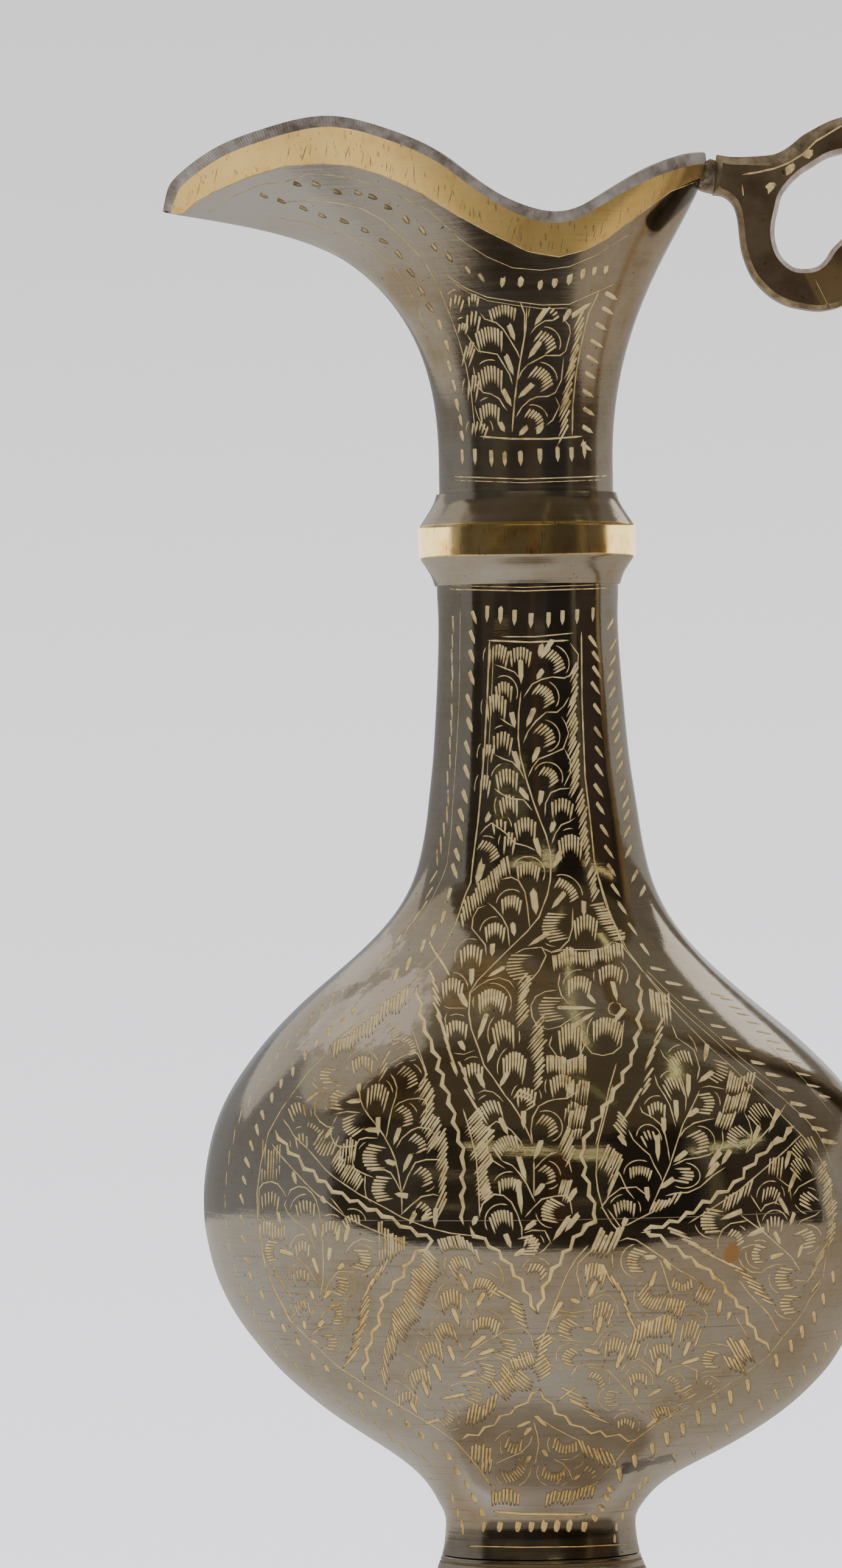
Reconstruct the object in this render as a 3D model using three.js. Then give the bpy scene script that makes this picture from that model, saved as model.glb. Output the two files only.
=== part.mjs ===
// Engraved, tin-washed brass jug with a helmet mouth, a trough spout, a collar on the neck,
// a pear-shaped belly on a splayed foot, and a flat cast handle with a pierced thumb ring.
// Millimetres, +Z up. The origin is the middle of the underside of the bounding box: the jug
// stands on Z = 0, the spout points along -X and the handle stands on +X, in the plane Y = 0.
// The jug's own axis is the vertical line X = AXIS_X, Y = 0. Every profile below gives radii
// and distances from that axis.

import * as THREE from "three";

// ---- driving dimensions (mm) -------------------------------------------------------------
const AXIS_X = -6.35; // the jug's axis in the part's frame
const AROUND = 40; // facets round every turned piece
const GAP = 0.3; // clearance between neighbouring pieces, filled with solder on the real jug
const WALL = 1.8; // wall of belly and foot
const NECK_WALL = 1.6; // wall of the neck

const FOOT_TOP_Z = 30.0; // joint between foot and stem
const STEM_FLOOR_Z = 38.0; // inside floor of the belly, above the stem
const SEAM_Z = 87.0; // horizontal seam between the two halves of the belly
const LAP = 3.2; // height of the lap at the belly seam and at the foot spigot
const NECK_TOP_Z = 195.9; // top end of the lower neck, inside the collar
const MOUTH_BASE_Z = 196.2; // bottom end of the upper neck, inside the collar
const SPIGOT_DEPTH = 6.0; // how far the upper neck's spigot reaches into the lower neck
const LOWER_NECK_R = 14.7; // radius of the lower neck under the collar
const UPPER_NECK_R = 14.3; // radius of the upper neck under the collar

const FLARE_Z = 209.0; // the round neck turns into the mouth above this height
const MOUTH_WALL = 1.8; // wall of mouth and spout
const RIM_CHAMFER = 1.2; // filed outer chamfer of the rim

const HANDLE_T = 7.0; // thickness of the flat handle
const HANDLE_CHAMFER = 0.9; // chamfer on the handle's edges

// Outside of the body: [z, radius, sideways offset of the section's centre]. The belly is
// hammered by hand, so its lower half leans a little towards the handle.
const BODY = [
  [188.0, 14.92, 0],
  [184.0, 14.74, 0],
  [178.0, 14.9, 0.05],
  [172.0, 15.25, 0.1],
  [166.0, 15.67, 0.14],
  [160.0, 16.18, 0.2],
  [155.0, 16.84, 0.27],
  [151.0, 17.36, 0.32],
  [148.0, 17.8, 0.3],
  [145.0, 18.36, 0.27],
  [142.0, 19.1, 0.2],
  [139.0, 20.2, 0.05],
  [136.0, 21.79, -0.18],
  [133.0, 23.88, -0.5],
  [130.0, 26.5, -0.84],
  [127.0, 29.6, -1.14],
  [124.0, 32.95, -1.36],
  [121.0, 36.4, -1.38],
  [118.0, 39.76, -1.15],
  [115.0, 42.95, -0.79],
  [112.0, 45.82, -0.37],
  [108.0, 49.2, 0.2],
  [104.0, 51.8, 0.5],
  [100.0, 53.5, 0.7],
  [96.0, 54.65, 0.88],
  [92.0, 55.4, 1.03],
  [88.0, 55.75, 1.2],
  [84.0, 55.69, 1.36],
  [80.0, 55.16, 1.53],
  [76.0, 54.15, 1.7],
  [72.0, 52.6, 1.88],
  [68.0, 50.45, 2.06],
  [64.0, 47.7, 2.35],
  [60.0, 44.65, 2.86],
  [55.0, 39.3, 3.28],
  [52.0, 35.3, 3.37],
  [49.0, 30.7, 3.3],
  [46.0, 25.7, 2.72],
  [43.0, 20.97, 1.42],
  [40.0, 17.85, 0.5],
  [37.0, 16.25, 0.14],
  [34.0, 15.68, 0.0],
  [32.0, 15.76, 0.0],
  [30.0, 16.2, 0.0],
];

// Outside of the foot, from the stem down to the standing edge: [z, radius].
const FOOT = [
  [30.0, 16.2],
  [28.5, 16.72],
  [26.0, 17.85],
  [22.5, 19.7],
  [18.5, 22.0],
  [14.5, 24.4],
  [11.0, 26.5],
  [8.0, 28.3],
  [6.2, 29.35],
  [5.2, 29.8],
  [4.4, 30.8],
  [3.6, 31.6],
  [2.4, 32.0],
  [1.2, 32.0],
  [0.0, 31.5],
];

// Outside of the collar: [z, radius].
const COLLAR = [
  [203.9, 14.85],
  [202.6, 15.2],
  [201.4, 15.85],
  [200.2, 16.6],
  [199.2, 17.3],
  [198.7, 17.72],
  [198.3, 17.85],
  [193.7, 17.82],
  [193.2, 17.6],
  [192.2, 16.85],
  [191.0, 16.05],
  [189.9, 15.55],
  [188.9, 15.25],
];

// Half of the rim, from the spout's tip round to the back: point on the rim's outer edge, the
// control point below it that sets how the wall leans, the direction round the neck that its
// rib rises from (degrees from the spout), and the height that the rib rises straight.
const RIM = [
  { rim: [-59.6, 0, 251.0], wall: [-36.0, 0, 246.7], from: 0, rise: 36 },
  { rim: [-58.6, 2.7, 253.9], wall: [-38.0, 2.0, 247.2], from: 7, rise: 35.5 },
  { rim: [-56.4, 4.5, 256.8], wall: [-39.5, 3.2, 247.8], from: 14, rise: 35 },
  { rim: [-50.5, 7.3, 260.8], wall: [-40.0, 4.6, 248.4], from: 23, rise: 34 },
  { rim: [-42.8, 10.3, 263.6], wall: [-36.5, 6.0, 248.8], from: 33, rise: 31.5 },
  { rim: [-32.6, 13.5, 265.5], wall: [-29.0, 8.4, 248.8], from: 44, rise: 28.5 },
  { rim: [-23.1, 16.3, 263.4], wall: [-20.5, 11.6, 246.6], from: 55, rise: 26 },
  { rim: [-14.1, 18.6, 259.2], wall: [-12.0, 15.4, 243.0], from: 68, rise: 23.5 },
  { rim: [-5.5, 20.2, 252.9], wall: [-4.2, 18.0, 239.5], from: 82, rise: 21.5 },
  { rim: [4.8, 20.9, 249.0], wall: [4.2, 18.9, 238.5], from: 97, rise: 21 },
  { rim: [12.6, 20.2, 251.6], wall: [11.4, 18.4, 240.3], from: 110, rise: 22 },
  { rim: [19.5, 17.8, 255.5], wall: [18.6, 16.4, 243.6], from: 125, rise: 24 },
  { rim: [25.2, 13.2, 257.9], wall: [24.8, 12.2, 247.2], from: 141, rise: 26 },
  { rim: [29.0, 7.1, 259.1], wall: [29.0, 6.6, 249.4], from: 160, rise: 27.7 },
  { rim: [30.5, 0, 259.4], wall: [30.6, 0, 250.0], from: 180, rise: 28 },
];

// Outline of the handle in its own plane, [distance from the axis, z]: along the top from the
// mouth, over the crest, down the outside of the strap, round the curled tail, up the belly
// and the inside of the strap, and round the underside of the ring.
const HANDLE = [
  [32.0, 259.0], [34.6, 258.6], [39.5, 258.7], [41.9, 259.1], [43.9, 260.2], [45.9, 261.8],
  [47.8, 262.9], [50.2, 264.1], [52.7, 264.9], [56.0, 265.4], [59.5, 265.1], [63.0, 263.6],
  [66.0, 261.0], [68.3, 257.6], [69.9, 253.2], [71.0, 247.5], [71.8, 240.0], [72.2, 231.0],
  [72.3, 222.0], [72.0, 212.0], [71.3, 201.0], [70.2, 189.0], [68.7, 176.0], [67.0, 163.0],
  [65.3, 150.0], [63.9, 138.0], [62.9, 127.0], [62.3, 117.0], [62.2, 108.0], [62.6, 101.5],
  [63.5, 96.6], [65.1, 93.4], [67.2, 92.3], [69.3, 92.9], [70.4, 91.6], [70.1, 89.3],
  [68.3, 87.2], [65.4, 86.0], [62.0, 85.9], [59.6, 87.0], [58.5, 89.4], [58.0, 92.4],
  [57.3, 95.4], [56.3, 98.6], [55.5, 101.4], [55.2, 104.5], [55.3, 109.0], [55.6, 115.0],
  [56.0, 123.0], [56.7, 132.5], [57.9, 144.0], [59.4, 156.0], [61.0, 168.0], [62.7, 181.0],
  [64.2, 194.0], [65.3, 206.0], [65.7, 217.0], [65.4, 226.0], [64.4, 232.0], [62.6, 235.6],
  [60.2, 236.9], [57.6, 236.3], [54.8, 235.0], [52.3, 234.0], [50.8, 233.5], [48.4, 233.2],
  [46.0, 233.5], [43.5, 234.1], [41.1, 235.3], [39.2, 236.9], [37.6, 238.9], [36.6, 241.1],
  [35.9, 243.5], [35.6, 245.9], [35.4, 248.1], [35.0, 250.0], [34.3, 251.3], [33.0, 252.3],
  [31.3, 252.6],
];
// The slanting, drop-shaped hole of the thumb ring.
const RING_HOLE = [
  [52.6, 259.0], [50.1, 258.3], [47.7, 256.9], [45.8, 255.7], [43.8, 253.8], [42.5, 251.9],
  [41.9, 249.7], [41.4, 247.5], [41.3, 245.6], [41.6, 243.9], [42.2, 242.4], [43.4, 241.0],
  [44.8, 240.2], [47.0, 240.1], [48.5, 240.6], [49.7, 241.8], [50.7, 243.3], [51.9, 244.5],
  [53.5, 246.0], [55.2, 248.0], [57.2, 250.4], [59.0, 252.8], [60.2, 255.0], [60.0, 257.2],
  [58.4, 258.7], [55.8, 259.3],
];

// ---- curves ------------------------------------------------------------------------------

// Smooth value of a table [key, value, value...] at a key, by a cubic through its rows.
function table(rows, key, column) {
  const up = rows[0][0] < rows[rows.length - 1][0];
  const r = up ? rows : [...rows].reverse();
  let i = 0;
  while (i < r.length - 2 && key > r[i + 1][0]) i++;
  const slope = (j) => {
    const a = Math.max(j - 1, 0);
    const b = Math.min(j + 1, r.length - 1);
    return (r[b][column] - r[a][column]) / (r[b][0] - r[a][0]);
  };
  const h = r[i + 1][0] - r[i][0];
  const t = Math.min(Math.max((key - r[i][0]) / h, 0), 1);
  const t2 = t * t;
  const t3 = t2 * t;
  return (
    (2 * t3 - 3 * t2 + 1) * r[i][column] +
    (t3 - 2 * t2 + t) * h * slope(i) +
    (3 * t2 - 2 * t3) * r[i + 1][column] +
    (t3 - t2) * h * slope(i + 1)
  );
}
const bodyRadius = (z) => table(BODY, z, 1);
const bodyOffset = (z) =>
  z >= 188 || z <= 30 ? 0 : table(BODY, z, 2);

// The belly's wall narrows the inside: radius inside a wall of thickness t, measured square to
// the surface.
function insideRadius(z, t) {
  const slope = (bodyRadius(z + 0.5) - bodyRadius(z - 0.5)) / 1.0;
  return bodyRadius(z) - t * Math.sqrt(1 + Math.min(slope * slope, 4));
}

function heights(from, to, step) {
  const n = Math.max(1, Math.round(Math.abs(to - from) / step));
  return Array.from({ length: n + 1 }, (_, i) => from + ((to - from) * i) / n);
}

// ---- turned pieces -----------------------------------------------------------------------

// A turned solid from a closed profile of [radius, z], counter-clockwise seen with the radius
// to the right and z up. It is stood upright, moved on to the axis and leaned by the table of
// section offsets.
function turned(profile, offset = () => 0) {
  const pts = [...profile, profile[0]].map(([r, z]) => new THREE.Vector2(r, z));
  const g = new THREE.LatheGeometry(pts, AROUND);
  g.rotateX(Math.PI / 2);
  const p = g.getAttribute("position");
  for (let i = 0; i < p.count; i++)
    p.setX(i, p.getX(i) + AXIS_X + offset(p.getZ(i)));
  g.computeVertexNormals();
  return g;
}

function foot() {
  const outer = FOOT.map(([z, r]) => [r, z]);
  // inside: the ring that the stem's spigot drops through, then the splayed hollow
  const inner = [
    [12.8, FOOT_TOP_Z],
    [12.8, 27.4],
    [13.6, 27.0],
    [16.1, 25.0],
    [18.1, 21.6],
    [20.3, 17.8],
    [22.5, 14.0],
    [24.5, 10.6],
    [26.2, 7.6],
    [27.1, 4.6],
    [27.5, 0],
  ];
  return turned([...outer.reverse(), ...inner]);
}

function bellyLower() {
  const outer = [[16.2, FOOT_TOP_Z + GAP]];
  for (const z of [32, 34, 36, 38, 40, 42, 44, 46, 48, 50, 52.5, 55, 58, 61.5, 65, 69, 73, 77.5, 82])
    outer.push([bodyRadius(z), z]);
  outer.push([bodyRadius(SEAM_Z - GAP / 2), SEAM_Z - GAP / 2]);
  // the lap: a thin tongue that stands up inside the upper half
  const lapOut = (z) => bodyRadius(z) - WALL / 2 - GAP / 2;
  outer.push([lapOut(SEAM_Z), SEAM_Z - GAP / 2]);
  outer.push([lapOut(SEAM_Z + LAP), SEAM_Z + LAP]);
  const inner = [];
  inner.push([insideRadius(SEAM_Z + LAP, WALL), SEAM_Z + LAP]);
  for (const z of [84, 78, 72, 66.5, 61.5, 57.5, 54, 51])
    inner.push([insideRadius(z, WALL), z]);
  inner.push([24.0, 47.4], [17.5, 43.2], [11.5, 40.4], [5.5, 38.6], [0, STEM_FLOOR_Z]);
  // underside: the stem is hollow below the floor, and its spigot enters the foot
  const under = [
    [0, STEM_FLOOR_Z - 2.2],
    [6.0, STEM_FLOOR_Z - 2.4],
    [10.4, STEM_FLOOR_Z - 3.6],
    [11.0, STEM_FLOOR_Z - 5.2],
    [11.0, FOOT_TOP_Z - LAP],
    [12.4, FOOT_TOP_Z - LAP],
    [12.4, FOOT_TOP_Z + GAP],
  ];
  const g = new THREE.LatheGeometry(
    [...under, ...outer, ...inner].map(([r, z]) => new THREE.Vector2(r, z)),
    AROUND,
  );
  g.rotateX(Math.PI / 2);
  const p = g.getAttribute("position");
  for (let i = 0; i < p.count; i++)
    p.setX(i, p.getX(i) + AXIS_X + bodyOffset(p.getZ(i)));
  g.computeVertexNormals();
  return g;
}

function bellyUpper() {
  const outer = [[bodyRadius(SEAM_Z + GAP / 2), SEAM_Z + GAP / 2]];
  for (const z of [91.5, 96, 100.5, 105, 109, 112.5, 115.5, 118.5, 121.5, 124.5, 127.5, 130.5, 133.5, 136.5, 140, 144, 149, 155, 163, 173, 184])
    outer.push([bodyRadius(z), z]);
  outer.push([LOWER_NECK_R, 188.6], [LOWER_NECK_R, NECK_TOP_Z]);
  const inner = [[13.0, NECK_TOP_Z], [13.0, 188]];
  for (const z of [173, 160, 150, 144])
    inner.push([bodyRadius(z) - NECK_WALL, z]);
  for (const z of [139, 134.5, 130.5, 126.5, 122, 117.5, 113, 108.5, 103.5, 98])
    inner.push([insideRadius(z, WALL), z]);
  inner.push([insideRadius(93.5, WALL), SEAM_Z + LAP + 3]);
  // the rabbet that laps over the lower half's tongue
  const lapIn = (z) => bodyRadius(z) - WALL / 2 + GAP / 2;
  inner.push([lapIn(SEAM_Z + LAP + GAP), SEAM_Z + LAP + GAP]);
  inner.push([lapIn(SEAM_Z + GAP / 2), SEAM_Z + GAP / 2]);
  return turned([...outer, ...inner], bodyOffset);
}

function collar() {
  const outer = COLLAR.map(([z, r]) => [r, z]).reverse();
  const inner = [
    [UPPER_NECK_R + GAP, 203.9],
    [UPPER_NECK_R + GAP, MOUTH_BASE_Z],
    [LOWER_NECK_R + GAP, MOUTH_BASE_Z],
    [LOWER_NECK_R + GAP, 188.9],
  ];
  return turned([...outer, ...inner]);
}

// ---- mouth and spout ---------------------------------------------------------------------

// Value of a column of numbers along the half rim, with its mirror beyond each end. across is
// the sum of a value and its mirror at the far end for one that changes sign across the plane
// of symmetry: 0 for a distance from the plane, 360 for a direction. It is null for the rest.
function along(values, s, across = null) {
  const n = values.length;
  const at = (i) => {
    if (i < 0) return across === null ? values[-i] : -values[-i];
    if (i >= n) {
      const mirrored = values[2 * n - 2 - i];
      return across === null ? mirrored : across - mirrored;
    }
    return values[i];
  };
  const i = Math.min(Math.floor(s), n - 2);
  const t = s - i;
  const [a, b, c, d] = [at(i - 1), at(i), at(i + 1), at(i + 2)];
  return (
    b +
    0.5 *
      t *
      (c - a + t * (2 * a - 5 * b + 4 * c - d + t * (3 * (b - c) + d - a)))
  );
}
const RIM_COLUMNS = {
  rx: RIM.map((k) => k.rim[0]),
  ry: RIM.map((k) => k.rim[1]),
  rz: RIM.map((k) => k.rim[2]),
  wx: RIM.map((k) => k.wall[0]),
  wy: RIM.map((k) => k.wall[1]),
  wz: RIM.map((k) => k.wall[2]),
  from: RIM.map((k) => k.from),
  rise: RIM.map((k) => k.rise),
};

// Point of the mouth's outer surface: s from -14 to 14 runs round the rim from the back, over
// the near side and the tip, to the back again; v from 0 at the round neck to 1 at the rim.
function mouthPoint(s, v) {
  const side = s < 0 ? -1 : 1;
  const a = Math.abs(s);
  const c = RIM_COLUMNS;
  const angle = THREE.MathUtils.degToRad(
    along(c.from, a, 360),
  );
  const p0 = [
    -UPPER_NECK_R * Math.cos(angle),
    side * UPPER_NECK_R * Math.sin(angle),
    FLARE_Z,
  ];
  const p1 = [p0[0], p0[1], FLARE_Z + along(c.rise, a)];
  const p2 = [
    along(c.wx, a),
    side * along(c.wy, a, 0),
    along(c.wz, a),
  ];
  const p3 = [
    along(c.rx, a),
    side * along(c.ry, a, 0),
    along(c.rz, a),
  ];
  const u = 1 - v;
  const [b0, b1, b2, b3] = [u * u * u, 3 * u * u * v, 3 * u * v * v, v * v * v];
  return new THREE.Vector3(
    b0 * p0[0] + b1 * p1[0] + b2 * p2[0] + b3 * p3[0],
    b0 * p0[1] + b1 * p1[1] + b2 * p2[1] + b3 * p3[1],
    b0 * p0[2] + b1 * p1[2] + b2 * p2[2] + b3 * p3[2],
  );
}

function mouthNormal(s, v) {
  const e = 1e-3;
  const v0 = Math.max(v - e, 0);
  const v1 = Math.min(v + e, 1);
  const ds = mouthPoint(s + e, v).sub(mouthPoint(s - e, v));
  const dv = mouthPoint(s, v1).sub(mouthPoint(s, v0));
  return dv.cross(ds).normalize();
}

function mouth() {
  // Profile rows, from the spigot's inner end up the outside, over the rim and down the inside.
  const rows = [];
  const ring = (r, z) => rows.push({ ring: [r, z] });
  const rib = (v, depth, drop = 0) => rows.push({ v, depth, drop });
  ring(12.7, MOUTH_BASE_Z - SPIGOT_DEPTH);
  ring(12.7, MOUTH_BASE_Z);
  ring(UPPER_NECK_R, MOUTH_BASE_Z);
  ring(UPPER_NECK_R, FLARE_Z - 4);
  rib(0, 0);
  for (const v of [0.1, 0.2, 0.3, 0.4, 0.5, 0.6, 0.7, 0.8, 0.9]) rib(v, 0);
  rib(0.965, 0);
  rib(1, RIM_CHAMFER * 0.75);
  rib(1, MOUTH_WALL);
  for (const v of [0.9, 0.8, 0.7, 0.6, 0.5, 0.4, 0.3, 0.2, 0.1]) rib(v, MOUTH_WALL);
  rib(0, MOUTH_WALL);
  ring(11.4, FLARE_Z - 6);
  ring(11.4, MOUTH_BASE_Z - SPIGOT_DEPTH);

  const profile = [...rows, rows[0]].map((_, j) => new THREE.Vector2(10, j));
  const g = new THREE.LatheGeometry(profile, AROUND);
  const p = g.getAttribute("position");
  const n = profile.length;
  const last = RIM.length - 1;
  for (let i = 0; i < p.count; i++) {
    const k = Math.floor(i / n) % AROUND;
    const row = rows[(i % n) % rows.length];
    // k = 0 is the back, k = AROUND / 2 the tip
    const s = last - (2 * last * k) / AROUND;
    if (row.ring) {
      const m = Math.abs(s);
      const angle = THREE.MathUtils.degToRad(
        along(RIM_COLUMNS.from, m, 360),
      );
      const side = s < 0 ? -1 : 1;
      p.setXYZ(
        i,
        AXIS_X - row.ring[0] * Math.cos(angle),
        side * row.ring[0] * Math.sin(angle) * (k === 0 ? 0 : 1),
        row.ring[1],
      );
      continue;
    }
    const q = mouthPoint(s, row.v);
    if (row.depth) {
      // the wall thins towards the spout's tip, where the two sides close together
      const thin = 0.62 + 0.38 * THREE.MathUtils.smoothstep(Math.abs(s), 0, 5);
      const normal = mouthNormal(s, row.v);
      if (row.v === 1) normal.setZ(0).normalize();
      q.addScaledVector(normal, -row.depth * thin);
    }
    if (k === 0 || k === AROUND / 2) q.y = 0;
    p.setXYZ(i, AXIS_X + q.x, q.y, q.z);
  }
  g.computeVertexNormals();
  return g;
}

// ---- handle and its brazed joints --------------------------------------------------------

function closedSpline(points, count) {
  const c = new THREE.CatmullRomCurve3(
    points.map(([x, z]) => new THREE.Vector3(x, z, 0)),
    true,
    "centripetal",
  );
  return c.getSpacedPoints(count).slice(0, -1).map((p) => new THREE.Vector2(p.x, p.y));
}

// An outline in the plane of the handle, extruded across Y.
function flatPiece(outline, holes, thickness, chamfer) {
  const shape = new THREE.Shape(outline);
  for (const h of holes) shape.holes.push(new THREE.Path(h));
  const g = new THREE.ExtrudeGeometry(shape, {
    depth: thickness - 2 * chamfer,
    bevelEnabled: chamfer > 0,
    bevelThickness: chamfer,
    bevelSize: chamfer,
    bevelOffset: -chamfer,
    bevelSegments: 1,
    curveSegments: 1,
  });
  // extruded along +Z of its own plane: turn it so that the plane is X-Z and the thickness is Y
  g.translate(0, 0, -(thickness - 2 * chamfer) / 2);
  g.rotateX(Math.PI / 2);
  g.translate(AXIS_X, 0, 0);
  return g;
}

function handle() {
  // the straight end that faces the mouth's back wall closes the outline
  const outline = new THREE.CatmullRomCurve3(
    HANDLE.map(([x, z]) => new THREE.Vector3(x, z, 0)),
    false,
    "centripetal",
  )
    .getSpacedPoints(132)
    .map((p) => new THREE.Vector2(p.x, p.y));
  return flatPiece(outline, [closedSpline(RING_HOLE, 36)], HANDLE_T, HANDLE_CHAMFER);
}

// The braze at the rim: a pad between the mouth's back wall and the end of the handle, hollowed
// on the mouth's side to follow the wall.
function brazeTop() {
  const half = HANDLE_T / 2 + 0.6;
  const steps = 8;
  const z0 = 253.2;
  const z1 = 258.4;
  const wallAt = (y, z) => {
    // the back wall's distance from the axis at this height and this side step
    let best = 0;
    for (let s = 11; s <= 14.0001; s += 0.02)
      for (let v = 0.7; v <= 1.0001; v += 0.01) {
        const q = mouthPoint(s, v);
        if (Math.abs(q.y - Math.abs(y)) < 0.25 && Math.abs(q.z - z) < 0.45)
          best = Math.max(best, q.x);
      }
    return best;
  };
  const inner = [];
  for (let i = 0; i <= steps; i++) {
    const y = -half + (2 * half * i) / steps;
    inner.push([y, wallAt(y, z0) + GAP, wallAt(y, z1) + GAP]);
  }
  const shape = new THREE.Shape();
  // drawn as [step, side]: side 0 is the wall's face, side 1 the handle's face
  shape.moveTo(0, 0);
  for (let i = 1; i <= steps; i++) shape.lineTo(i, 0);
  for (let i = steps; i >= 0; i--) shape.lineTo(i, 1);
  const g = new THREE.ExtrudeGeometry(shape, { depth: 1, bevelEnabled: false, steps: 1 });
  const p = g.getAttribute("position");
  const faceAt = (z) => 31.3 + ((z - 252.6) * 0.7) / 6.4 - GAP;
  for (let i = 0; i < p.count; i++) {
    const k = Math.round(p.getX(i));
    const side = Math.round(p.getY(i));
    const up = Math.round(p.getZ(i));
    const z = up ? z1 : z0;
    const [y, a, b] = inner[k];
    const x = side ? faceAt(z) : Math.min(up ? b : a, faceAt(z) - 0.12);
    p.setXYZ(i, AXIS_X + x, y, z);
  }
  // x grows with the shape's side while the shape's own x became y: that turns it inside out,
  // so its triangles are turned back
  const flipped = g.index ? g.toNonIndexed() : g;
  const f = flipped.getAttribute("position");
  for (let t = 0; t < f.count; t += 3) {
    const a = [f.getX(t), f.getY(t), f.getZ(t)];
    f.setXYZ(t, f.getX(t + 2), f.getY(t + 2), f.getZ(t + 2));
    f.setXYZ(t + 2, ...a);
  }
  flipped.computeVertexNormals();
  return flipped;
}

// The braze at the belly: a thin leaf-shaped pad that follows the belly under the handle's end.
function brazeFoot() {
  const z0 = 87.8;
  const z1 = 103.0;
  const halfWidth = (z) =>
    1.2 + 4.4 * Math.sqrt(Math.max(0, 1 - ((z - (z0 + z1) / 2) / ((z1 - z0) / 2)) ** 2));
  const rows = 12;
  const columns = 6;
  const g = new THREE.BoxGeometry(1, 1, 1, 1, columns, rows);
  const p = g.getAttribute("position");
  for (let i = 0; i < p.count; i++) {
    const z = z0 + (p.getZ(i) + 0.5) * (z1 - z0);
    const y = p.getY(i) * 2 * halfWidth(z);
    const r = bodyRadius(z);
    const surface = Math.sqrt(r * r - y * y) + bodyOffset(z);
    const lift = GAP + (p.getX(i) > 0 ? 0.5 : 0);
    p.setXYZ(i, AXIS_X + surface + lift, y, z);
  }
  g.computeVertexNormals();
  return g;
}

// ---- materials ---------------------------------------------------------------------------
const tinned = () =>
  new THREE.MeshStandardMaterial({ color: 0x9c948b, metalness: 1, roughness: 0.22 });
const brass = () =>
  new THREE.MeshStandardMaterial({ color: 0xd3b876, metalness: 1, roughness: 0.2 });
const bronze = () =>
  new THREE.MeshStandardMaterial({ color: 0x5c4a33, metalness: 1, roughness: 0.3 });
const solder = () =>
  new THREE.MeshStandardMaterial({ color: 0xa8a29a, metalness: 1, roughness: 0.45 });

// ---- the jug -----------------------------------------------------------------------------
const jug = new THREE.Group();
const base = new THREE.Group();
const vessel = new THREE.Group();
const grip = new THREE.Group();
jug.add(base, vessel, grip);
function put(group, name, geometry, material) {
  const m = new THREE.Mesh(geometry, material);
  m.name = name;
  group.add(m);
}
put(base, "foot", foot(), tinned());
put(vessel, "belly_lower_half", bellyLower(), tinned());
put(vessel, "belly_upper_half_and_neck", bellyUpper(), tinned());
put(vessel, "neck_collar", collar(), brass());
put(vessel, "mouth_and_spout", mouth(), tinned());
put(grip, "handle", handle(), bronze());
put(grip, "handle_top_braze", brazeTop(), solder());
put(grip, "handle_foot_braze", brazeFoot(), solder());

export default jug;
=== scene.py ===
import math
import random

import bpy
import numpy as np
from mathutils import Matrix, Vector
from mathutils.geometry import delaunay_2d_cdt


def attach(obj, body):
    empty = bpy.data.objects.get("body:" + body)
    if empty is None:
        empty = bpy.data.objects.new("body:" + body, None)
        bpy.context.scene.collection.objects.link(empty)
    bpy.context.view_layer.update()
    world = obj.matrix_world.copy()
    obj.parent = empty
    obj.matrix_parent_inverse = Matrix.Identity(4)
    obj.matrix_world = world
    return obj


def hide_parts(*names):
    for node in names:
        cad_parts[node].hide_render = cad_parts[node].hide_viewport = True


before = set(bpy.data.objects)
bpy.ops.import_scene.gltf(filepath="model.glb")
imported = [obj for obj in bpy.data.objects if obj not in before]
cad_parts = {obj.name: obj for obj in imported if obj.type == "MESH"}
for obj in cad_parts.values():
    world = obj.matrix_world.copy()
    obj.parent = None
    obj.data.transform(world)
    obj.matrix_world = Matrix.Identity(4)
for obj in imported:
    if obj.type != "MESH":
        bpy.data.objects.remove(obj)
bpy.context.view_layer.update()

# All geometry below is worked out in millimetres in the part's frame and scaled to metres when
# a mesh is made. The jug's own axis is the vertical line x = AX, y = 0.
AX = -6.35
MM = 0.001

# ------------------------------------------------------------------------------------------
# Camera: looks along +Y at the plane y = 0, rolled a little because the jug leans in its picture
# ------------------------------------------------------------------------------------------
CAM_D = 1600.0
CAM_X, CAM_Z = -24.30, 156.46
ROLL_C, ROLL_S = 0.999902, 0.0139986

cam_data = bpy.data.cameras.new("camera")
cam = bpy.data.objects.new("camera", cam_data)
bpy.context.scene.collection.objects.link(cam)
cam_data.sensor_fit = "VERTICAL"
cam_data.sensor_height = 36.0
cam_data.sensor_width = 36.0
cam_data.lens = 36.0 * CAM_D / 257.6
cam_data.clip_start = 0.05
cam_data.clip_end = 30.0
right = Vector((ROLL_C, 0, -ROLL_S))
up = Vector((ROLL_S, 0, ROLL_C))
back = right.cross(up)
cam.matrix_world = Matrix(
    (
        (right.x, up.x, back.x, CAM_X * MM),
        (right.y, up.y, back.y, -CAM_D * MM),
        (right.z, up.z, back.z, CAM_Z * MM),
        (0, 0, 0, 1),
    )
)
bpy.context.scene.camera = cam


def project(p):
    """Points in mm to the drawing's coordinates, which run right and down, ten to the mm."""
    t = CAM_D / (p[:, 1] + CAM_D)
    x = (CAM_X + (p[:, 0] - CAM_X) * t - AX) * 10
    z = (110 - (CAM_Z + (p[:, 2] - CAM_Z) * t)) * 10
    return np.stack(
        [877.5 + ROLL_C * x + ROLL_S * z, 1750 - ROLL_S * x + ROLL_C * z], 1
    )


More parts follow.
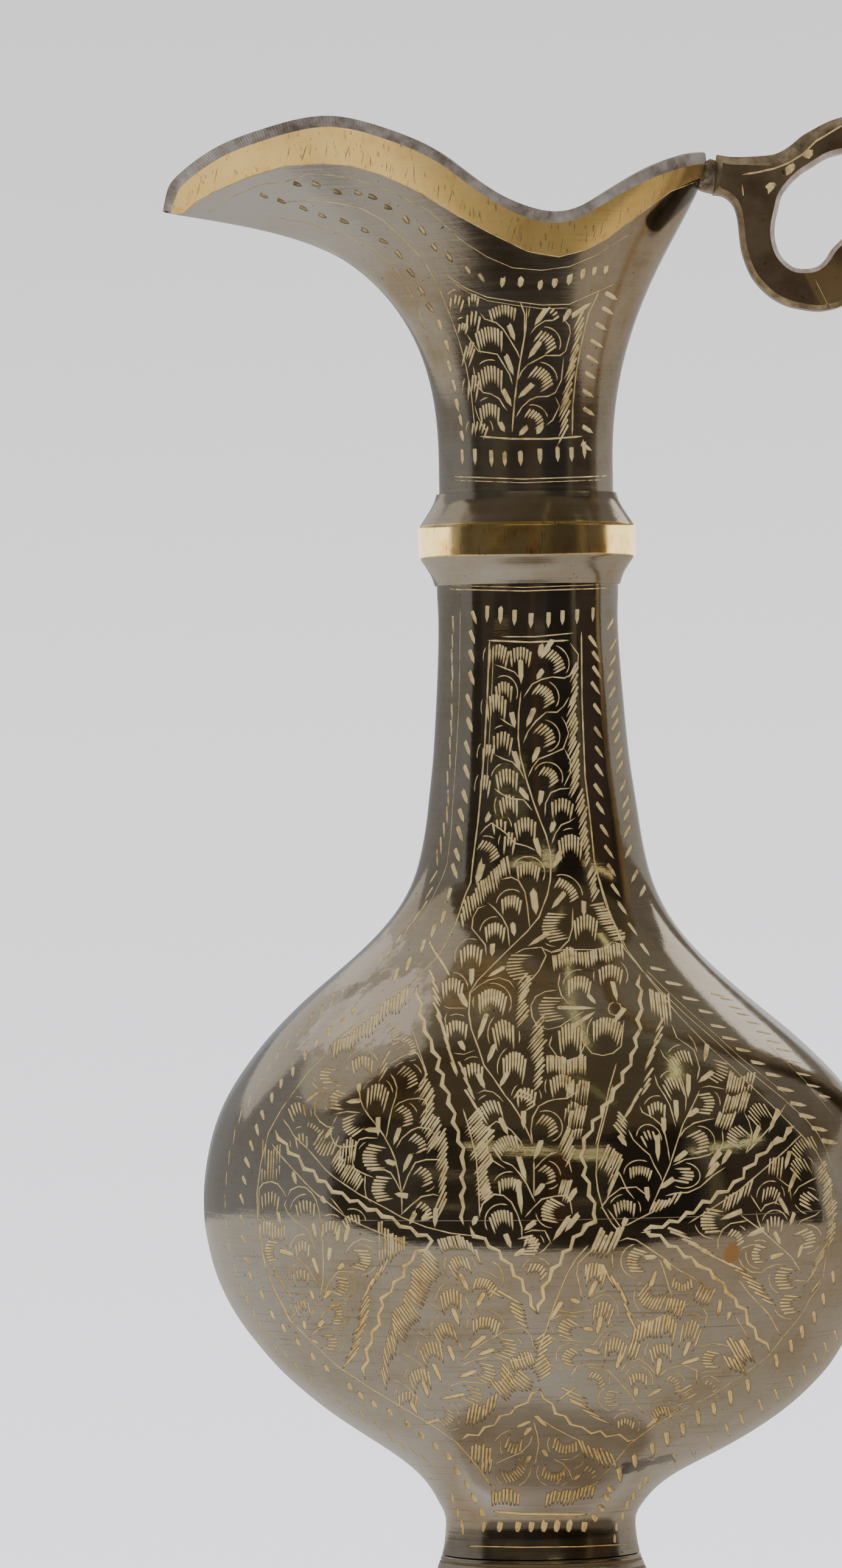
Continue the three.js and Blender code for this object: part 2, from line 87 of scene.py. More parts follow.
# ------------------------------------------------------------------------------------------
# Profiles, the part's own with a crisper waist on the stem
# ------------------------------------------------------------------------------------------
BODY = [
    (188.0, 14.92, 0), (184.0, 14.74, 0), (178.0, 14.9, 0.05), (172.0, 15.25, 0.1),
    (166.0, 15.67, 0.14), (160.0, 16.18, 0.2), (155.0, 16.84, 0.27), (151.0, 17.36, 0.32),
    (148.0, 17.8, 0.3), (145.0, 18.36, 0.27), (142.0, 19.1, 0.2), (139.0, 20.2, 0.05),
    (136.0, 21.79, -0.18), (133.0, 23.88, -0.5), (130.0, 26.5, -0.84), (127.0, 29.6, -1.14),
    (124.0, 32.95, -1.36), (121.0, 36.4, -1.38), (118.0, 39.76, -1.15), (115.0, 42.95, -0.79),
    (112.0, 45.82, -0.37), (108.0, 49.2, 0.2), (104.0, 51.8, 0.5), (100.0, 53.5, 0.7),
    (96.0, 54.65, 0.88), (92.0, 55.4, 1.03), (88.0, 55.75, 1.2), (84.0, 55.69, 1.36),
    (80.0, 55.16, 1.53), (76.0, 54.15, 1.7), (72.0, 52.6, 1.88), (68.0, 50.45, 2.06),
    (64.0, 47.7, 2.35), (60.0, 44.65, 2.86), (55.0, 39.3, 3.28), (52.0, 35.3, 3.37),
    (49.0, 30.7, 3.3), (46.0, 25.7, 2.72), (43.0, 20.97, 1.42), (40.0, 17.85, 0.5),
    (38.2, 16.84, 0.25), (37.4, 16.15, 0.14), (36.9, 15.68, 0.1), (36.6, 15.48, 0.07), (36.35, 15.42, 0.04),
    (36.0, 15.44, 0.02), (35.0, 15.525, 0.0), (34.0, 15.61, 0.0), (32.0, 15.79, 0.0), (30.0, 16.2, 0.0),
]
FOOT = [
    (30.0, 16.2), (28.5, 16.72), (26.0, 17.85), (22.5, 19.7), (18.5, 22.0), (14.5, 24.4),
    (11.0, 26.5), (8.0, 28.3), (6.2, 29.35), (5.2, 29.8), (4.4, 30.8), (3.6, 31.6),
    (2.4, 32.0), (1.2, 32.0), (0.0, 31.5),
]
COLLAR = [
    (203.9, 14.85), (202.6, 15.2), (201.4, 15.85), (200.2, 16.6), (199.2, 17.3),
    (198.7, 17.72), (198.3, 17.85), (193.7, 17.82), (193.2, 17.6), (192.2, 16.85),
    (191.0, 16.05), (189.9, 15.55), (188.9, 15.25),
]
RIM = [
    ((-59.6, 0, 251.0), (-36.0, 0, 246.7), 0, 36),
    ((-58.6, 2.7, 253.9), (-38.0, 2.0, 247.2), 7, 35.5),
    ((-56.4, 4.5, 256.8), (-39.5, 3.2, 247.8), 14, 35),
    ((-50.5, 7.3, 260.8), (-40.0, 4.6, 248.4), 23, 34),
    ((-42.8, 10.3, 263.6), (-36.5, 6.0, 248.8), 33, 31.5),
    ((-32.6, 13.5, 265.5), (-29.0, 8.4, 248.8), 44, 28.5),
    ((-23.1, 16.3, 263.4), (-20.5, 11.6, 246.6), 55, 26),
    ((-14.1, 18.6, 259.2), (-12.0, 15.4, 243.0), 68, 23.5),
    ((-5.5, 20.2, 252.9), (-4.2, 18.0, 239.5), 82, 21.5),
    ((4.8, 20.9, 249.0), (4.2, 18.9, 238.5), 97, 21),
    ((12.6, 20.2, 251.6), (11.4, 18.4, 240.3), 110, 22),
    ((19.5, 17.8, 255.5), (18.6, 16.4, 243.6), 125, 24),
    ((25.2, 13.2, 257.9), (24.8, 12.2, 247.2), 141, 26),
    ((29.0, 7.1, 259.1), (29.0, 6.6, 249.4), 160, 27.7),
    ((30.5, 0, 259.4), (30.6, 0, 250.0), 180, 28),
]
HANDLE = [
    (32.0, 259.0), (34.6, 258.6), (39.5, 258.7), (41.9, 259.1), (43.9, 260.2), (45.9, 261.8),
    (47.8, 262.9), (50.2, 264.1), (52.7, 264.9), (56.0, 265.4), (59.5, 265.1), (63.0, 263.6),
    (66.0, 261.0), (68.3, 257.6), (69.9, 253.2), (71.0, 247.5), (71.8, 240.0), (72.2, 231.0),
    (72.3, 222.0), (72.0, 212.0), (71.3, 201.0), (70.2, 189.0), (68.7, 176.0), (67.0, 163.0),
    (65.3, 150.0), (63.9, 138.0), (62.9, 127.0), (62.3, 117.0), (62.2, 108.0), (62.6, 101.5),
    (63.5, 96.6), (65.1, 93.4), (67.2, 92.3), (69.3, 92.9), (70.4, 91.6), (70.1, 89.3),
    (68.3, 87.2), (65.4, 86.0), (62.0, 85.9), (59.6, 87.0), (58.5, 89.4), (58.0, 92.4),
    (57.3, 95.4), (56.3, 98.6), (55.5, 101.4), (55.2, 104.5), (55.3, 109.0), (55.6, 115.0),
    (56.0, 123.0), (56.7, 132.5), (57.9, 144.0), (59.4, 156.0), (61.0, 168.0), (62.7, 181.0),
    (64.2, 194.0), (65.3, 206.0), (65.7, 217.0), (65.4, 226.0), (64.4, 232.0), (62.6, 235.6),
    (60.2, 236.9), (57.6, 236.3), (54.8, 235.0), (52.3, 234.0), (50.8, 233.5), (48.4, 233.2),
    (46.0, 233.5), (43.5, 234.1), (41.1, 235.3), (39.2, 236.9), (37.6, 238.9), (36.6, 241.1),
    (35.9, 243.5), (35.6, 245.9), (35.4, 248.1), (35.0, 250.0), (34.3, 251.3), (33.0, 252.3),
    (31.3, 252.6),
]
RING_HOLE = [
    (52.6, 259.0), (50.1, 258.3), (47.7, 256.9), (45.8, 255.7), (43.8, 253.8), (42.5, 251.9),
    (41.9, 249.7), (41.4, 247.5), (41.3, 245.6), (41.6, 243.9), (42.2, 242.4), (43.4, 241.0),
    (44.8, 240.2), (47.0, 240.1), (48.5, 240.6), (49.7, 241.8), (50.7, 243.3), (51.9, 244.5),
    (53.5, 246.0), (55.2, 248.0), (57.2, 250.4), (59.0, 252.8), (60.2, 255.0), (60.0, 257.2),
    (58.4, 258.7), (55.8, 259.3),
]


def hermite(keys, vals, q):
    """Cubic through the rows of a table, with keys rising."""
    keys, vals = np.asarray(keys, float), np.asarray(vals, float)
    lo = np.maximum(np.arange(len(keys)) - 1, 0)
    hi = np.minimum(np.arange(len(keys)) + 1, len(keys) - 1)
    slope = (vals[hi] - vals[lo]) / (keys[hi] - keys[lo])
    i = np.clip(np.searchsorted(keys, q) - 1, 0, len(keys) - 2)
    h = keys[i + 1] - keys[i]
    t = np.clip((q - keys[i]) / h, 0, 1)
    return (
        (2 * t**3 - 3 * t**2 + 1) * vals[i]
        + (t**3 - 2 * t**2 + t) * h * slope[i]
        + (3 * t**2 - 2 * t**3) * vals[i + 1]
        + (t**3 - t**2) * h * slope[i + 1]
    )


def blurred(values, sigma):
    n = int(4 * sigma)
    k = np.exp(-0.5 * (np.arange(-n, n + 1) / sigma) ** 2)
    k /= k.sum()
    ends = np.concatenate(
        [2 * values[0] - values[n:0:-1], values, 2 * values[-1] - values[-2 : -n - 2 : -1]]
    )
    return np.convolve(ends, k, mode="valid")


# the body's outline from the floor to the collar, smoothed on a 0.1 mm scale
_rows = sorted([(z, r, 0.0) for z, r in FOOT[1:]] + list(BODY) + [(192.0, 14.8, 0.0)])
_k = [r[0] for r in _rows]
PZ = np.arange(0.0, 192.01, 0.1)
_r_raw = hermite(_k, [r[1] for r in _rows], PZ)
_r_soft = blurred(_r_raw, 11.0)
_low = np.clip((PZ - 9.0) / 4.0, 0, 1)
PR = _r_raw * (1 - _low) + _r_soft * _low
PO = blurred(hermite(_k, [r[2] for r in _rows], PZ), 11.0)
PS = np.concatenate([[0], np.cumsum(np.hypot(np.diff(PR), np.diff(PZ)))])


def radius(z):
    return np.interp(z, PZ, PR)


def offset(z):
    return np.interp(z, PZ, PO)


def s_of_z(z):
    return np.interp(z, PZ, PS)


# ------------------------------------------------------------------------------------------
# Surfaces that are engraved. u and v are flat working coordinates of about a millimetre
# ------------------------------------------------------------------------------------------
class Surface:
    """A surface patch with its place and normal at (u, v)."""

    lo = (0.0, 0.0)
    hi = (1.0, 1.0)

    def place(self, uv):
        raise NotImplementedError

    def frame(self, uv, e=0.02):
        du, dv = np.array([e, 0.0]), np.array([0.0, e])
        pu = (self.place(uv + du) - self.place(uv - du)) / (2 * e)
        pv = (self.place(uv + dv) - self.place(uv - dv)) / (2 * e)
        n = np.cross(pu, pv)
        n /= np.linalg.norm(n, axis=1)[:, None] + 1e-12
        return pu, pv, n

    def find(self, drawn):
        """The (u, v) that lie under points of the drawing."""
        drawn = np.asarray(drawn, float)
        if not hasattr(self, "_search"):
            gu = np.linspace(self.lo[0], self.hi[0], 90)
            gv = np.linspace(self.lo[1], self.hi[1], 130)
            grid = np.stack(np.meshgrid(gu, gv, indexing="ij"), -1).reshape(-1, 2)
            self._search = grid, project(self.place(grid))
        grid, seen = self._search
        uv = np.empty_like(drawn)
        for a in range(0, len(drawn), 500):
            d = ((drawn[a : a + 500, None, :] - seen[None]) ** 2).sum(2)
            uv[a : a + 500] = grid[d.argmin(1)]
        lo, hi = np.array(self.lo), np.array(self.hi)
        for _ in range(14):
            e = 0.02
            p = project(self.place(uv))
            ju = (project(self.place(uv + [e, 0])) - project(self.place(uv - [e, 0]))) / (2 * e)
            jv = (project(self.place(uv + [0, e])) - project(self.place(uv - [0, e]))) / (2 * e)
            r = drawn - p
            aa = (ju**2).sum(1) + 0.3
            bb = (jv**2).sum(1) + 0.3
            ab = (ju * jv).sum(1)
            ra, rb = (ju * r).sum(1), (jv * r).sum(1)
            det = aa * bb - ab * ab
            step = np.stack([(bb * ra - ab * rb) / det, (aa * rb - ab * ra) / det], 1)
            uv = np.clip(uv + np.clip(step, -3, 3), lo, hi)
        return uv


class Body(Surface):
    """The near half of belly and neck: u runs round from the spout's side, v up the outline."""

    SCALE = 30.0

    def __init__(self, z0, z1):
        self.lo = (-self.SCALE * math.pi / 2, float(s_of_z(z0)))
        self.hi = (self.SCALE * math.pi / 2, float(s_of_z(z1)))

    def place(self, uv):
        a = uv[:, 0] / self.SCALE
        z = np.interp(uv[:, 1], PS, PZ)
        r = radius(z) + dents(a, z)
        return np.stack(
            [AX + offset(z) + r * np.sin(a), -r * np.cos(a), z], 1
        )


def dents(a, z):
    """Shallow hammered unevenness of the belly; even about both ends of the half."""
    b = a - math.pi / 2
    d = (
        0.050 * np.cos(3 * b + 0.0) * np.sin(z * 0.115 + 0.4)
        + 0.040 * np.cos(5 * b) * np.sin(z * 0.19 + 2.1)
        + 0.030 * np.cos(8 * b) * np.sin(z * 0.27 + 0.9)
        + 0.022 * np.cos(13 * b) * np.sin(z * 0.36 + 4.2)
        + 0.014 * np.cos(19 * b) * np.sin(z * 0.55 + 1.3)
        + 0.012 * np.cos(2 * b) * np.sin(z * 0.83)
    )
    size = np.clip((radius(z) - 10.0) / 40.0, 0.12, 1.0)
    ends = np.clip((z - 32.0) / 6.0, 0, 1) * np.clip((190.0 - z) / 6.0, 0, 1)
    return d * size * ends


def spline(vals, flat_ends):
    """Twice-smooth curve through values at 0, 1, 2..., flat or straight at both ends."""
    y = np.asarray(vals, float)
    n = len(y)
    m = np.zeros((n, n))
    r = np.zeros(n)
    for i in range(1, n - 1):
        m[i, i - 1 : i + 2] = 1, 4, 1
        r[i] = 6 * (y[i - 1] - 2 * y[i] + y[i + 1])
    if flat_ends:
        m[0, :2] = 2, 1
        r[0] = 6 * (y[1] - y[0])
        m[-1, -2:] = 1, 2
        r[-1] = 6 * (y[-2] - y[-1])
    else:
        m[0, 0] = m[-1, -1] = 1
    k = np.linalg.solve(m, r)

    def at(q):
        i = np.clip(np.floor(q).astype(int), 0, n - 2)
        t = q - i
        s = 1 - t
        return (
            s * y[i] + t * y[i + 1] + ((s**3 - s) * k[i] + (t**3 - t) * k[i + 1]) / 6
        )

    return at


_rx = spline([k[0][0] for k in RIM], True)
_ry = spline([k[0][1] for k in RIM], False)
_rz = spline([k[0][2] for k in RIM], True)
_wx = spline([k[1][0] for k in RIM], True)
_wy = spline([k[1][1] for k in RIM], False)
_wz = spline([k[1][2] for k in RIM], True)
_from = spline([k[2] for k in RIM], False)
_rise = spline([k[3] for k in RIM], True)
NECK_R = 14.3
FLARE_Z = 209.0
CHAMFER = 1.9  # width of the filed edge round the rim


def mouth_at(s, v):
    """Outer face of the mouth on the near side: s from the tip (0) to the back (14)."""
    # beyond either end the surface goes on as its own mirror image
    side = np.where((s < 0) | (s > 14), -1.0, 1.0)
    s = np.where(s < 0, -s, np.where(s > 14, 28 - s, s))
    a = np.radians(_from(s))
    p0 = np.stack([-NECK_R * np.cos(a), -NECK_R * np.sin(a), np.full_like(a, FLARE_Z)], 1)
    p1 = p0 + np.stack([0 * a, 0 * a, _rise(s)], 1)
    p2 = np.stack([_wx(s), -_wy(s), _wz(s)], 1)
    p3 = np.stack([_rx(s), -_ry(s), _rz(s)], 1)
    w = np.clip(v, 0, None)[:, None]
    u = 1 - w
    p = u**3 * p0 + 3 * u**2 * w * p1 + 3 * u * w**2 * p2 + w**3 * p3
    p[:, 2] += np.where(v < 0, v * 84.0, 0)
    p[:, 1] *= side
    p[:, 0] += AX
    return p


def chamfer_start(s):
    s = np.clip(s, 0, 14)
    reach = 3 * np.sqrt(
        (_rx(s) - _wx(s)) ** 2 + (_ry(s) - _wy(s)) ** 2 + (_rz(s) - _wz(s)) ** 2
    )
    return 1 - CHAMFER / reach


class Mouth(Surface):
    U, V = 8.5, 52.0
    lo = (0.0, -0.15 * 52.0)
    hi = (14 * 8.5, 52.0)

    def place(self, uv):
        s = uv[:, 0] / self.U
        w = uv[:, 1] / self.V
        inside = np.where(s < 0, -s, np.where(s > 14, 28 - s, s))
        v = np.where(w > 0, w * chamfer_start(inside), w)
        return mouth_at(s, v)


class Flat(Surface):
    """The near face of the handle. u is the distance from the axis, v the height."""

    def __init__(self, y, lo, hi):
        self.y, self.lo, self.hi = y, lo, hi

    def place(self, uv):
        return np.stack([AX + uv[:, 0], np.full(len(uv), self.y), uv[:, 1]], 1)


# ------------------------------------------------------------------------------------------
# Graver strokes, in the drawing's coordinates. A stroke is [points], [half widths in mm],
# [depths in mm]
# ------------------------------------------------------------------------------------------
rng = random.Random(11)
strokes = {"body": [], "mouth": [], "handle": []}


def jit(a):
    return rng.uniform(-a, a)


def put(where, pts, widths, depths):
    strokes[where].append((pts, widths, depths))


def wedge(where, hx, hy, tx, ty, width, depth=0.07, tail=0.0):
    """One push of the graver: blunt where it enters, pointed where it leaves."""
    n = math.hypot(tx - hx, ty - hy)
    if n < 2:
        return
    ex, ey = (tx - hx) / n, (ty - hy) / n
    h = width / 20.0
    i = min(2.2, n * 0.12)
    put(
        where,
        [(hx, hy), (hx + ex * i, hy + ey * i), (hx + ex * n * 0.64, hy + ey * n * 0.64), (tx, ty)],
        [h * 0.88, h, h * 0.92, tail * h],
        [0.0, depth, depth * 0.9, 0.0],
    )


def leaf(where, hx, hy, tx, ty, width=9.5, depth=0.11):
    wedge(where, hx, hy, tx, ty, width, depth)


fans = []


def fan(where, x0, x1, y0, y1, kind="d", lean=0.0, pitch=4.5):
    """A crescent of short strokes side by side, with their blunt ends on the outer curve."""
    w, h = (x1 - x0, y1 - y0) if kind in "du" else (y1 - y0, x1 - x0)
    cx, cy = (x0 + x1) / 2, (y0 + y1) / 2
    turn = {"d": 0, "u": 180, "l": -90, "r": 90}[kind] + 100 * lean + jit(7)
    if lean > 0.3:
        w, h = 0.84 * max(w, h), 0.66 * min(w, h)
    c, sn = math.cos(math.radians(turn)), math.sin(math.radians(turn))
    # across and down the strokes, to the drawing
    at = lambda a, b: (cx + a * c - b * sn, cy + a * sn + b * c)
    n = max(4, round(w / pitch))
    for i in range(n):
        t = 2 * i / (n - 1) - 1
        a = t * w / 2
        head = -h / 2 + 0.24 * h * t * t + jit(0.6)
        tail = head + h * (0.70 + 0.20 * abs(t) ** 1.5) + jit(1.2)
        p, q = at(a * 1.04, head), at(a * 0.84, tail)
        wedge(where, p[0], p[1], q[0], q[1], pitch * 1.0, 0.065, 0.4)
    ring = [at((w / 2 + 10) * math.cos(math.radians(k)), 3 - (h / 2 + 12) * math.sin(math.radians(k)))
            for k in range(-28, 209, 12)]
    fans.append((where, ring))


def outline_fans():
    """The thin cut round each fan, wherever there is room between the other strokes."""
    for where in ("body", "mouth"):
        cells = {}

        def mark(pts):
            for (xa, ya), (xb, yb) in zip(pts, pts[1:]):
                k = max(1, int(math.dist((xa, ya), (xb, yb)) / 3))
                for i in range(k + 1):
                    x, y = xa + (xb - xa) * i / k, ya + (yb - ya) * i / k
                    cells.setdefault((int(x // 8), int(y // 8)), []).append((x, y))

        def room(x, y):
            kx, ky = int(x // 8), int(y // 8)
            return all(
                math.dist((x, y), q) > 5.2
                for i in (-1, 0, 1)
                for j in (-1, 0, 1)
                for q in cells.get((kx + i, ky + j), ())
            )

        for pts, _, _ in strokes[where]:
            mark(pts)
        for place, ring in fans:
            if place != where:
                continue
            run = []
            for q in ring + [None]:
                if q is not None and room(*q):
                    run.append(q)
                    continue
                if len(run) >= 4:
                    line(where, run, 2.4)
                    mark(run)
                run = []


def hatch(where, path, length, angle, pitch=4.8, width=None, depth=0.065):
    """Parallel strokes set along a path. angle: 0 is to the right, 90 is up."""
    ca, sa = math.cos(math.radians(angle)), -math.sin(math.radians(angle))
    pts = list(path)
    done, step = 0.0, 0.0
    lengths = length if isinstance(length, (tuple, list)) else (length, length)
    total = sum(math.dist(a, b) for a, b in zip(pts, pts[1:]))
    for a, b in zip(pts, pts[1:]):
        d = math.dist(a, b)
        # the strokes' spacing is measured square to them
        across = abs((b[0] - a[0]) * sa - (b[1] - a[1]) * ca) / max(d, 1e-6)
        move = pitch / max(across, 0.35)
        while step <= d:
            t = step / d
            x, y = a[0] + (b[0] - a[0]) * t, a[1] + (b[1] - a[1]) * t
            f = (done + step) / total
            half = (lengths[0] + (lengths[1] - lengths[0]) * f) / 2 * (1.1 + jit(0.1))
            sway = 0.2 * half * math.sin((done + step) / 7.5 + pts[0][0])
            half *= 1 + 0.14 * math.sin((done + step) / 5.3 + pts[0][1])
            x, y = x + jit(0.8) + ca * sway, y + jit(0.8) + sa * sway
            wedge(
                where, x + ca * half, y + sa * half, x - ca * half, y - sa * half,
                width or pitch * 0.98, depth, 0.45,
            )
            step += move
        done += d
        step -= d


def line(where, pts, width=2.8, depth=0.08, ends=(0.2, 0.5)):
    """A cut line, drawn in short straight pushes."""
    fine = [pts[0]]
    for a, b in zip(pts, pts[1:]):
        n = max(1, round(math.dist(a, b) / 11))
        fine += [(a[0] + (b[0] - a[0]) * i / n, a[1] + (b[1] - a[1]) * i / n) for i in range(1, n + 1)]
    m = len(fine)
    if m < 2:
        return
    h = width / 20.0
    w = [h * (0.86 + 0.14 * math.sin(i * 1.9) + jit(0.06)) for i in range(m)]
    w[0], w[-1] = h * ends[0], h * ends[1]
    d = [depth] * m
    d[0] = d[-1] = 0.0
    put(where, fine, w, d)


def wriggle(where, pts, width=7.5, sway=3.4, pitch=15.5, depth=0.11):
    """A ribbon rocked along with a flat graver, so that it zigzags."""
    lengths = [math.dist(a, b) for a, b in zip(pts, pts[1:])]
    total = sum(lengths)
    n = max(3, round(total / pitch))
    out = []
    for k in range(n + 1):
        d = min(max(total * (k + (jit(0.22) if 0 < k < n else 0)) / n, 0), total)
        i = 0
        while i < len(lengths) - 1 and d > lengths[i]:
            d -= lengths[i]
            i += 1
        a, b = pts[i], pts[i + 1]
        t = d / max(lengths[i], 1e-6)
        ex, ey = (b[0] - a[0]) / lengths[i], (b[1] - a[1]) / lengths[i]
        s = (sway if k % 2 else -sway) * (1 + jit(0.35)) + jit(0.6)
        out.append((a[0] + (b[0] - a[0]) * t - ey * s, a[1] + (b[1] - a[1]) * t + ex * s))
    m = len(out)
    h = width / 20.0
    w = [h * (1.0 if i % 2 else 0.72) * (1 + jit(0.1)) for i in range(m)]
    w[0] = w[-1] = h * 0.3
    d = [depth] * m
    d[0] = d[-1] = 0.0
    put(where, out, w, d)


def dashes(where, centres, length, angle, width=8.0, depth=0.11):
    """Single teardrop cuts, each centred on a point; angle points from tail to head."""
    for i, (x, y) in enumerate(centres):
        a = angle[i] if isinstance(angle, (list, tuple)) else angle
        ca, sa = math.cos(math.radians(a)), -math.sin(math.radians(a))
        h = length / 2 * (1 + jit(0.1))
        wedge(where, x + ca * h, y + sa * h, x - ca * h, y - sa * h, width * (1.08 + jit(0.12)), depth, 0.12)


def along_path(pts, spacing, start=0.0):
    """Evenly spaced points of a path, with the direction there (degrees, up is 90)."""
    out = []
    need = start
    for a, b in zip(pts, pts[1:]):
        d = math.dist(a, b)
        while need <= d:
            t = need / d
            out.append(
                (
                    a[0] + (b[0] - a[0]) * t,
                    a[1] + (b[1] - a[1]) * t,
                    math.degrees(math.atan2(-(b[1] - a[1]), b[0] - a[0])),
                )
            )
            need += spacing
        need -= d
    return out


# ------------------------------------------------------------------------------------------
# Ornament of the mouth and the upper neck
# ------------------------------------------------------------------------------------------
M = "mouth"
GOLD_EDGE = [
    (288, 372), (301, 350), (349, 316), (408, 291), (467, 273), (527, 269), (578, 273),
    (625, 287), (685, 314), (744, 350), (803, 382), (850, 405), (866, 413), (918, 422),
    (961, 411), (996, 393), (1066, 341), (1101, 315), (1157, 293), (1172, 290),
]
line(M, GOLD_EDGE[1:-1], 2.2, 0.07)
line(M, [(329, 356), (384, 322), (428, 303), (467, 299), (507, 286), (546, 288), (586, 295),
         (645, 316), (704, 346), (756, 393), (764, 399), (800, 422), (842, 440), (890, 444),
         (935, 438), (980, 419), (1037, 383)], 1.7, 0.05)
line(M, [(463, 332), (515, 329), (554, 334), (594, 343), (629, 362), (661, 392), (685, 417),
         (704, 441), (724, 481), (740, 520), (754, 560), (765, 600), (774, 647), (779, 695),
         (781, 717)], 2.4, 0.07)
line(M, [(459, 358), (507, 366), (566, 386), (610, 409), (649, 441), (669, 473), (685, 504),
         (702, 556)], 2.2, 0.05)
line(M, [(728, 449), (764, 473), (799, 488), (850, 496), (890, 501), (935, 500), (1013, 465)], 2.2, 0.06)
line(M, [(736, 458), (766, 479), (801, 494), (850, 502), (890, 507), (935, 506)], 1.6, 0.05)
# these two rows of dashes are cut shallow so that cut_brass paints them dark brown: painted shade
dashes(M, [(489, 303), (520, 303), (555, 316), (589, 317), (613, 324), (638, 341)], 15, 160, 7.5, 0.013)
dashes(M, [(668, 362), (695, 380), (714, 407), (739, 424), (769, 444), (791, 457)], 16, 125, 9.0, 0.022)
dashes(M, [(825, 465), (855, 465), (887, 470), (911, 466), (935, 461), (957, 452), (976, 447),
           (995, 444)], 15, 80, 9)
# these two rows of dashes are cut shallow so that cut_brass paints them dark brown: painted shade
dashes(M, [(434, 322), (463, 331), (500, 343), (530, 355), (566, 364), (600, 379), (631, 397)], 16, 155, 6.5, 0.013)
dashes(M, [(656, 419), (676, 449), (693, 478), (707, 506)], 18, 128, 8, 0.022)
dashes(M, [(722, 535), (734, 569), (738, 603), (746, 635), (751, 666), (757, 692), (759, 717)], 20, 104, 8)
dashes(M, [(1005, 487), (999, 511), (988, 537), (981, 565), (974, 591), (970, 617), (967, 647),
           (968, 677), (966, 706), (964, 735)], 23, 148, 7.5)
line(M, [(985, 477), (967, 515), (955, 565), (946, 615), (941, 665), (940, 716)], 3.4, 0.1)
line(M, [(787, 717), (840, 721), (900, 721), (957, 717)], 3.6, 0.1)
dashes(M, [(759, 752), (780, 751), (807, 754), (829, 755), (855, 754), (887, 750), (916, 747),
           (939, 747), (960, 740)], 26, 92, 8)
line(M, [(744, 783), (860, 787), (1000, 782)], 2.4, 0.07, (1, 1))
line(M, [(745, 789), (860, 793), (999, 788)], 1.8, 0.05, (1, 1))
# scratches on the bare band, browned with age
for k in range(58):
    f = (k + 0.5 + jit(0.45)) / 58 * (len(GOLD_EDGE) - 3) + 1
    i = int(f)
    xa, ya = GOLD_EDGE[i]
    xb, yb = GOLD_EDGE[i + 1]
    x, y = xa + (xb - xa) * (f - i), ya + (yb - ya) * (f - i)
    up_to = rng.uniform(9, 34)
    x, y = x + jit(3), y - rng.uniform(4, 12)
    line(M, [(x, y), (x + up_to * (0.16 + jit(0.2)), y - up_to)], rng.uniform(1.1, 2.0), 0.012)
# stem, fans and leaves of the upper neck's panel
line(M, [(854, 494), (862, 517), (862, 550), (855, 590), (849, 627), (845, 660), (841, 710)], 3.2, 0.1)
line(M, [(865, 504), (864, 547)], 2.0, 0.05)
line(M, [(871, 500), (867, 522)], 2.0, 0.05)
for b in [(805, 846, 501, 526), (783, 824, 536, 574), (787, 824, 600, 640), (789, 819, 662, 692)]:
    fan(M, *b, "d", 0.0)
for b in [(896, 920, 504, 525), (878, 917, 541, 580), (869, 912, 599, 642), (861, 897, 671, 702)]:
    fan(M, *b, "d", 0.5)
for b in [(740, 760, 484, 510), (754, 767, 530, 547), (770, 785, 483, 502), (767, 787, 510, 545),
          (764, 777, 560, 600), (770, 785, 615, 655), (776, 800, 692, 716)]:
    fan(M, *b, "d", 0.1)
for a in [(836, 534, 846, 561), (831, 584, 844, 618), (826, 640, 841, 669), (821, 694, 829, 710),
          (887, 562, 867, 590), (875, 631, 850, 655), (865, 702, 852, 716), (936, 510, 924, 530),
          (940, 519, 975, 495), (890, 700, 881, 714), (897, 508, 877, 536)]:
    leaf(M, *a)
for p in [
    [(787, 512), (796, 524), (815, 530), (826, 540), (837, 557), (849, 577), (854, 589)],
    [(765, 547), (777, 565), (786, 577), (800, 579), (817, 582), (826, 597), (837, 615), (842, 632)],
    [(777, 600), (782, 632), (794, 645), (806, 647), (820, 655), (827, 667), (834, 675)],
    [(779, 665), (785, 685), (794, 702), (801, 710)],
    [(870, 550), (880, 537), (895, 527), (912, 526)],
    [(850, 626), (857, 610), (867, 599), (880, 592), (895, 584), (920, 584), (929, 577), (937, 547), (935, 535), (925, 524)],
    [(847, 686), (857, 669), (870, 657), (882, 652), (900, 651), (912, 645), (922, 625), (926, 587)],
    [(912, 652), (919, 667), (908, 690), (895, 700)],
]:
    line(M, p, 2.6)
hatch(M, [(953, 522), (938, 610)], 34, 62)
hatch(M, [(936, 606), (932, 657)], 36, 62)
hatch(M, [(928, 657), (926, 714)], 34, 62)

# ------------------------------------------------------------------------------------------
# Ornament of the lower neck
# ------------------------------------------------------------------------------------------
B = "body"
line(B, [(738, 968), (860, 971), (1000, 966)], 2.6, 0.07, (1, 1))
line(B, [(739, 962), (860, 965), (1000, 960)], 1.8, 0.05, (1, 1))
dashes(B, [(800, 1009), (822, 1012), (845, 1015), (872, 1020), (901, 1019), (924, 1015),
           (948, 1013), (974, 1010)], 26, 88, 8)
line(B, [(822, 1046), (880, 1046), (942, 1040)], 2.6)
line(B, [(800, 1052), (870, 1055), (935, 1052)], 3.4, 0.1)
line(B, [(804, 1050), (800, 1150), (796, 1225), (792, 1275), (785, 1350), (777, 1412), (773, 1450),
         (765, 1468), (748, 1518), (721, 1569), (674, 1617)], 3.6, 0.1)
line(B, [(811, 1056), (807, 1150), (803, 1225), (799, 1290)], 1.8, 0.05)
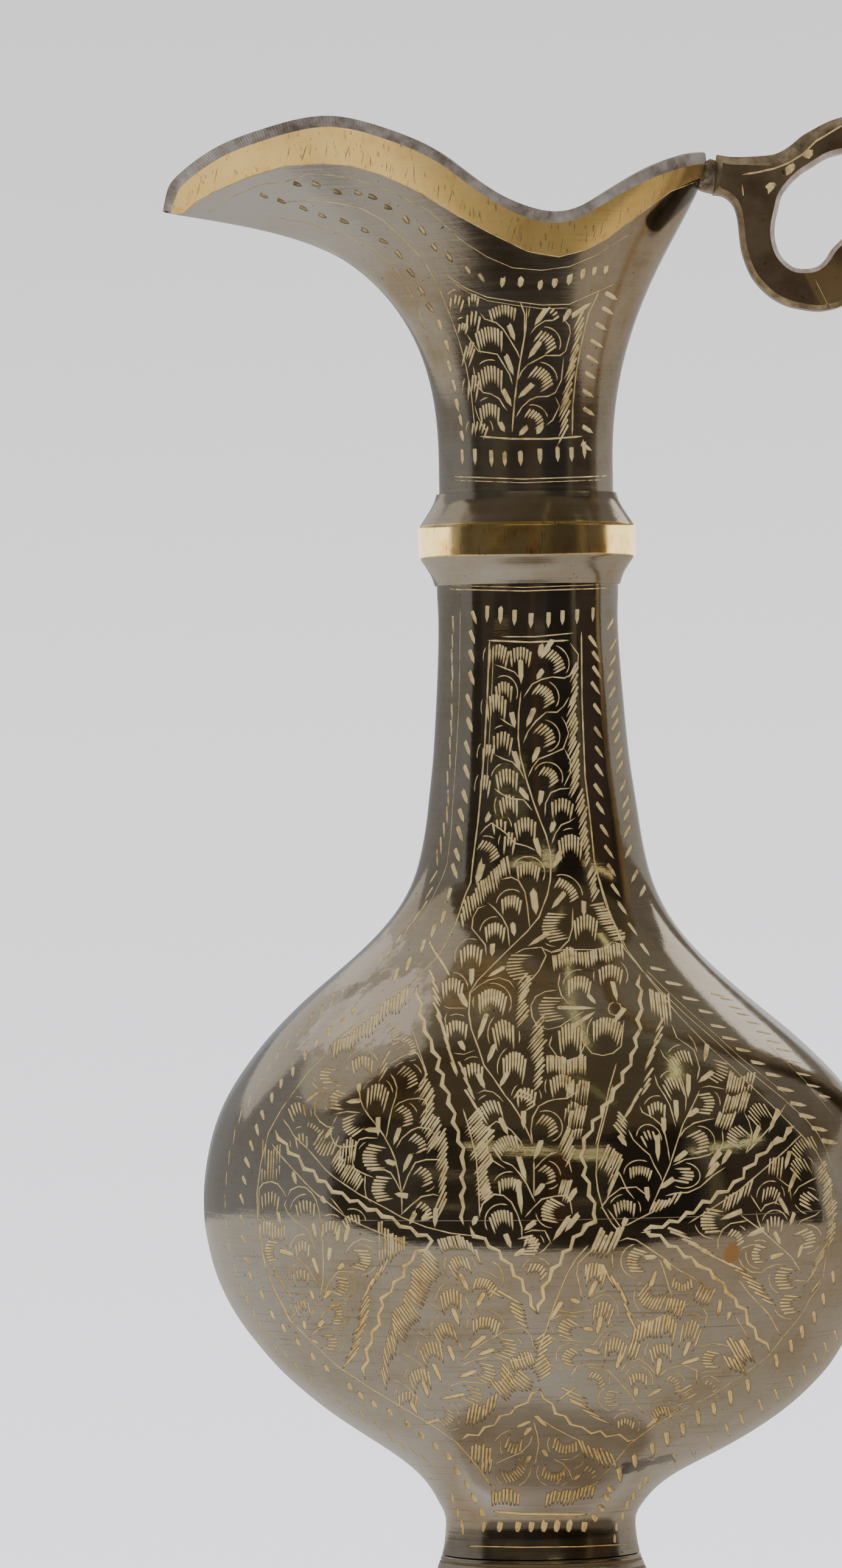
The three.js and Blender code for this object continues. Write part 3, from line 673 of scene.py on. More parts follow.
line(B, [(955, 1037), (956, 1150), (959, 1225), (961, 1275), (970, 1350), (976, 1412), (985, 1450),
         (995, 1485), (1026, 1559), (1059, 1599)], 3.6, 0.1)
line(B, [(982, 1435), (1002, 1500), (1030, 1560), (1057, 1596)], 2.2, 0.06)
for b in [(804, 834, 1058, 1095), (839, 871, 1062, 1092), (815, 840, 1119, 1150), (800, 830, 1139, 1180),
          (811, 840, 1201, 1237), (816, 849, 1262, 1297), (822, 849, 1305, 1340), (810, 830, 1345, 1367),
          (847, 879, 1342, 1377), (829, 845, 1366, 1400), (907, 940, 1311, 1342), (794, 809, 1222, 1250),
          (790, 804, 1272, 1307), (919, 955, 1370, 1410)]:
    fan(B, *b, "d", 0.0)
for b in [(892, 930, 1062, 1107), (874, 915, 1122, 1161), (877, 916, 1187, 1227), (885, 920, 1257, 1291),
          (786, 821, 1376, 1417)]:
    fan(B, *b, "d", 0.5)
for a in [(855, 1085, 856, 1125), (890, 1060, 885, 1080), (907, 1052, 887, 1082), (891, 1101, 881, 1117),
          (840, 1170, 846, 1197), (877, 1165, 864, 1196), (844, 1235, 855, 1265), (884, 1230, 874, 1254),
          (855, 1297, 870, 1316), (890, 1299, 886, 1325), (804, 1337, 797, 1352), (910, 1351, 904, 1369),
          (879, 1377, 889, 1410), (921, 1399, 910, 1419)]:
    leaf(B, *a)
line(B, [(856, 1135), (852, 1170), (851, 1212), (855, 1245), (865, 1282), (876, 1317), (887, 1347),
         (897, 1372), (904, 1400), (905, 1420), (904, 1445), (899, 1470), (885, 1507), (866, 1530),
         (835, 1560), (805, 1590), (785, 1610), (772, 1630), (770, 1665), (774, 1690), (787, 1725),
         (795, 1750), (810, 1770), (830, 1800), (840, 1812), (850, 1827), (860, 1845), (870, 1867),
         (874, 1880)], 3.0, 0.1)
for p in [
    [(859, 1147), (874, 1124), (890, 1116), (907, 1112), (927, 1114), (940, 1107), (949, 1095), (950, 1075), (936, 1056)],
    [(859, 1222), (867, 1202), (880, 1185), (897, 1170), (915, 1170), (926, 1160), (935, 1145)],
    [(867, 1277), (875, 1260), (885, 1247), (905, 1239), (925, 1230), (934, 1205), (930, 1190), (922, 1177)],
    [(895, 1342), (896, 1320), (905, 1302), (920, 1296), (937, 1295)],
    [(927, 1230), (937, 1250), (937, 1270), (926, 1292)],
    [(906, 1387), (912, 1370), (922, 1355), (935, 1350), (947, 1342)],
    [(810, 1091), (825, 1096), (845, 1104), (854, 1115)],
    [(820, 1179), (835, 1189), (849, 1197)],
    [(811, 1239), (825, 1246), (842, 1252), (854, 1265), (862, 1280)],
    [(811, 1295), (825, 1305), (840, 1312), (860, 1314), (875, 1332)],
    [(787, 1372), (797, 1360), (807, 1352), (822, 1362), (832, 1370), (845, 1385), (865, 1390), (880, 1397)],
    # upper middle of the belly
    [(890, 1557), (905, 1564), (920, 1559), (934, 1545), (940, 1525), (941, 1492)],
    [(845, 1567), (860, 1559), (890, 1556), (897, 1570), (885, 1595), (872, 1610), (855, 1615)],
    [(772, 1632), (785, 1620), (802, 1610), (820, 1606), (837, 1612), (846, 1625)],
    [(800, 1487), (785, 1492), (777, 1507), (775, 1525), (785, 1537), (797, 1552), (799, 1570)],
    [(800, 1482), (812, 1492), (825, 1507), (834, 1525), (837, 1555)],
    [(821, 1445), (840, 1441), (852, 1447), (862, 1465), (866, 1487), (870, 1525)],
    [(920, 1597), (917, 1617), (922, 1635), (932, 1647), (940, 1652)],
    [(917, 1626), (895, 1629), (880, 1637), (872, 1652), (874, 1670), (882, 1685), (900, 1691), (920, 1686), (940, 1672), (960, 1661)],
    [(907, 1700), (902, 1717), (915, 1735), (932, 1742), (952, 1736), (960, 1717), (956, 1705), (955, 1677)],
    [(960, 1700), (962, 1717), (972, 1730), (990, 1734), (1007, 1730), (1020, 1719), (1025, 1675)],
    [(902, 1566), (925, 1560), (952, 1560), (975, 1560), (995, 1557), (1005, 1547), (1025, 1552)],
    [(1010, 1646), (1018, 1649), (1021, 1657), (1018, 1665), (1010, 1668), (1002, 1665), (999, 1657), (1002, 1649), (1009, 1646)],
    [(727, 1652), (737, 1656), (767, 1656)],
    [(735, 1662), (731, 1672), (732, 1688)],
    [(745, 1730), (762, 1732), (780, 1725)],
]:
    line(B, p, 2.7)
hatch(B, [(942, 1100), (944, 1150)], 24, 62)
hatch(B, [(938, 1154), (942, 1250)], 30, 62)
hatch(B, [(942, 1252), (946, 1300)], 30, 62)
hatch(B, [(952, 1307), (960, 1380)], 26, 62)
hatch(B, [(961, 1382), (966, 1420)], 18, 62)
LEFT_A = [(779, 1015), (776, 1047), (775, 1079), (775, 1115), (771, 1154), (772, 1192), (768, 1230),
          (767, 1270), (764, 1310), (758, 1340), (756, 1371), (751, 1405), (747, 1432)]
dashes(B, LEFT_A, 25, 110, 8.5)
dashes(B, [(737, 1470), (727, 1508), (711, 1530), (694, 1555), (670, 1585), (650, 1602)], 25, 75, 8)
LEFT_B = [(744, 1027), (743, 1056), (742, 1080), (743, 1107), (742, 1132), (742, 1170), (741, 1197),
          (739, 1224), (739, 1252), (735, 1280), (736, 1312), (734, 1340), (729, 1365), (724, 1390),
          (718, 1410)]
dashes(B, LEFT_B, 28, 92, 5)
dashes(B, [(711, 1442), (704, 1468), (695, 1490), (682, 1508), (668, 1527), (653, 1545),
           (637, 1565), (624, 1575)], 26, 58, 5)
line(B, [(756, 1000), (755, 1075), (754, 1150), (750, 1225), (745, 1300), (740, 1375), (734, 1420),
         (727, 1440), (710, 1475), (680, 1527), (620, 1590)], 2.2, 0.06)
dashes(B, [(975, 1055), (980, 1080), (981, 1105), (979, 1131), (982, 1166), (983, 1204), (985, 1236),
           (985, 1266), (984, 1299), (987, 1329), (994, 1366), (1001, 1400), (1005, 1430),
           (1012, 1463), (1023, 1493), (1040, 1527), (1060, 1560)], 25, 125, 7.5)
dashes(B, [(1002, 1027), (1007, 1060), (1006, 1087), (1002, 1112), (1005, 1139), (1010, 1170),
           (1010, 1191), (1013, 1214), (1017, 1239), (1017, 1262), (1023, 1292), (1027, 1319),
           (1029, 1340), (1030, 1367), (1032, 1400), (1042, 1440), (1055, 1465)], 24, 60, 7)

# ------------------------------------------------------------------------------------------
# Ornament of the belly: upper middle
# ------------------------------------------------------------------------------------------
hatch(B, [(760, 1512), (765, 1500), (775, 1482), (785, 1472), (795, 1465), (805, 1450), (815, 1440),
          (825, 1430), (835, 1424)], 28, 100)
for b in [(850, 885, 1416, 1445), (825, 855, 1470, 1499), (798, 828, 1515, 1545), (757, 790, 1551, 1586),
          (727, 759, 1606, 1640), (787, 830, 1624, 1664), (734, 766, 1675, 1705), (811, 843, 1674, 1721),
          (827, 862, 1727, 1775), (764, 792, 1745, 1775), (905, 941, 1764, 1800), (850, 879, 1786, 1815),
          (944, 980, 1502, 1540), (985, 1021, 1584, 1616), (934, 969, 1602, 1637), (919, 955, 1680, 1730),
          (975, 1020, 1670, 1712)]:
    fan(B, *b, "d", 0.0)
fan(B, 916, 948, 1437, 1485, "d", 0.5)
for b in [(890, 930, 1501, 1545), (831, 872, 1569, 1607), (884, 925, 1639, 1676)]:
    fan(B, *b, "l")
for a in [(921, 1406, 907, 1426), (927, 1467, 905, 1494), (842, 1517, 845, 1539), (902, 1532, 866, 1555),
          (809, 1550, 808, 1572), (827, 1589, 801, 1605), (775, 1591, 774, 1621), (756, 1632, 769, 1656),
          (799, 1666, 784, 1710), (755, 1710, 764, 1727), (812, 1717, 800, 1747), (785, 1764, 797, 1790),
          (834, 1762, 820, 1787), (959, 1480, 959, 1507), (1006, 1612, 1014, 1646), (966, 1634, 979, 1650),
          (917, 1655, 981, 1656), (940, 1687, 980, 1660), (1026, 1656, 1007, 1681)]:
    leaf(B, *a)
leaf(B, 792, 1419, 782, 1454, 14)
leaf(B, 876, 1466, 881, 1505, 13)
hatch(B, [(909, 1580), (932, 1573), (952, 1573), (975, 1576), (992, 1567), (1010, 1560), (1026, 1567)], 24, 95)
hatch(B, [(968, 1432), (980, 1477)], 22, 60)
hatch(B, [(980, 1486), (1016, 1545)], 22, 8)
for x0, x1, y0, y1, n in [(840, 880, 1607, 1640, 28), (842, 872, 1635, 1680, 26), (861, 902, 1682, 1730, 34),
                          (872, 897, 1730, 1785, 24)]:
    hatch(B, [((x0 + x1) / 2, y0), ((x0 + x1) / 2, y1)], n, 50)
hatch(B, [(899, 1750), (962, 1752)], 28, 90)
hatch(B, [(712, 1560), (735, 1596)], 26, 118)
hatch(B, [(712, 1606), (722, 1677)], 26, 118)
hatch(B, [(725, 1680), (748, 1760)], 30, 112)
hatch(B, [(760, 1756), (776, 1800)], 24, 118)
wriggle(B, [(684, 1618), (692, 1676), (709, 1714), (720, 1748), (732, 1787), (743, 1821), (749, 1859),
            (762, 1898), (759, 1944), (759, 2013)])
wriggle(B, [(1049, 1599), (1053, 1641), (1049, 1687), (1041, 1729), (1014, 1787), (984, 1833),
            (969, 1856), (955, 1890), (961, 1928), (972, 1974), (980, 2001), (942, 2036)])
wriggle(B, [(449, 1856), (479, 1894), (510, 1925), (560, 1963), (598, 1982), (655, 2009), (713, 2039),
            (673, 2070), (657, 2102), (629, 2130), (625, 2162), (609, 2198), (601, 2237), (597, 2266)])
wriggle(B, [(1305, 1848), (1282, 1871), (1237, 1909), (1210, 1944), (1156, 1978), (1118, 2001),
            (1056, 2025), (1071, 2026), (1111, 2050), (1143, 2074), (1171, 2094), (1195, 2122),
            (1223, 2154), (1243, 2194), (1267, 2221)])
wriggle(B, [(769, 2018), (805, 2046), (837, 2078), (861, 2114), (881, 2160)])
wriggle(B, [(978, 2006), (948, 2026), (928, 2058), (912, 2082), (896, 2110), (882, 2160)])
wriggle(B, [(885, 2281), (861, 2305), (817, 2333), (781, 2357), (753, 2365)], 6.5)
wriggle(B, [(884, 2283), (924, 2329), (960, 2349), (1047, 2367)], 6.5)

# the panel's outline on the belly, with its dashes
PANEL_LEFT = [(674, 1617), (643, 1632), (612, 1660), (583, 1684), (555, 1705), (535, 1732), (507, 1760),
              (485, 1790), (462, 1822), (441, 1860), (428, 1912), (422, 1960), (423, 2000), (428, 2040),
              (436, 2082), (450, 2118), (475, 2168), (510, 2203), (552, 2243), (610, 2282), (660, 2312),
              (710, 2342), (750, 2370), (778, 2402), (806, 2440)]
PANEL_RIGHT = [(1059, 1599), (1112, 1665), (1160, 1715), (1205, 1755), (1237, 1787), (1267, 1815),
               (1292, 1840), (1317, 1865), (1340, 1890), (1356, 1920), (1364, 1950), (1369, 1985),
               (1366, 2030), (1356, 2070), (1352, 2100), (1345, 2115), (1330, 2135), (1320, 2155),
               (1305, 2175), (1290, 2192), (1260, 2230), (1216, 2262), (1170, 2292), (1120, 2318),
               (1078, 2340), (1035, 2372), (985, 2432)]
line(B, PANEL_LEFT, 4.4, 0.12, (0.8, 0.8))
line(B, PANEL_RIGHT, 3.0, 0.09, (0.8, 0.8))
line(B, [(1057, 1595), (1085, 1627), (1130, 1670), (1170, 1705), (1210, 1742), (1250, 1775), (1287, 1805),
         (1325, 1840), (1343, 1862), (1357, 1888), (1367, 1920)], 2.6, 0.08)
line(B, [(1060, 1592), (1090, 1622), (1135, 1664), (1176, 1700), (1216, 1737), (1257, 1770), (1294, 1800)], 2.0, 0.06)
line(B, [(1257, 1712), (1292, 1745), (1322, 1775), (1355, 1815), (1372, 1835)], 2.0, 0.05)
dashes(B, [(1082, 1592), (1109, 1616), (1136, 1641), (1161, 1662), (1181, 1686), (1200, 1706),
           (1222, 1725), (1246, 1746), (1272, 1766), (1291, 1790), (1312, 1814), (1327, 1834),
           (1347, 1855), (1364, 1876)], 27, 170, 8.5)
dashes(B, [(1179, 1635), (1195, 1642), (1209, 1656), (1222, 1667), (1239, 1681), (1256, 1697),
           (1272, 1712), (1289, 1726), (1305, 1745), (1321, 1765), (1337, 1784), (1355, 1801)], 24, 170, 5)
dashes(B, [(1369, 2100), (1353, 2136), (1338, 2165), (1318, 2190), (1300, 2213), (1276, 2237), (1229, 2278),
           (1200, 2297), (1173, 2316), (1147, 2330), (1122, 2349), (1096, 2365), (1072, 2382),
           (1043, 2402), (1018, 2424)], 24, 98, 9)
dashes(B, [(1374, 2195), (1357, 2215), (1340, 2232), (1322, 2252), (1300, 2272), (1276, 2292),
           (1250, 2310), (1219, 2333), (1195, 2350), (1166, 2370), (1140, 2388), (1110, 2400)], 24, 108, 5)
# left border of the belly: short cuts beside the silhouette
for x0, y0, x1, y1 in [(582, 1610, 575, 1622), (566, 1621, 559, 1640), (549, 1631, 540, 1659),
                       (530, 1650, 524, 1669), (514, 1663, 505, 1687), (492, 1687, 486, 1707),
                       (475, 1706, 467, 1727), (457, 1726, 453, 1743), (445, 1745, 437, 1762),
                       (430, 1769, 420, 1790), (412, 1797, 405, 1825), (397, 1822, 391, 1850),
                       (386, 1855, 382, 1883), (377, 1890, 375, 1917), (372, 1925, 371, 1952),
                       (369, 1962, 370, 1988), (370, 2000, 372, 2026), (374, 2040, 378, 2064),
                       (384, 2076, 389, 2100), (394, 2110, 402, 2135), (404, 2128, 408, 2146),
                       (415, 2150, 419, 2170), (424, 2170, 430, 2190), (436, 2188, 442, 2203),
                       (449, 2207, 456, 2223), (465, 2218, 473, 2234), (483, 2238, 491, 2254),
                       (505, 2258, 514, 2272), (530, 2278, 541, 2292), (552, 2298, 563, 2308),
                       (574, 2308, 582, 2326), (590, 2318, 604, 2338), (614, 2334, 629, 2352),
                       (636, 2354, 648, 2370), (655, 2364, 666, 2381), (674, 2378, 687, 2392),
                       (692, 2390, 703, 2402)]:
    wedge(B, x0, y0, x1, y1, 4.6, 0.12)
for x0, y0, x1, y1 in [(581, 1655, 579, 1668), (564, 1670, 561, 1684), (541, 1687, 540, 1705),
                       (520, 1706, 519, 1722), (501, 1727, 501, 1743), (481, 1752, 481, 1770),
                       (462, 1772, 461, 1790), (446, 1795, 447, 1813), (429, 1824, 434, 1841),
                       (420, 1847, 425, 1867), (410, 1874, 417, 1893), (402, 1902, 411, 1920),
                       (398, 1932, 405, 1948), (394, 1962, 401, 1980), (394, 1996, 401, 2012),
                       (396, 2030, 405, 2046), (401, 2066, 412, 2078)]:
    wedge(B, x0, y0, x1, y1, 8, 0.16)
for x, y in [(410, 2094), (429, 2125), (446, 2157), (465, 2180), (489, 2204), (513, 2227), (536, 2247),
             (574, 2277), (592, 2292), (614, 2306), (640, 2320), (669, 2339), (692, 2357), (715, 2375),
             (736, 2392), (751, 2417), (767, 2438), (778, 2459), (791, 2483)]:
    wedge(B, x + 2, y + 6, x - 2, y - 6, 11, 0.2, 0.4)

# ------------------------------------------------------------------------------------------
# Ornament of the belly: left compartments
# ------------------------------------------------------------------------------------------
hatch(B, [(668, 1639), (643, 1650), (622, 1672), (602, 1692), (580, 1705), (559, 1720), (543, 1730)], (30, 26), 82)
for b, k, lean in [
    ((630, 662, 1686, 1715), "d", 0.6), ((660, 685, 1700, 1735), "d", 0.6), ((579, 611, 1733, 1763), "d", 0.0),
    ((524, 550, 1755, 1778), "l", 0.0), ((540, 565, 1792, 1821), "l", 0.2), ((652, 691, 1750, 1786), "d", 0.5),
    ((604, 636, 1779, 1820), "d", 0.1), ((650, 682, 1814, 1851), "d", 0.6), ((476, 500, 1810, 1840), "d", -0.2),
    ((562, 591, 1835, 1865), "l", -0.3), ((509, 525, 1838, 1870), "d", 0.4), ((671, 704, 1861, 1894), "d", 0.6),
    ((518, 550, 1861, 1900), "u", 0.3), ((486, 504, 1860, 1886), "d", 0.0), ((595, 629, 1882, 1920), "l", 0.0),
    ((610, 642, 1934, 1972), "l", 0.0), ((680, 714, 1915, 1949), "d", 0.6), ((685, 712, 1972, 2006), "d", 0.6),
    ((430, 457, 1957, 1988), "d", 0.0), ((487, 516, 1971, 2000), "d", 0.0), ((434, 455, 2040, 2071), "l", 0.0),
    ((486, 507, 2037, 2065), "d", 0.0), ((530, 557, 2004, 2032), "d", 0.0), ((580, 610, 2055, 2085), "r", 0.1),
    ((564, 590, 1995, 2016), "d", -0.2), ((482, 506, 2084, 2109), "d", 0.0), ((545, 574, 2100, 2127), "r", 0.1),
    ((486, 507, 2134, 2162), "d", -0.2), ((544, 564, 2144, 2175), "r", 0.0), ((531, 555, 2194, 2217), "r", 0.0),
]:
    fan(B, *b, k, lean)
hatch(B, [(632, 1742), (628, 1772)], 30, 60)
hatch(B, [(558, 1897), (585, 1895)], 38, 84)
hatch(B, [(548, 1905), (570, 1925), (592, 1950)], 26, 60)
hatch(B, [(694, 1776), (706, 1817)], 30, 58)
hatch(B, [(700, 1822), (714, 1880)], 36, 56)
hatch(B, [(722, 1868), (728, 1915)], 30, 58)
hatch(B, [(728, 1922), (724, 1998)], 34, 66)
hatch(B, [(430, 1912), (461, 1908)], (66, 48), 88)
hatch(B, [(428, 2022), (467, 2024)], 24, 90)
hatch(B, [(623, 2050), (645, 2048)], (60, 52), 91)
hatch(B, [(645, 2044), (667, 2044)], (34, 22), 91)
hatch(B, [(630, 2084), (612, 2105), (598, 2130)], 30, 66, 4.2)
hatch(B, [(600, 2128), (594, 2180)], 30, 58, 4.2)
hatch(B, [(590, 2180), (578, 2232), (560, 2248)], 30, 50, 4.2)
hatch(B, [(452, 2090), (476, 2128)], 26, 122)
hatch(B, [(456, 2128), (476, 2166)], 22, 122)
hatch(B, [(712, 2066), (692, 2108), (676, 2140)], 36, 133)
hatch(B, [(676, 2144), (652, 2190)], 38, 124)
hatch(B, [(650, 2190), (636, 2230), (630, 2276)], 32, 104)
for a in [(755, 1632, 767, 1656), (589, 1780, 590, 1797), (592, 1808, 567, 1810), (621, 1835, 621, 1868),
          (624, 1857, 596, 1855), (656, 1854, 646, 1882), (675, 1897, 661, 1927), (649, 1912, 631, 1906),
          (481, 1927, 487, 1947), (544, 1855, 532, 1872), (670, 1965, 647, 1961), (520, 1795, 500, 1812),
          (527, 1967, 536, 1977), (514, 2011, 519, 2037), (682, 1992, 672, 2012), (702, 1995, 691, 2006),
          (572, 2015, 565, 2044), (460, 2055, 485, 2062), (514, 2067, 524, 2097), (564, 2077, 552, 2087),
          (541, 2121, 530, 2134), (510, 2121, 516, 2137), (531, 2170, 521, 2181), (499, 2170, 501, 2187),
          (456, 1992, 461, 2012), (542, 2050, 539, 2074), (515, 2203, 523, 2207), (555, 2024, 553, 2041),
          (782, 2000, 776, 2014), (716, 1985, 714, 2018)]:
    leaf(B, *a)
for p in [
    [(637, 1750), (660, 1736), (680, 1727), (687, 1732), (695, 1750), (699, 1762), (697, 1780), (680, 1797)],
    [(645, 1822), (655, 1812), (670, 1806), (687, 1804), (700, 1807), (701, 1817), (700, 1830), (692, 1847)],
    [(650, 1887), (660, 1870), (675, 1857), (687, 1852), (705, 1854), (715, 1865)],
    [(660, 1960), (670, 1932), (682, 1910), (700, 1905), (720, 1905), (725, 1910)],
    [(657, 1997), (675, 1980), (692, 1966), (712, 1962), (722, 1965)],
    [(589, 1785), (592, 1807), (597, 1820), (605, 1832), (617, 1847), (630, 1865), (642, 1887), (650, 1907), (655, 1932), (659, 1957), (660, 1975), (660, 1997)],
    [(640, 1762), (647, 1772), (652, 1787), (650, 1802), (644, 1820), (640, 1837), (635, 1865), (634, 1870)],
    [(510, 1772), (515, 1782), (525, 1790), (536, 1797)],
    [(521, 1800), (517, 1812), (517, 1830), (525, 1842), (537, 1851), (551, 1852)],
    [(542, 1850), (544, 1867), (550, 1880), (560, 1885), (585, 1882), (590, 1872), (602, 1869), (621, 1870)],
    [(585, 1877), (581, 1892), (579, 1910), (582, 1920), (595, 1927), (614, 1935)],
    [(605, 1925), (615, 1922), (632, 1922), (642, 1927), (650, 1940), (659, 1959)],
    [(600, 1927), (599, 1950), (601, 1965), (610, 1977)],
    [(555, 1830), (550, 1840), (545, 1850)],
    [(545, 1831), (570, 1826), (592, 1828)],
    [(425, 2000), (425, 1975), (426, 1952), (432, 1944), (445, 1941), (456, 1945), (465, 1957), (471, 1969)],
    [(471, 1969), (477, 1955), (490, 1949), (502, 1951), (512, 1960), (519, 1972), (524, 1990), (526, 2010), (530, 2045), (531, 2082), (530, 2107), (525, 2132)],
    [(471, 1969), (467, 1980), (472, 1992), (485, 2007), (505, 2020), (512, 2037), (522, 2062)],
    [(429, 1995), (437, 2010), (452, 2012)],
    [(457, 2037), (472, 2057), (492, 2070), (507, 2085), (522, 2112)],
    [(531, 2130), (540, 2107), (555, 2089), (585, 2090)],
    [(525, 2170), (532, 2155), (550, 2141), (572, 2142)],
    [(505, 2170), (517, 2150), (530, 2135)],
    [(507, 2198), (525, 2182), (545, 2176)],
    [(565, 2060), (580, 2042), (595, 2035), (620, 2042)],
    [(475, 2170), (490, 2150), (505, 2128)],
    [(541, 1965), (565, 1995)],
    [(700, 2137), (730, 2157)],
    [(680, 2185), (707, 2200)],
    [(657, 2220), (692, 2242), (702, 2270)],
    [(642, 2265), (667, 2277), (690, 2302), (705, 2317)],
]:
    line(B, p, 2.8)
line(B, [(462, 1835), (475, 1852), (482, 1865), (505, 1887), (535, 1922), (550, 1935), (590, 1962),
         (632, 1984), (660, 2000), (700, 2016), (740, 2026), (775, 2030)], 2.6, 0.07)
line(B, [(445, 1877), (462, 1900), (482, 1922), (500, 1942), (520, 1962), (540, 1977), (565, 1997),
         (595, 2013), (625, 2026), (650, 2036), (672, 2043)], 2.8, 0.08)
line(B, [(672, 1640), (674, 1680), (684, 1712), (695, 1745), (702, 1765)], 2.2, 0.06)

# ------------------------------------------------------------------------------------------
# Ornament of the belly: middle and lower compartments
# ------------------------------------------------------------------------------------------
for b, k, lean in [
    ((789, 822, 1807, 1840), "d", -0.25), ((847, 880, 1785, 1825), "d", 0.4), ((881, 920, 1829, 1867), "d", 0.5),
    ((811, 850, 1866, 1897), "d", -0.2), ((886, 916, 1912, 1945), "d", 0.6), ((820, 855, 1934, 1960), "d", 0.0),
    ((889, 920, 1971, 2006), "l", 0.2), ((806, 841, 1987, 2020), "d", -0.1), ((857, 885, 2031, 2061), "r", 0.0),
    ((869, 897, 2076, 2099), "d", 0.3), ((739, 769, 2062, 2095), "d", -0.3), ((725, 757, 2116, 2155), "d", -0.1),
    ((715, 746, 2171, 2207), "d", -0.2), ((692, 725, 2203, 2240), "d", -0.2), ((674, 705, 2247, 2282), "d", -0.1),
    ((655, 684, 2285, 2311), "d", 0.0), ((779, 814, 2099, 2127), "d", 0.2), ((777, 819, 2162, 2192), "d", 0.1),
    ((815, 850, 2201, 2230), "r", 0.2), ((781, 816, 2242, 2270), "r", 0.2), ((760, 794, 2281, 2305), "r", 0.2),
    ((720, 746, 2317, 2342), "r", 0.3), ((965, 994, 2074, 2112), "d", 0.1), ((976, 1005, 2136, 2175), "d", 0.1),
    ((995, 1027, 2196, 2235), "d", 0.1), ((1035, 1062, 2254, 2277), "d", 0.0), ((1016, 1041, 2330, 2347), "d", 0.0),
    ((915, 949, 2169, 2197), "l", 0.2), ((922, 950, 2217, 2242), "l", 0.2), ((965, 997, 2252, 2280), "d", 0.4),
    ((992, 1017, 2286, 2309), "l", 0.0), ((1070, 1100, 2310, 2335), "d", -0.2), ((1069, 1102, 2206, 2236), "d", 0.0),
    ((1120, 1149, 2167, 2212), "d", 0.2), ((1152, 1180, 2221, 2246), "l", 0.0), ((1092, 1124, 2261, 2286), "d", 0.5),
    ((1156, 1180, 2269, 2286), "d", 0.5), ((1105, 1136, 2100, 2122), "u", 0.0), ((1029, 1060, 2053, 2089), "l", 0.1),
    ((1050, 1090, 2114, 2152), "u", 0.3), ((864, 885, 2031, 2051), "d", 0.3), ((831, 855, 2362, 2390), "u", 0.2),
    ((909, 947, 2364, 2389), "u", 0.0), ((825, 865, 2404, 2432), "u", -0.4), ((891, 927, 2412, 2434), "u", 0.0),
    ((960, 981, 2407, 2430), "d", 0.5), ((962, 992, 2074, 2100), "d", 0.1),
]:
    fan(B, *b, k, lean)
for x0, x1, y0, y1, n, ang in [
    (770, 786, 1800, 1825, 26, 122), (775, 800, 1834, 1885, 34, 48), (784, 800, 1885, 1920, 30, 50),
    (786, 798, 1920, 1962, 28, 52), (796, 800, 1950, 1977, 26, 40),
]:
    hatch(B, [(x0, y0), (x1, y1)], n, ang)
hatch(B, [(930, 1812), (968, 1800)], 52, 84)
hatch(B, [(934, 1840), (958, 1852)], 44, 80)
hatch(B, [(924, 1872), (938, 1900)], 34, 64)
hatch(B, [(920, 1952), (938, 1954)], 32, 74)
hatch(B, [(976, 2044), (1018, 2040)], 42, 66, 6.5)
hatch(B, [(724, 2050), (740, 2040), (756, 2040), (774, 2050), (786, 2064)], 22, 108, 5)
hatch(B, [(1000, 2100), (1014, 2112), (1028, 2132)], 36, 118, 5.5)
hatch(B, [(1026, 2136), (1032, 2160), (1044, 2184)], 24, 118, 5.5)
hatch(B, [(1042, 2192), (1060, 2188), (1082, 2178), (1098, 2176), (1108, 2192)], 30, 80, 5.5)
hatch(B, [(1094, 2146), (1122, 2150)], 26, 76, 5.5)
hatch(B, [(1146, 2126), (1174, 2130)], 30, 64, 5.5)
hatch(B, [(1036, 2214), (1046, 2226)], 30, 72, 6)
hatch(B, [(818, 2128), (838, 2130), (852, 2146), (856, 2180)], 26, 150, 5.5)
hatch(B, [(840, 2240), (862, 2238), (878, 2232)], 24, 108, 5)
hatch(B, [(838, 2256), (826, 2284), (818, 2292)], 34, 128, 5.5)
hatch(B, [(864, 2262), (846, 2278)], 30, 140, 5.5)
hatch(B, [(812, 2306), (790, 2320), (766, 2330)], 30, 80, 5.5)
hatch(B, [(886, 2198), (892, 2212), (886, 2240), (894, 2268)], 28, 36, 5.5)
hatch(B, [(924, 2294), (940, 2284)], 24, 40, 5)
hatch(B, [(940, 2288), (952, 2306), (972, 2322), (994, 2338)], 36, 156, 5.5)
hatch(B, [(1120, 2284), (1134, 2296)], 30, 30, 5.5)
hatch(B, [(1112, 2312), (1096, 2334)], 26, 38, 5.5)
hatch(B, [(1208, 2226), (1228, 2214)], 44, 120, 5.5)
hatch(B, [(1196, 2240), (1222, 2244)], 28, 118, 5.5)
hatch(B, [(774, 2392), (808, 2390)], 32, 86, 6)
hatch(B, [(792, 2412), (810, 2410)], 20, 82, 6)
hatch(B, [(809, 2460), (855, 2462)], 22, 88, 6)
hatch(B, [(898, 2464), (940, 2458), (980, 2450)], 22, 78, 6)
hatch(B, [(956, 2382), (984, 2392), (1012, 2404)], 30, 112, 6)
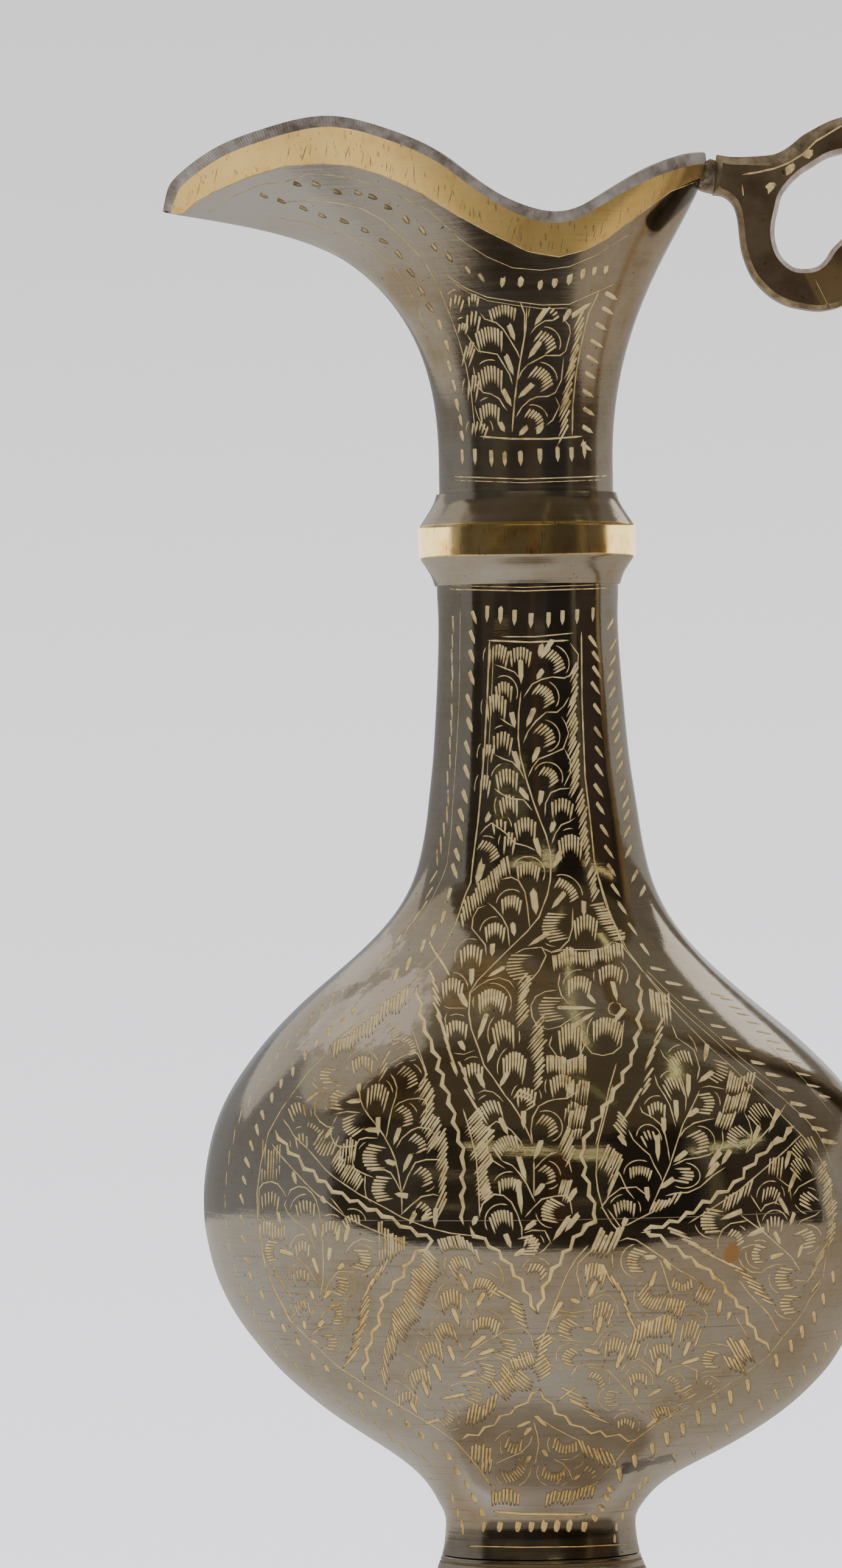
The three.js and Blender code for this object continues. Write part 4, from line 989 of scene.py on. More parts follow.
for a in [(860, 1825, 860, 1856), (889, 1875, 876, 1907), (892, 1946, 877, 1966), (879, 2007, 860, 2022),
          (822, 1837, 835, 1866), (852, 1900, 865, 1942), (851, 1940, 857, 1997), (830, 2027, 840, 2052),
          (945, 1955, 931, 1977), (935, 2000, 907, 2040), (950, 1995, 927, 2025), (860, 2054, 842, 2065),
          (756, 2094, 771, 2124), (744, 2150, 755, 2180), (737, 2211, 747, 2240), (712, 2241, 726, 2272),
          (695, 2270, 704, 2297), (675, 2305, 686, 2326), (796, 2195, 770, 2217), (810, 2217, 782, 2227),
          (781, 2252, 751, 2264), (761, 2290, 721, 2299), (720, 2332, 695, 2340), (794, 2125, 782, 2150),
          (871, 2345, 860, 2360), (979, 2105, 965, 2135), (987, 2164, 980, 2195), (922, 2139, 902, 2172),
          (940, 2135, 954, 2141), (962, 2182, 977, 2186), (961, 2217, 990, 2225), (1019, 2227, 1012, 2251),
          (1084, 2232, 1079, 2264), (1132, 2205, 1122, 2232), (1184, 2135, 1179, 2165), (1199, 2156, 1194, 2172),
          (1147, 2232, 1115, 2242), (1086, 2282, 1060, 2297), (1045, 2281, 1044, 2296), (1077, 2332, 1060, 2347),
          (1060, 2066, 1081, 2065), (1069, 2112, 1079, 2084), (1092, 2070, 1104, 2090), (864, 2403, 873, 2388),
          (892, 2382, 900, 2395), (944, 2430, 954, 2422), (1029, 2001, 1022, 2017), (870, 2335, 846, 2346),
          (880, 2326, 900, 2346)]:
    leaf(B, *a)
for p in [
    [(782, 1797), (795, 1791), (810, 1794), (820, 1802), (827, 1811)],
    [(875, 1880), (872, 1857), (875, 1835), (885, 1817), (900, 1809), (912, 1806), (932, 1804), (950, 1792)],
    [(800, 1900), (800, 1867), (805, 1850), (815, 1842), (825, 1846), (840, 1857), (855, 1875), (865, 1897)],
    [(800, 1890), (810, 1907), (830, 1920)],
    [(822, 1906), (842, 1915), (855, 1930), (865, 1945), (879, 1975)],
    [(877, 1922), (890, 1907), (905, 1895), (917, 1892)],
    [(877, 1905), (877, 1922), (877, 1965)],
    [(787, 1997), (792, 1980), (800, 1967), (812, 1962), (827, 1964), (840, 1975), (850, 1995), (857, 2017), (857, 2035)],
    [(862, 2000), (875, 1985), (890, 1970), (912, 1965), (930, 1964), (937, 1975), (940, 1995)],
    [(922, 1902), (935, 1910), (939, 1927)],
    [(860, 2026), (875, 2021), (895, 2022), (900, 2032), (906, 2045)],
    [(805, 2070), (820, 2080), (827, 2097), (825, 2115)],
    [(782, 2180), (782, 2150)],
    [(762, 2125), (775, 2160)],
    [(752, 2200), (760, 2222)],
    [(757, 2237), (777, 2217), (805, 2200), (832, 2185), (860, 2182), (872, 2195), (879, 2222)],
    [(752, 2247), (772, 2237), (800, 2230), (820, 2231), (834, 2240), (835, 2257), (825, 2270), (810, 2275)],
    [(837, 2237), (860, 2232), (875, 2225)],
    [(732, 2280), (760, 2270), (785, 2272), (810, 2275)],
    [(745, 2302), (767, 2317)],
    [(735, 2352), (760, 2345)],
    [(810, 2370), (822, 2357), (842, 2347)],
    [(987, 2042), (965, 2060), (950, 2075), (947, 2092), (952, 2112), (956, 2137)],
    [(967, 2045), (947, 2067), (932, 2092), (920, 2120), (910, 2145), (900, 2175), (890, 2205), (882, 2227)],
    [(910, 2152), (940, 2157), (977, 2152)],
    [(902, 2170), (922, 2160), (960, 2165)],
    [(965, 2135), (980, 2122), (1000, 2120)],
    [(897, 2193), (915, 2202), (940, 2202), (960, 2206), (975, 2210), (985, 2195), (1000, 2180), (1025, 2171)],
    [(892, 2227), (902, 2242), (920, 2249), (950, 2252)],
    [(935, 2265), (947, 2245), (970, 2241), (992, 2245)],
    [(1017, 2257), (1027, 2242), (1050, 2232), (1067, 2245), (1080, 2262)],
    [(1080, 2264), (1095, 2250), (1122, 2242), (1145, 2252), (1144, 2272)],
    [(1025, 2137), (1030, 2152), (1045, 2167), (1060, 2177), (1080, 2165), (1102, 2157)],
    [(1110, 2162), (1125, 2145), (1142, 2135)],
    [(1150, 2142), (1162, 2160), (1157, 2182)],
    [(1082, 2066), (1090, 2085), (1097, 2110), (1105, 2132)],
    [(1005, 2057), (1007, 2087)],
    [(1015, 2040), (1030, 2034), (1045, 2037), (1065, 2050), (1090, 2067), (1112, 2085), (1135, 2097), (1155, 2110)],
    [(1142, 2215), (1172, 2207), (1202, 2212)],
    [(1145, 2256), (1172, 2252), (1190, 2254)],
    [(960, 2245), (1000, 2252), (1032, 2287), (1050, 2312), (1057, 2322)],
    [(1010, 2317), (1030, 2315), (1047, 2325)],
    [(810, 2407), (830, 2397), (855, 2387), (870, 2372), (875, 2355)],
    [(802, 2432), (815, 2449)],
    [(875, 2330), (882, 2355), (885, 2372), (880, 2400), (877, 2410)],
    [(905, 2395), (925, 2405), (935, 2417), (942, 2435)],
    [(962, 2396), (955, 2407), (940, 2416)],
    [(951, 2446), (975, 2440), (985, 2432)],
    [(912, 2442), (922, 2427), (929, 2410)],
    [(880, 2327), (912, 2347), (937, 2360), (952, 2367)],
    [(1007, 1780), (995, 1830), (982, 1880), (979, 1930), (982, 1955), (990, 1985), (1005, 2010), (1022, 2030)],
    [(985, 1987), (1000, 1967), (1020, 1952), (1045, 1950), (1064, 1965)],
    [(997, 1985), (1022, 2020)],
    [(1025, 2015), (1050, 2002), (1080, 1987)],
    [(760, 1820), (772, 1860), (782, 1900), (786, 1950), (788, 2000)],
    [(1013, 1745), (1000, 1790), (990, 1835), (978, 1882)],
    [(880, 2062), (893, 2054), (905, 2040)],
]:
    line(B, p, 2.8)
line(B, [(810, 2483), (860, 2487), (964, 2488)], 7, 0.1)
line(B, [(809, 2490), (880, 2493), (950, 2492)], 2.4, 0.05)
for x, w in [(794, 8), (820, 11), (850, 11), (872, 10), (893, 11), (914, 11), (934, 11), (959, 12)]:
    wedge(B, x + 2, 2501, x - 1, 2517, w, 0.22, 0.5)
line(B, [(768, 2540), (860, 2542), (950, 2541), (1035, 2537)], 2.4, 0.08, (1, 1))
for x, y in [(743, 2459), (752, 2483), (758, 2502), (760, 2512)]:
    wedge(B, x, y + 8, x, y - 8, 7, 0.16, 0.3)
for x, y in [(1003, 2445), (997, 2459), (988, 2476), (977, 2492)]:
    wedge(B, x + 3, y + 5, x - 5, y - 4, 10, 0.2, 0.4)
for x, y in [(1062, 2430), (1052, 2440), (1041, 2456), (1031, 2471), (1023, 2490), (1013, 2508), (1010, 2527)]:
    wedge(B, x, y + 7, x, y - 7, 7.5, 0.18, 0.3)

# ------------------------------------------------------------------------------------------
# Ornament of the belly: right compartments
# ------------------------------------------------------------------------------------------
for b, k, lean in [
    ((1104, 1134, 1725, 1755), "d", -0.2), ((1092, 1119, 1767, 1802), "d", -0.2), ((1066, 1092, 1809, 1834), "d", 0.0),
    ((1165, 1196, 1744, 1777), "r", 0.2), ((1147, 1174, 1797, 1829), "r", 0.0), ((1135, 1165, 1859, 1892), "r", -0.2),
    ((1055, 1075, 1856, 1880), "d", -0.2), ((1195, 1225, 1850, 1882), "d", -0.5), ((1232, 1262, 1811, 1849), "d", -0.4),
    ((1035, 1069, 1915, 1937), "d", 0.0), ((1110, 1141, 1920, 1942), "r", 0.0), ((1010, 1042, 1971, 1997), "d", 0.0),
    ((1254, 1279, 1949, 1975), "d", 0.1), ((1300, 1340, 1870, 1900), "d", -0.3), ((1301, 1326, 1901, 1934), "d", -0.4),
    ((1315, 1337, 1957, 1986), "d", -0.5), ((1261, 1285, 1997, 2024), "d", 0.0), ((1310, 1341, 2021, 2049), "r", -0.2),
    ((1150, 1184, 1987, 2024), "l", 0.0), ((1195, 1224, 2017, 2047), "d", 0.5), ((1234, 1255, 2047, 2074), "l", 0.0),
    ((1272, 1304, 2084, 2117), "l", 0.0), ((1280, 1311, 2129, 2157), "l", 0.0),
]:
    fan(B, *b, k, lean)
hatch(B, [(1070, 1650), (1100, 1655)], 46, 96)
hatch(B, [(1084, 1684), (1080, 1712)], 26, 62)
hatch(B, [(1072, 1722), (1062, 1760)], 30, 62)
hatch(B, [(1064, 1768), (1062, 1792)], 24, 56)
hatch(B, [(1046, 1802), (1024, 1840)], 34, 56)
hatch(B, [(1026, 1838), (1016, 1856)], 26, 130)
hatch(B, [(992, 1900), (1012, 1925), (1000, 1962)], 42, 66)
hatch(B, [(1070, 1985), (1092, 1978), (1115, 1968)], 22, 60)
hatch(B, [(1196, 1780), (1236, 1780)], 30, 78)
hatch(B, [(1192, 1812), (1228, 1814)], 30, 74)
hatch(B, [(1178, 1838), (1204, 1842)], 26, 70)
hatch(B, [(1174, 1898), (1164, 1926)], 30, 58)
hatch(B, [(1264, 1920), (1286, 1918)], 30, 84)
hatch(B, [(1190, 1978), (1214, 1966), (1234, 1950)], 26, 74)
hatch(B, [(1348, 1916), (1356, 1945), (1364, 1985), (1366, 2020), (1360, 2050)], 26, 52)
hatch(B, [(1350, 2056), (1332, 2100)], 38, 56)
hatch(B, [(1344, 2108), (1330, 2128)], 24, 56)
hatch(B, [(1112, 2022), (1134, 2040), (1160, 2056)], 34, 160)
hatch(B, [(1160, 2058), (1186, 2072), (1214, 2084)], 28, 152)
hatch(B, [(1214, 2084), (1240, 2110), (1262, 2140)], (36, 30), 155)
for a in [(1110, 1807, 1112, 1845), (1131, 1765, 1130, 1805), (1080, 1865, 1081, 1910), (1090, 1836, 1091, 1865),
          (1146, 1822, 1127, 1836), (1127, 1892, 1105, 1910), (1107, 1936, 1082, 1954), (1062, 1950, 1065, 1975),
          (1171, 1760, 1146, 1779), (1162, 1715, 1157, 1745), (1247, 1850, 1235, 1880), (1279, 1822, 1262, 1862),
          (1307, 1927, 1294, 1960), (1281, 1970, 1297, 1998), (1200, 1889, 1184, 1915), (1017, 1865, 1030, 1884),
          (1297, 1892, 1289, 1922), (1285, 1872, 1272, 1873), (1305, 1992, 1297, 2015), (1272, 2024, 1284, 2047),
          (1317, 2047, 1310, 2070), (1255, 2019, 1225, 2032), (1219, 1989, 1182, 2004), (1266, 2066, 1291, 2059),
          (1180, 1910, 1159, 1935), (1184, 1892, 1164, 1915)]:
    leaf(B, *a)
for p in [
    [(1102, 1680), (1112, 1705), (1130, 1717), (1140, 1725), (1145, 1740), (1149, 1755), (1145, 1775)],
    [(1129, 1697), (1140, 1712), (1146, 1730)],
    [(1084, 1722), (1090, 1735), (1105, 1750), (1116, 1765), (1122, 1780), (1127, 1805), (1126, 1825)],
    [(1075, 1765), (1080, 1782), (1092, 1800), (1100, 1815), (1105, 1832), (1110, 1851)],
    [(1050, 1815), (1055, 1827), (1072, 1836), (1085, 1847), (1092, 1862), (1097, 1885), (1100, 1907)],
    [(1032, 1855), (1040, 1872), (1055, 1887), (1067, 1897), (1075, 1915), (1085, 1932), (1087, 1940)],
    [(1015, 1922), (1022, 1937), (1030, 1955), (1042, 1970)],
    [(1065, 1995), (1075, 1972), (1087, 1945), (1100, 1915), (1112, 1877), (1122, 1847), (1135, 1822), (1150, 1790)],
    [(1115, 1870), (1125, 1855), (1140, 1845), (1160, 1840), (1175, 1837)],
    [(1105, 1915), (1125, 1905), (1150, 1901), (1165, 1897), (1175, 1890)],
    [(1092, 1965), (1110, 1960), (1130, 1959), (1150, 1950), (1170, 1932), (1192, 1917)],
    [(1150, 1787), (1165, 1784), (1180, 1787), (1192, 1790)],
    [(1186, 1855), (1188, 1875), (1182, 1892)],
    [(1222, 1827), (1230, 1842), (1235, 1860), (1232, 1877), (1225, 1895)],
    [(1225, 1895), (1242, 1877), (1262, 1855), (1280, 1832), (1292, 1812)],
    [(1232, 1962), (1250, 1990), (1257, 1980), (1272, 1975), (1282, 1980)],
    [(1300, 1972), (1297, 1950), (1277, 1935)],
    [(1302, 1965), (1312, 1950), (1330, 1940), (1347, 1932)],
    [(1242, 1990), (1245, 2005), (1252, 2022)],
    [(1307, 2017), (1317, 2005), (1340, 1996), (1350, 1987)],
    [(1180, 2057), (1179, 2037), (1187, 2020), (1200, 2010), (1230, 2005)],
    [(1215, 2057), (1220, 2050), (1235, 2045), (1252, 2045)],
    [(1212, 2065), (1220, 2080), (1235, 2090), (1252, 2091), (1257, 2085), (1275, 2077), (1290, 2080)],
    [(1215, 1995), (1252, 2022), (1280, 2047), (1300, 2065), (1317, 2092)],
    [(1300, 2103), (1328, 2105)],
    [(1212, 2100), (1230, 2125), (1250, 2145), (1265, 2162), (1277, 2185), (1282, 2195)],
    [(1205, 2157), (1217, 2177), (1230, 2200)],
    [(1130, 2010), (1170, 1985), (1215, 1955), (1250, 1925), (1290, 1890), (1318, 1862)],
    [(1052, 2025), (1062, 2024), (1070, 2022)],
]:
    line(B, p, 2.8)
# thick leading strokes of the ribbon's knots
for x0, y0, x1, y1 in [(1280, 1868, 1268, 1878), (1300, 1855, 1286, 1869)]:
    wedge(B, x0, y0, x1, y1, 7, 0.16)

# ------------------------------------------------------------------------------------------
# Marks on the handle's near face
# ------------------------------------------------------------------------------------------
H = "handle"
line(H, [(1218, 287), (1244, 283), (1271, 277), (1292, 269), (1318, 254), (1340, 232), (1383, 206),
         (1430, 192), (1480, 196), (1515, 222), (1535, 262), (1543, 320), (1546, 420)], 3.6, 0.14)
line(H, [(1337, 455), (1358, 497), (1368, 520)], 1.6, 0.03)
line(H, [(1219, 302), (1221, 322)], 3.0, 0.1)
for x, y in [(1266, 306), (1299, 276), (1329, 252)]:
    wedge(H, x - 5, y + 5, x + 6, y - 6, 13, 0.35)

outline_fans()


# ------------------------------------------------------------------------------------------
# Cutting the strokes into a surface
# ------------------------------------------------------------------------------------------
def carve(surface, items, points, edges, drawn_lines=()):
    """Triangulates a surface patch round its strokes.

    points are the plain surface's own (u, v), the rest of the arguments lines that the triangles
    must keep. Returns the (u, v) of every corner, the triangles, each corner's depth and
    whether each triangle lies in a stroke.
    """
    lo, hi = np.array(surface.lo), np.array(surface.hi)
    flat = np.array([p for s in items for p in s[0]], float)
    uv_all = surface.find(flat) if len(flat) else np.zeros((0, 2))
    wid = np.array([w for s in items for w in s[1]], float)
    dep = np.array([d for s in items for d in s[2]], float)
    sizes = [len(s[0]) for s in items]
    starts = np.concatenate([[0], np.cumsum(sizes)]).astype(int)
    xyz = surface.place(uv_all)
    pu, pv, n = surface.frame(uv_all)
    way = np.zeros_like(xyz)
    for a, b in zip(starts[:-1], starts[1:]):
        p = xyz[a:b]
        d = np.diff(p, axis=0)
        d /= np.linalg.norm(d, axis=1)[:, None] + 1e-9
        way[a] = d[0]
        way[b - 1] = d[-1]
        if b - a > 2:
            m = d[:-1] + d[1:]
            m /= np.linalg.norm(m, axis=1)[:, None] + 1e-9
            way[a + 1 : b - 1] = m
    side = np.cross(n, way)
    side /= np.linalg.norm(side, axis=1)[:, None] + 1e-9
    e, f, g = (pu * pu).sum(1), (pu * pv).sum(1), (pv * pv).sum(1)
    su, sv = (pu * side).sum(1), (pv * side).sum(1)
    det = e * g - f * f + 1e-12
    step = np.stack([(g * su - f * sv) / det, (e * sv - f * su) / det], 1)
    left = uv_all + step * wid[:, None]
    right = uv_all - step * wid[:, None]
    miss = np.linalg.norm(project(xyz) - flat, axis=1) if len(flat) else np.zeros(0)

    cad_pts = [tuple(p) for p in points]
    cad_edges = list(edges)
    segs = []
    margin = np.array([0.5, 0.25])
    for a, b in zip(starts[:-1], starts[1:]):
        ok = miss[a:b] < 3.0
        box = uv_all[a:b]
        ok &= ((box > lo + margin) & (box < hi - margin)).all(1)
        if not ok.all():
            # keep the longest run that lies on the surface, for a line that leaves it
            if b - a < 6:
                continue
            runs, k = [], a
            while k < b:
                if ok[k - a]:
                    j = k
                    while j < b and ok[j - a]:
                        j += 1
                    runs.append((k, j))
                    k = j
                else:
                    k += 1
            if not runs:
                continue
            a, b = max(runs, key=lambda r: r[1] - r[0])
            if b - a < 3:
                continue
        m = b - a
        base = len(cad_pts)
        ids_l, ids_r, ids_c = [], [], []
        for k in range(a, b):
            if wid[k] > 0.012:
                l = np.clip(left[k], lo + 0.05, hi - 0.05)
                r = np.clip(right[k], lo + 0.05, hi - 0.05)
                ids_l.append(len(cad_pts))
                cad_pts.append((l[0], l[1]))
                ids_r.append(len(cad_pts))
                cad_pts.append((r[0], r[1]))
                ids_c.append(len(cad_pts))
                cad_pts.append((uv_all[k, 0], uv_all[k, 1]))
            else:
                c = len(cad_pts)
                cad_pts.append((uv_all[k, 0], uv_all[k, 1]))
                ids_l.append(c)
                ids_r.append(c)
                ids_c.append(c)
        loop = ids_l + ids_r[::-1]
        for p, q in zip(loop, loop[1:] + loop[:1]):
            if p != q:
                cad_edges.append((p, q))
        for p, q in zip(ids_c, ids_c[1:]):
            cad_edges.append((p, q))
        for k in range(a, b - 1):
            segs.append((k, k + 1, k > a, k + 1 < b - 1))
    for drawn in drawn_lines:
        q = surface.find(np.array(drawn, float))
        first = len(cad_pts)
        cad_pts += [tuple(p) for p in q]
        cad_edges += [(first + i, first + i + 1) for i in range(len(q) - 1)]

    out = delaunay_2d_cdt([Vector(p) for p in cad_pts], cad_edges, [], 0, 1e-4, False)
    uv = np.array([tuple(p) for p in out[0]], float)
    tris = np.array([tuple(t) for t in out[2]], int)
    a, b, c = uv[tris[:, 0]], uv[tris[:, 1]], uv[tris[:, 2]]
    area = (b[:, 0] - a[:, 0]) * (c[:, 1] - a[:, 1]) - (b[:, 1] - a[:, 1]) * (c[:, 0] - a[:, 0])
    turn = area < 0
    tris[turn] = tris[turn][:, ::-1]
    tris = tris[np.abs(area) > 1e-7]

    def depth_at(q):
        xyz_q = surface.place(q)
        _, _, n_q = surface.frame(q)
        cell = 3.0
        key = np.floor(q / cell).astype(int)
        book = {}
        for i, k in enumerate(map(tuple, key)):
            book.setdefault(k, []).append(i)
        book = {k: np.array(v) for k, v in book.items()}
        best = np.zeros(len(q))
        for i, j, round_a, round_b in segs:
            corners = np.array([left[i], right[i], left[j], right[j]])
            k0 = np.floor((corners.min(0) - 0.3) / cell).astype(int)
            k1 = np.floor((corners.max(0) + 0.3) / cell).astype(int)
            near = [
                book[(x, y)]
                for x in range(k0[0], k1[0] + 1)
                for y in range(k0[1], k1[1] + 1)
                if (x, y) in book
            ]
            if not near:
                continue
            near = np.concatenate(near) if len(near) > 1 else near[0]
            nn = n_q[near]
            ap = xyz_q[near] - xyz[i]
            ap -= (ap * nn).sum(1)[:, None] * nn
            ab = xyz[j] - xyz[i]
            ab = ab - ab.dot(n[i]) * n[i]
            l2 = ab.dot(ab)
            if l2 < 1e-8:
                continue
            t = ap.dot(ab) / l2
            ok = np.ones(len(t), bool)
            if not round_a:
                ok &= t > -0.01
            if not round_b:
                ok &= t < 1.01
            tc = np.clip(t, 0, 1)
            d = np.linalg.norm(ap - tc[:, None] * ab, axis=1)
            w = wid[i] + (wid[j] - wid[i]) * tc
            h = (dep[i] + (dep[j] - dep[i]) * tc) * (1 - d / np.maximum(w, 1e-4))
            h[~ok] = 0
            best[near] = np.maximum(best[near], h)
        return best

    corner_depth = depth_at(uv)
    middle = (uv[tris[:, 0]] + uv[tris[:, 1]] + uv[tris[:, 2]]) / 3
    cut = depth_at(middle) > 0.0025
    corner_depth[corner_depth < 0.0015] = 0
    return uv, tris, corner_depth, cut


class Half:
    """Triangles of the near half of a piece, to be mirrored to the far half."""

    GIVEN, FLAT, AUTO = 0, 1, 2

    def __init__(self):
        self.v, self.d, self.n = [], [], 0
        self.t, self.m, self.k, self.c = [], [], [], []

    def points(self, p, deep=None):
        p = np.asarray(p, float).reshape(-1, 3)
        start = self.n
        self.v.append(p)
        self.d.append(np.zeros(len(p)) if deep is None else np.asarray(deep, float))
        self.n += len(p)
        return np.arange(start, self.n)

    def tris(self, t, mat=0, kind=AUTO, corners=None):
        t = np.asarray(t, int).reshape(-1, 3)
        if not len(t):
            return
        self.t.append(t)
        self.m.append(np.full(len(t), mat) if np.isscalar(mat) else np.asarray(mat))
        self.k.append(np.full(len(t), kind) if np.isscalar(kind) else np.asarray(kind))
        self.c.append(np.zeros((len(t), 3, 3)) if corners is None else corners)

    def sheet(self, ids, mat=0, kind=AUTO):
        """Quads between rows of equally many points; rows go up, columns to the right."""
        for a, b in zip(ids[:-1], ids[1:]):
            t = []
            for i in range(len(a) - 1):
                t += [(a[i], a[i + 1], b[i + 1]), (a[i], b[i + 1], b[i])]
            self.tris(t, mat, kind)

    def strip(self, a, pa, b, pb, mat=0, kind=AUTO):
        """Triangles between a lower row a and an upper row b whose points don't match."""
        i = j = 0
        t = []
        while i < len(a) - 1 or j < len(b) - 1:
            if j >= len(b) - 1 or (i < len(a) - 1 and pa[i + 1] <= pb[j + 1]):
                t.append((a[i], a[i + 1], b[j]))
                i += 1
            else:
                t.append((a[i], b[j + 1], b[j]))
                j += 1
        self.tris(t, mat, kind)

    def build(self, name, materials, mirror=True):
        v, deep = np.concatenate(self.v), np.concatenate(self.d)
        t, m = np.concatenate(self.t), np.concatenate(self.m)
        k, c = np.concatenate(self.k), np.concatenate(self.c)
        if mirror:
            v[np.abs(v[:, 1]) < 1e-6, 1] = 0
            flip = np.array([1, -1, 1.0])
            t = np.concatenate([t, t[:, ::-1] + len(v)])
            v, deep = np.concatenate([v, v * flip]), np.concatenate([deep, deep])
            m, k = np.concatenate([m, m]), np.concatenate([k, k])
            c = np.concatenate([c, c[:, ::-1] * flip])
        v = np.where(v == 0, 0.0, v)
        _, first, back_to = np.unique(np.round(v, 4), axis=0, return_index=True, return_inverse=True)
        back_to = back_to.reshape(-1)
        v, deep = v[first], deep[first]
        t = back_to[t]
        good = (t[:, 0] != t[:, 1]) & (t[:, 1] != t[:, 2]) & (t[:, 0] != t[:, 2])
        t, m, k, c = t[good], m[good], k[good], c[good]
        fn = np.cross(v[t[:, 1]] - v[t[:, 0]], v[t[:, 2]] - v[t[:, 0]])
        size = np.linalg.norm(fn, axis=1)
        unit = fn / (size[:, None] + 1e-12)
        c = c.copy()
        c[k == Half.FLAT] = unit[k == Half.FLAT][:, None, :]
        auto = np.where(k == Half.AUTO)[0]
        if len(auto):
            who = t[auto].reshape(-1)
            face = np.repeat(auto, 3)
            order = np.argsort(who, kind="stable")
            who_s, face_s = who[order], face[order]
            total = unit[face_s] * size[face_s][:, None]
            base = unit[face_s]
            sums = total.copy()
            for shift in range(1, 14):
                same = who_s[shift:] == who_s[:-shift]
                close = (base[shift:] * base[:-shift]).sum(1) > 0.80
                ok = same & close
                sums[shift:][ok] += total[:-shift][ok]
                sums[:-shift][ok] += total[shift:][ok]
            sums /= np.linalg.norm(sums, axis=1)[:, None] + 1e-12
            out = np.empty_like(sums)
            out[order] = sums
            c[auto] = out.reshape(-1, 3, 3)
        me = bpy.data.meshes.new(name)
        me.from_pydata((v * MM).tolist(), [], t.tolist())
        me.polygons.foreach_set("use_smooth", np.ones(len(t), bool))
        me.polygons.foreach_set("material_index", m.astype(np.int32))
        for mat in materials:
            me.materials.append(mat)
        me.attributes.new("deep", "FLOAT", "POINT").data.foreach_set("value", deep.astype(np.float32))
        me.normals_split_custom_set(c.reshape(-1, 3).tolist())
        me.update()
        ob = bpy.data.objects.new(name, me)
        bpy.context.scene.collection.objects.link(ob)
        print(f"{name}: {len(v)} points, {len(t)} triangles", flush=True)
        return ob


COLS = np.radians(np.linspace(-90, 90, 73))


def ring(r, z, cols=COLS, dx=0.0):
    r = np.broadcast_to(r, cols.shape)
    return np.stack([AX + dx + r * np.sin(cols), -r * np.cos(cols), np.full_like(cols, z)], 1)


def border(tris, uv, value, axis=1, near=0.02):
    """Corners along the open edge of a patch that runs at one value of u or v, in order."""
    e = np.sort(np.concatenate([tris[:, [0, 1]], tris[:, [1, 2]], tris[:, [2, 0]]]), axis=1)
    pairs, count = np.unique(e, axis=0, return_counts=True)
    once = pairs[count == 1]
    ok = (np.abs(uv[once][:, :, axis] - value) < near).all(1)
    ids = np.unique(once[ok])
    return ids[np.argsort(uv[ids, 1 - axis])]


# ------------------------------------------------------------------------------------------
# Belly and lower neck
# ------------------------------------------------------------------------------------------
SEAM_Z = 87.0
BODY_Z0, BODY_Z1 = 30.06, 190.5
WALL, LAP = 1.8, 3.2


def body_points(surface):
    us = COLS * Body.SCALE
    v0, v1, vs = surface.lo[1], surface.hi[1], float(s_of_z(SEAM_Z))
    low = np.linspace(v0, vs - 0.08, 64)
    high = np.linspace(vs + 0.08, v1, 92)
    rows = np.concatenate([low, [vs], high])
    pts = [(u, v) for v in rows for u in us]
    n = len(us)
    edges = []
    for k in (len(low) - 1, len(low), len(low) + 1):
        edges += [(k * n + i, k * n + i + 1) for i in range(n - 1)]
    return pts, edges, vs


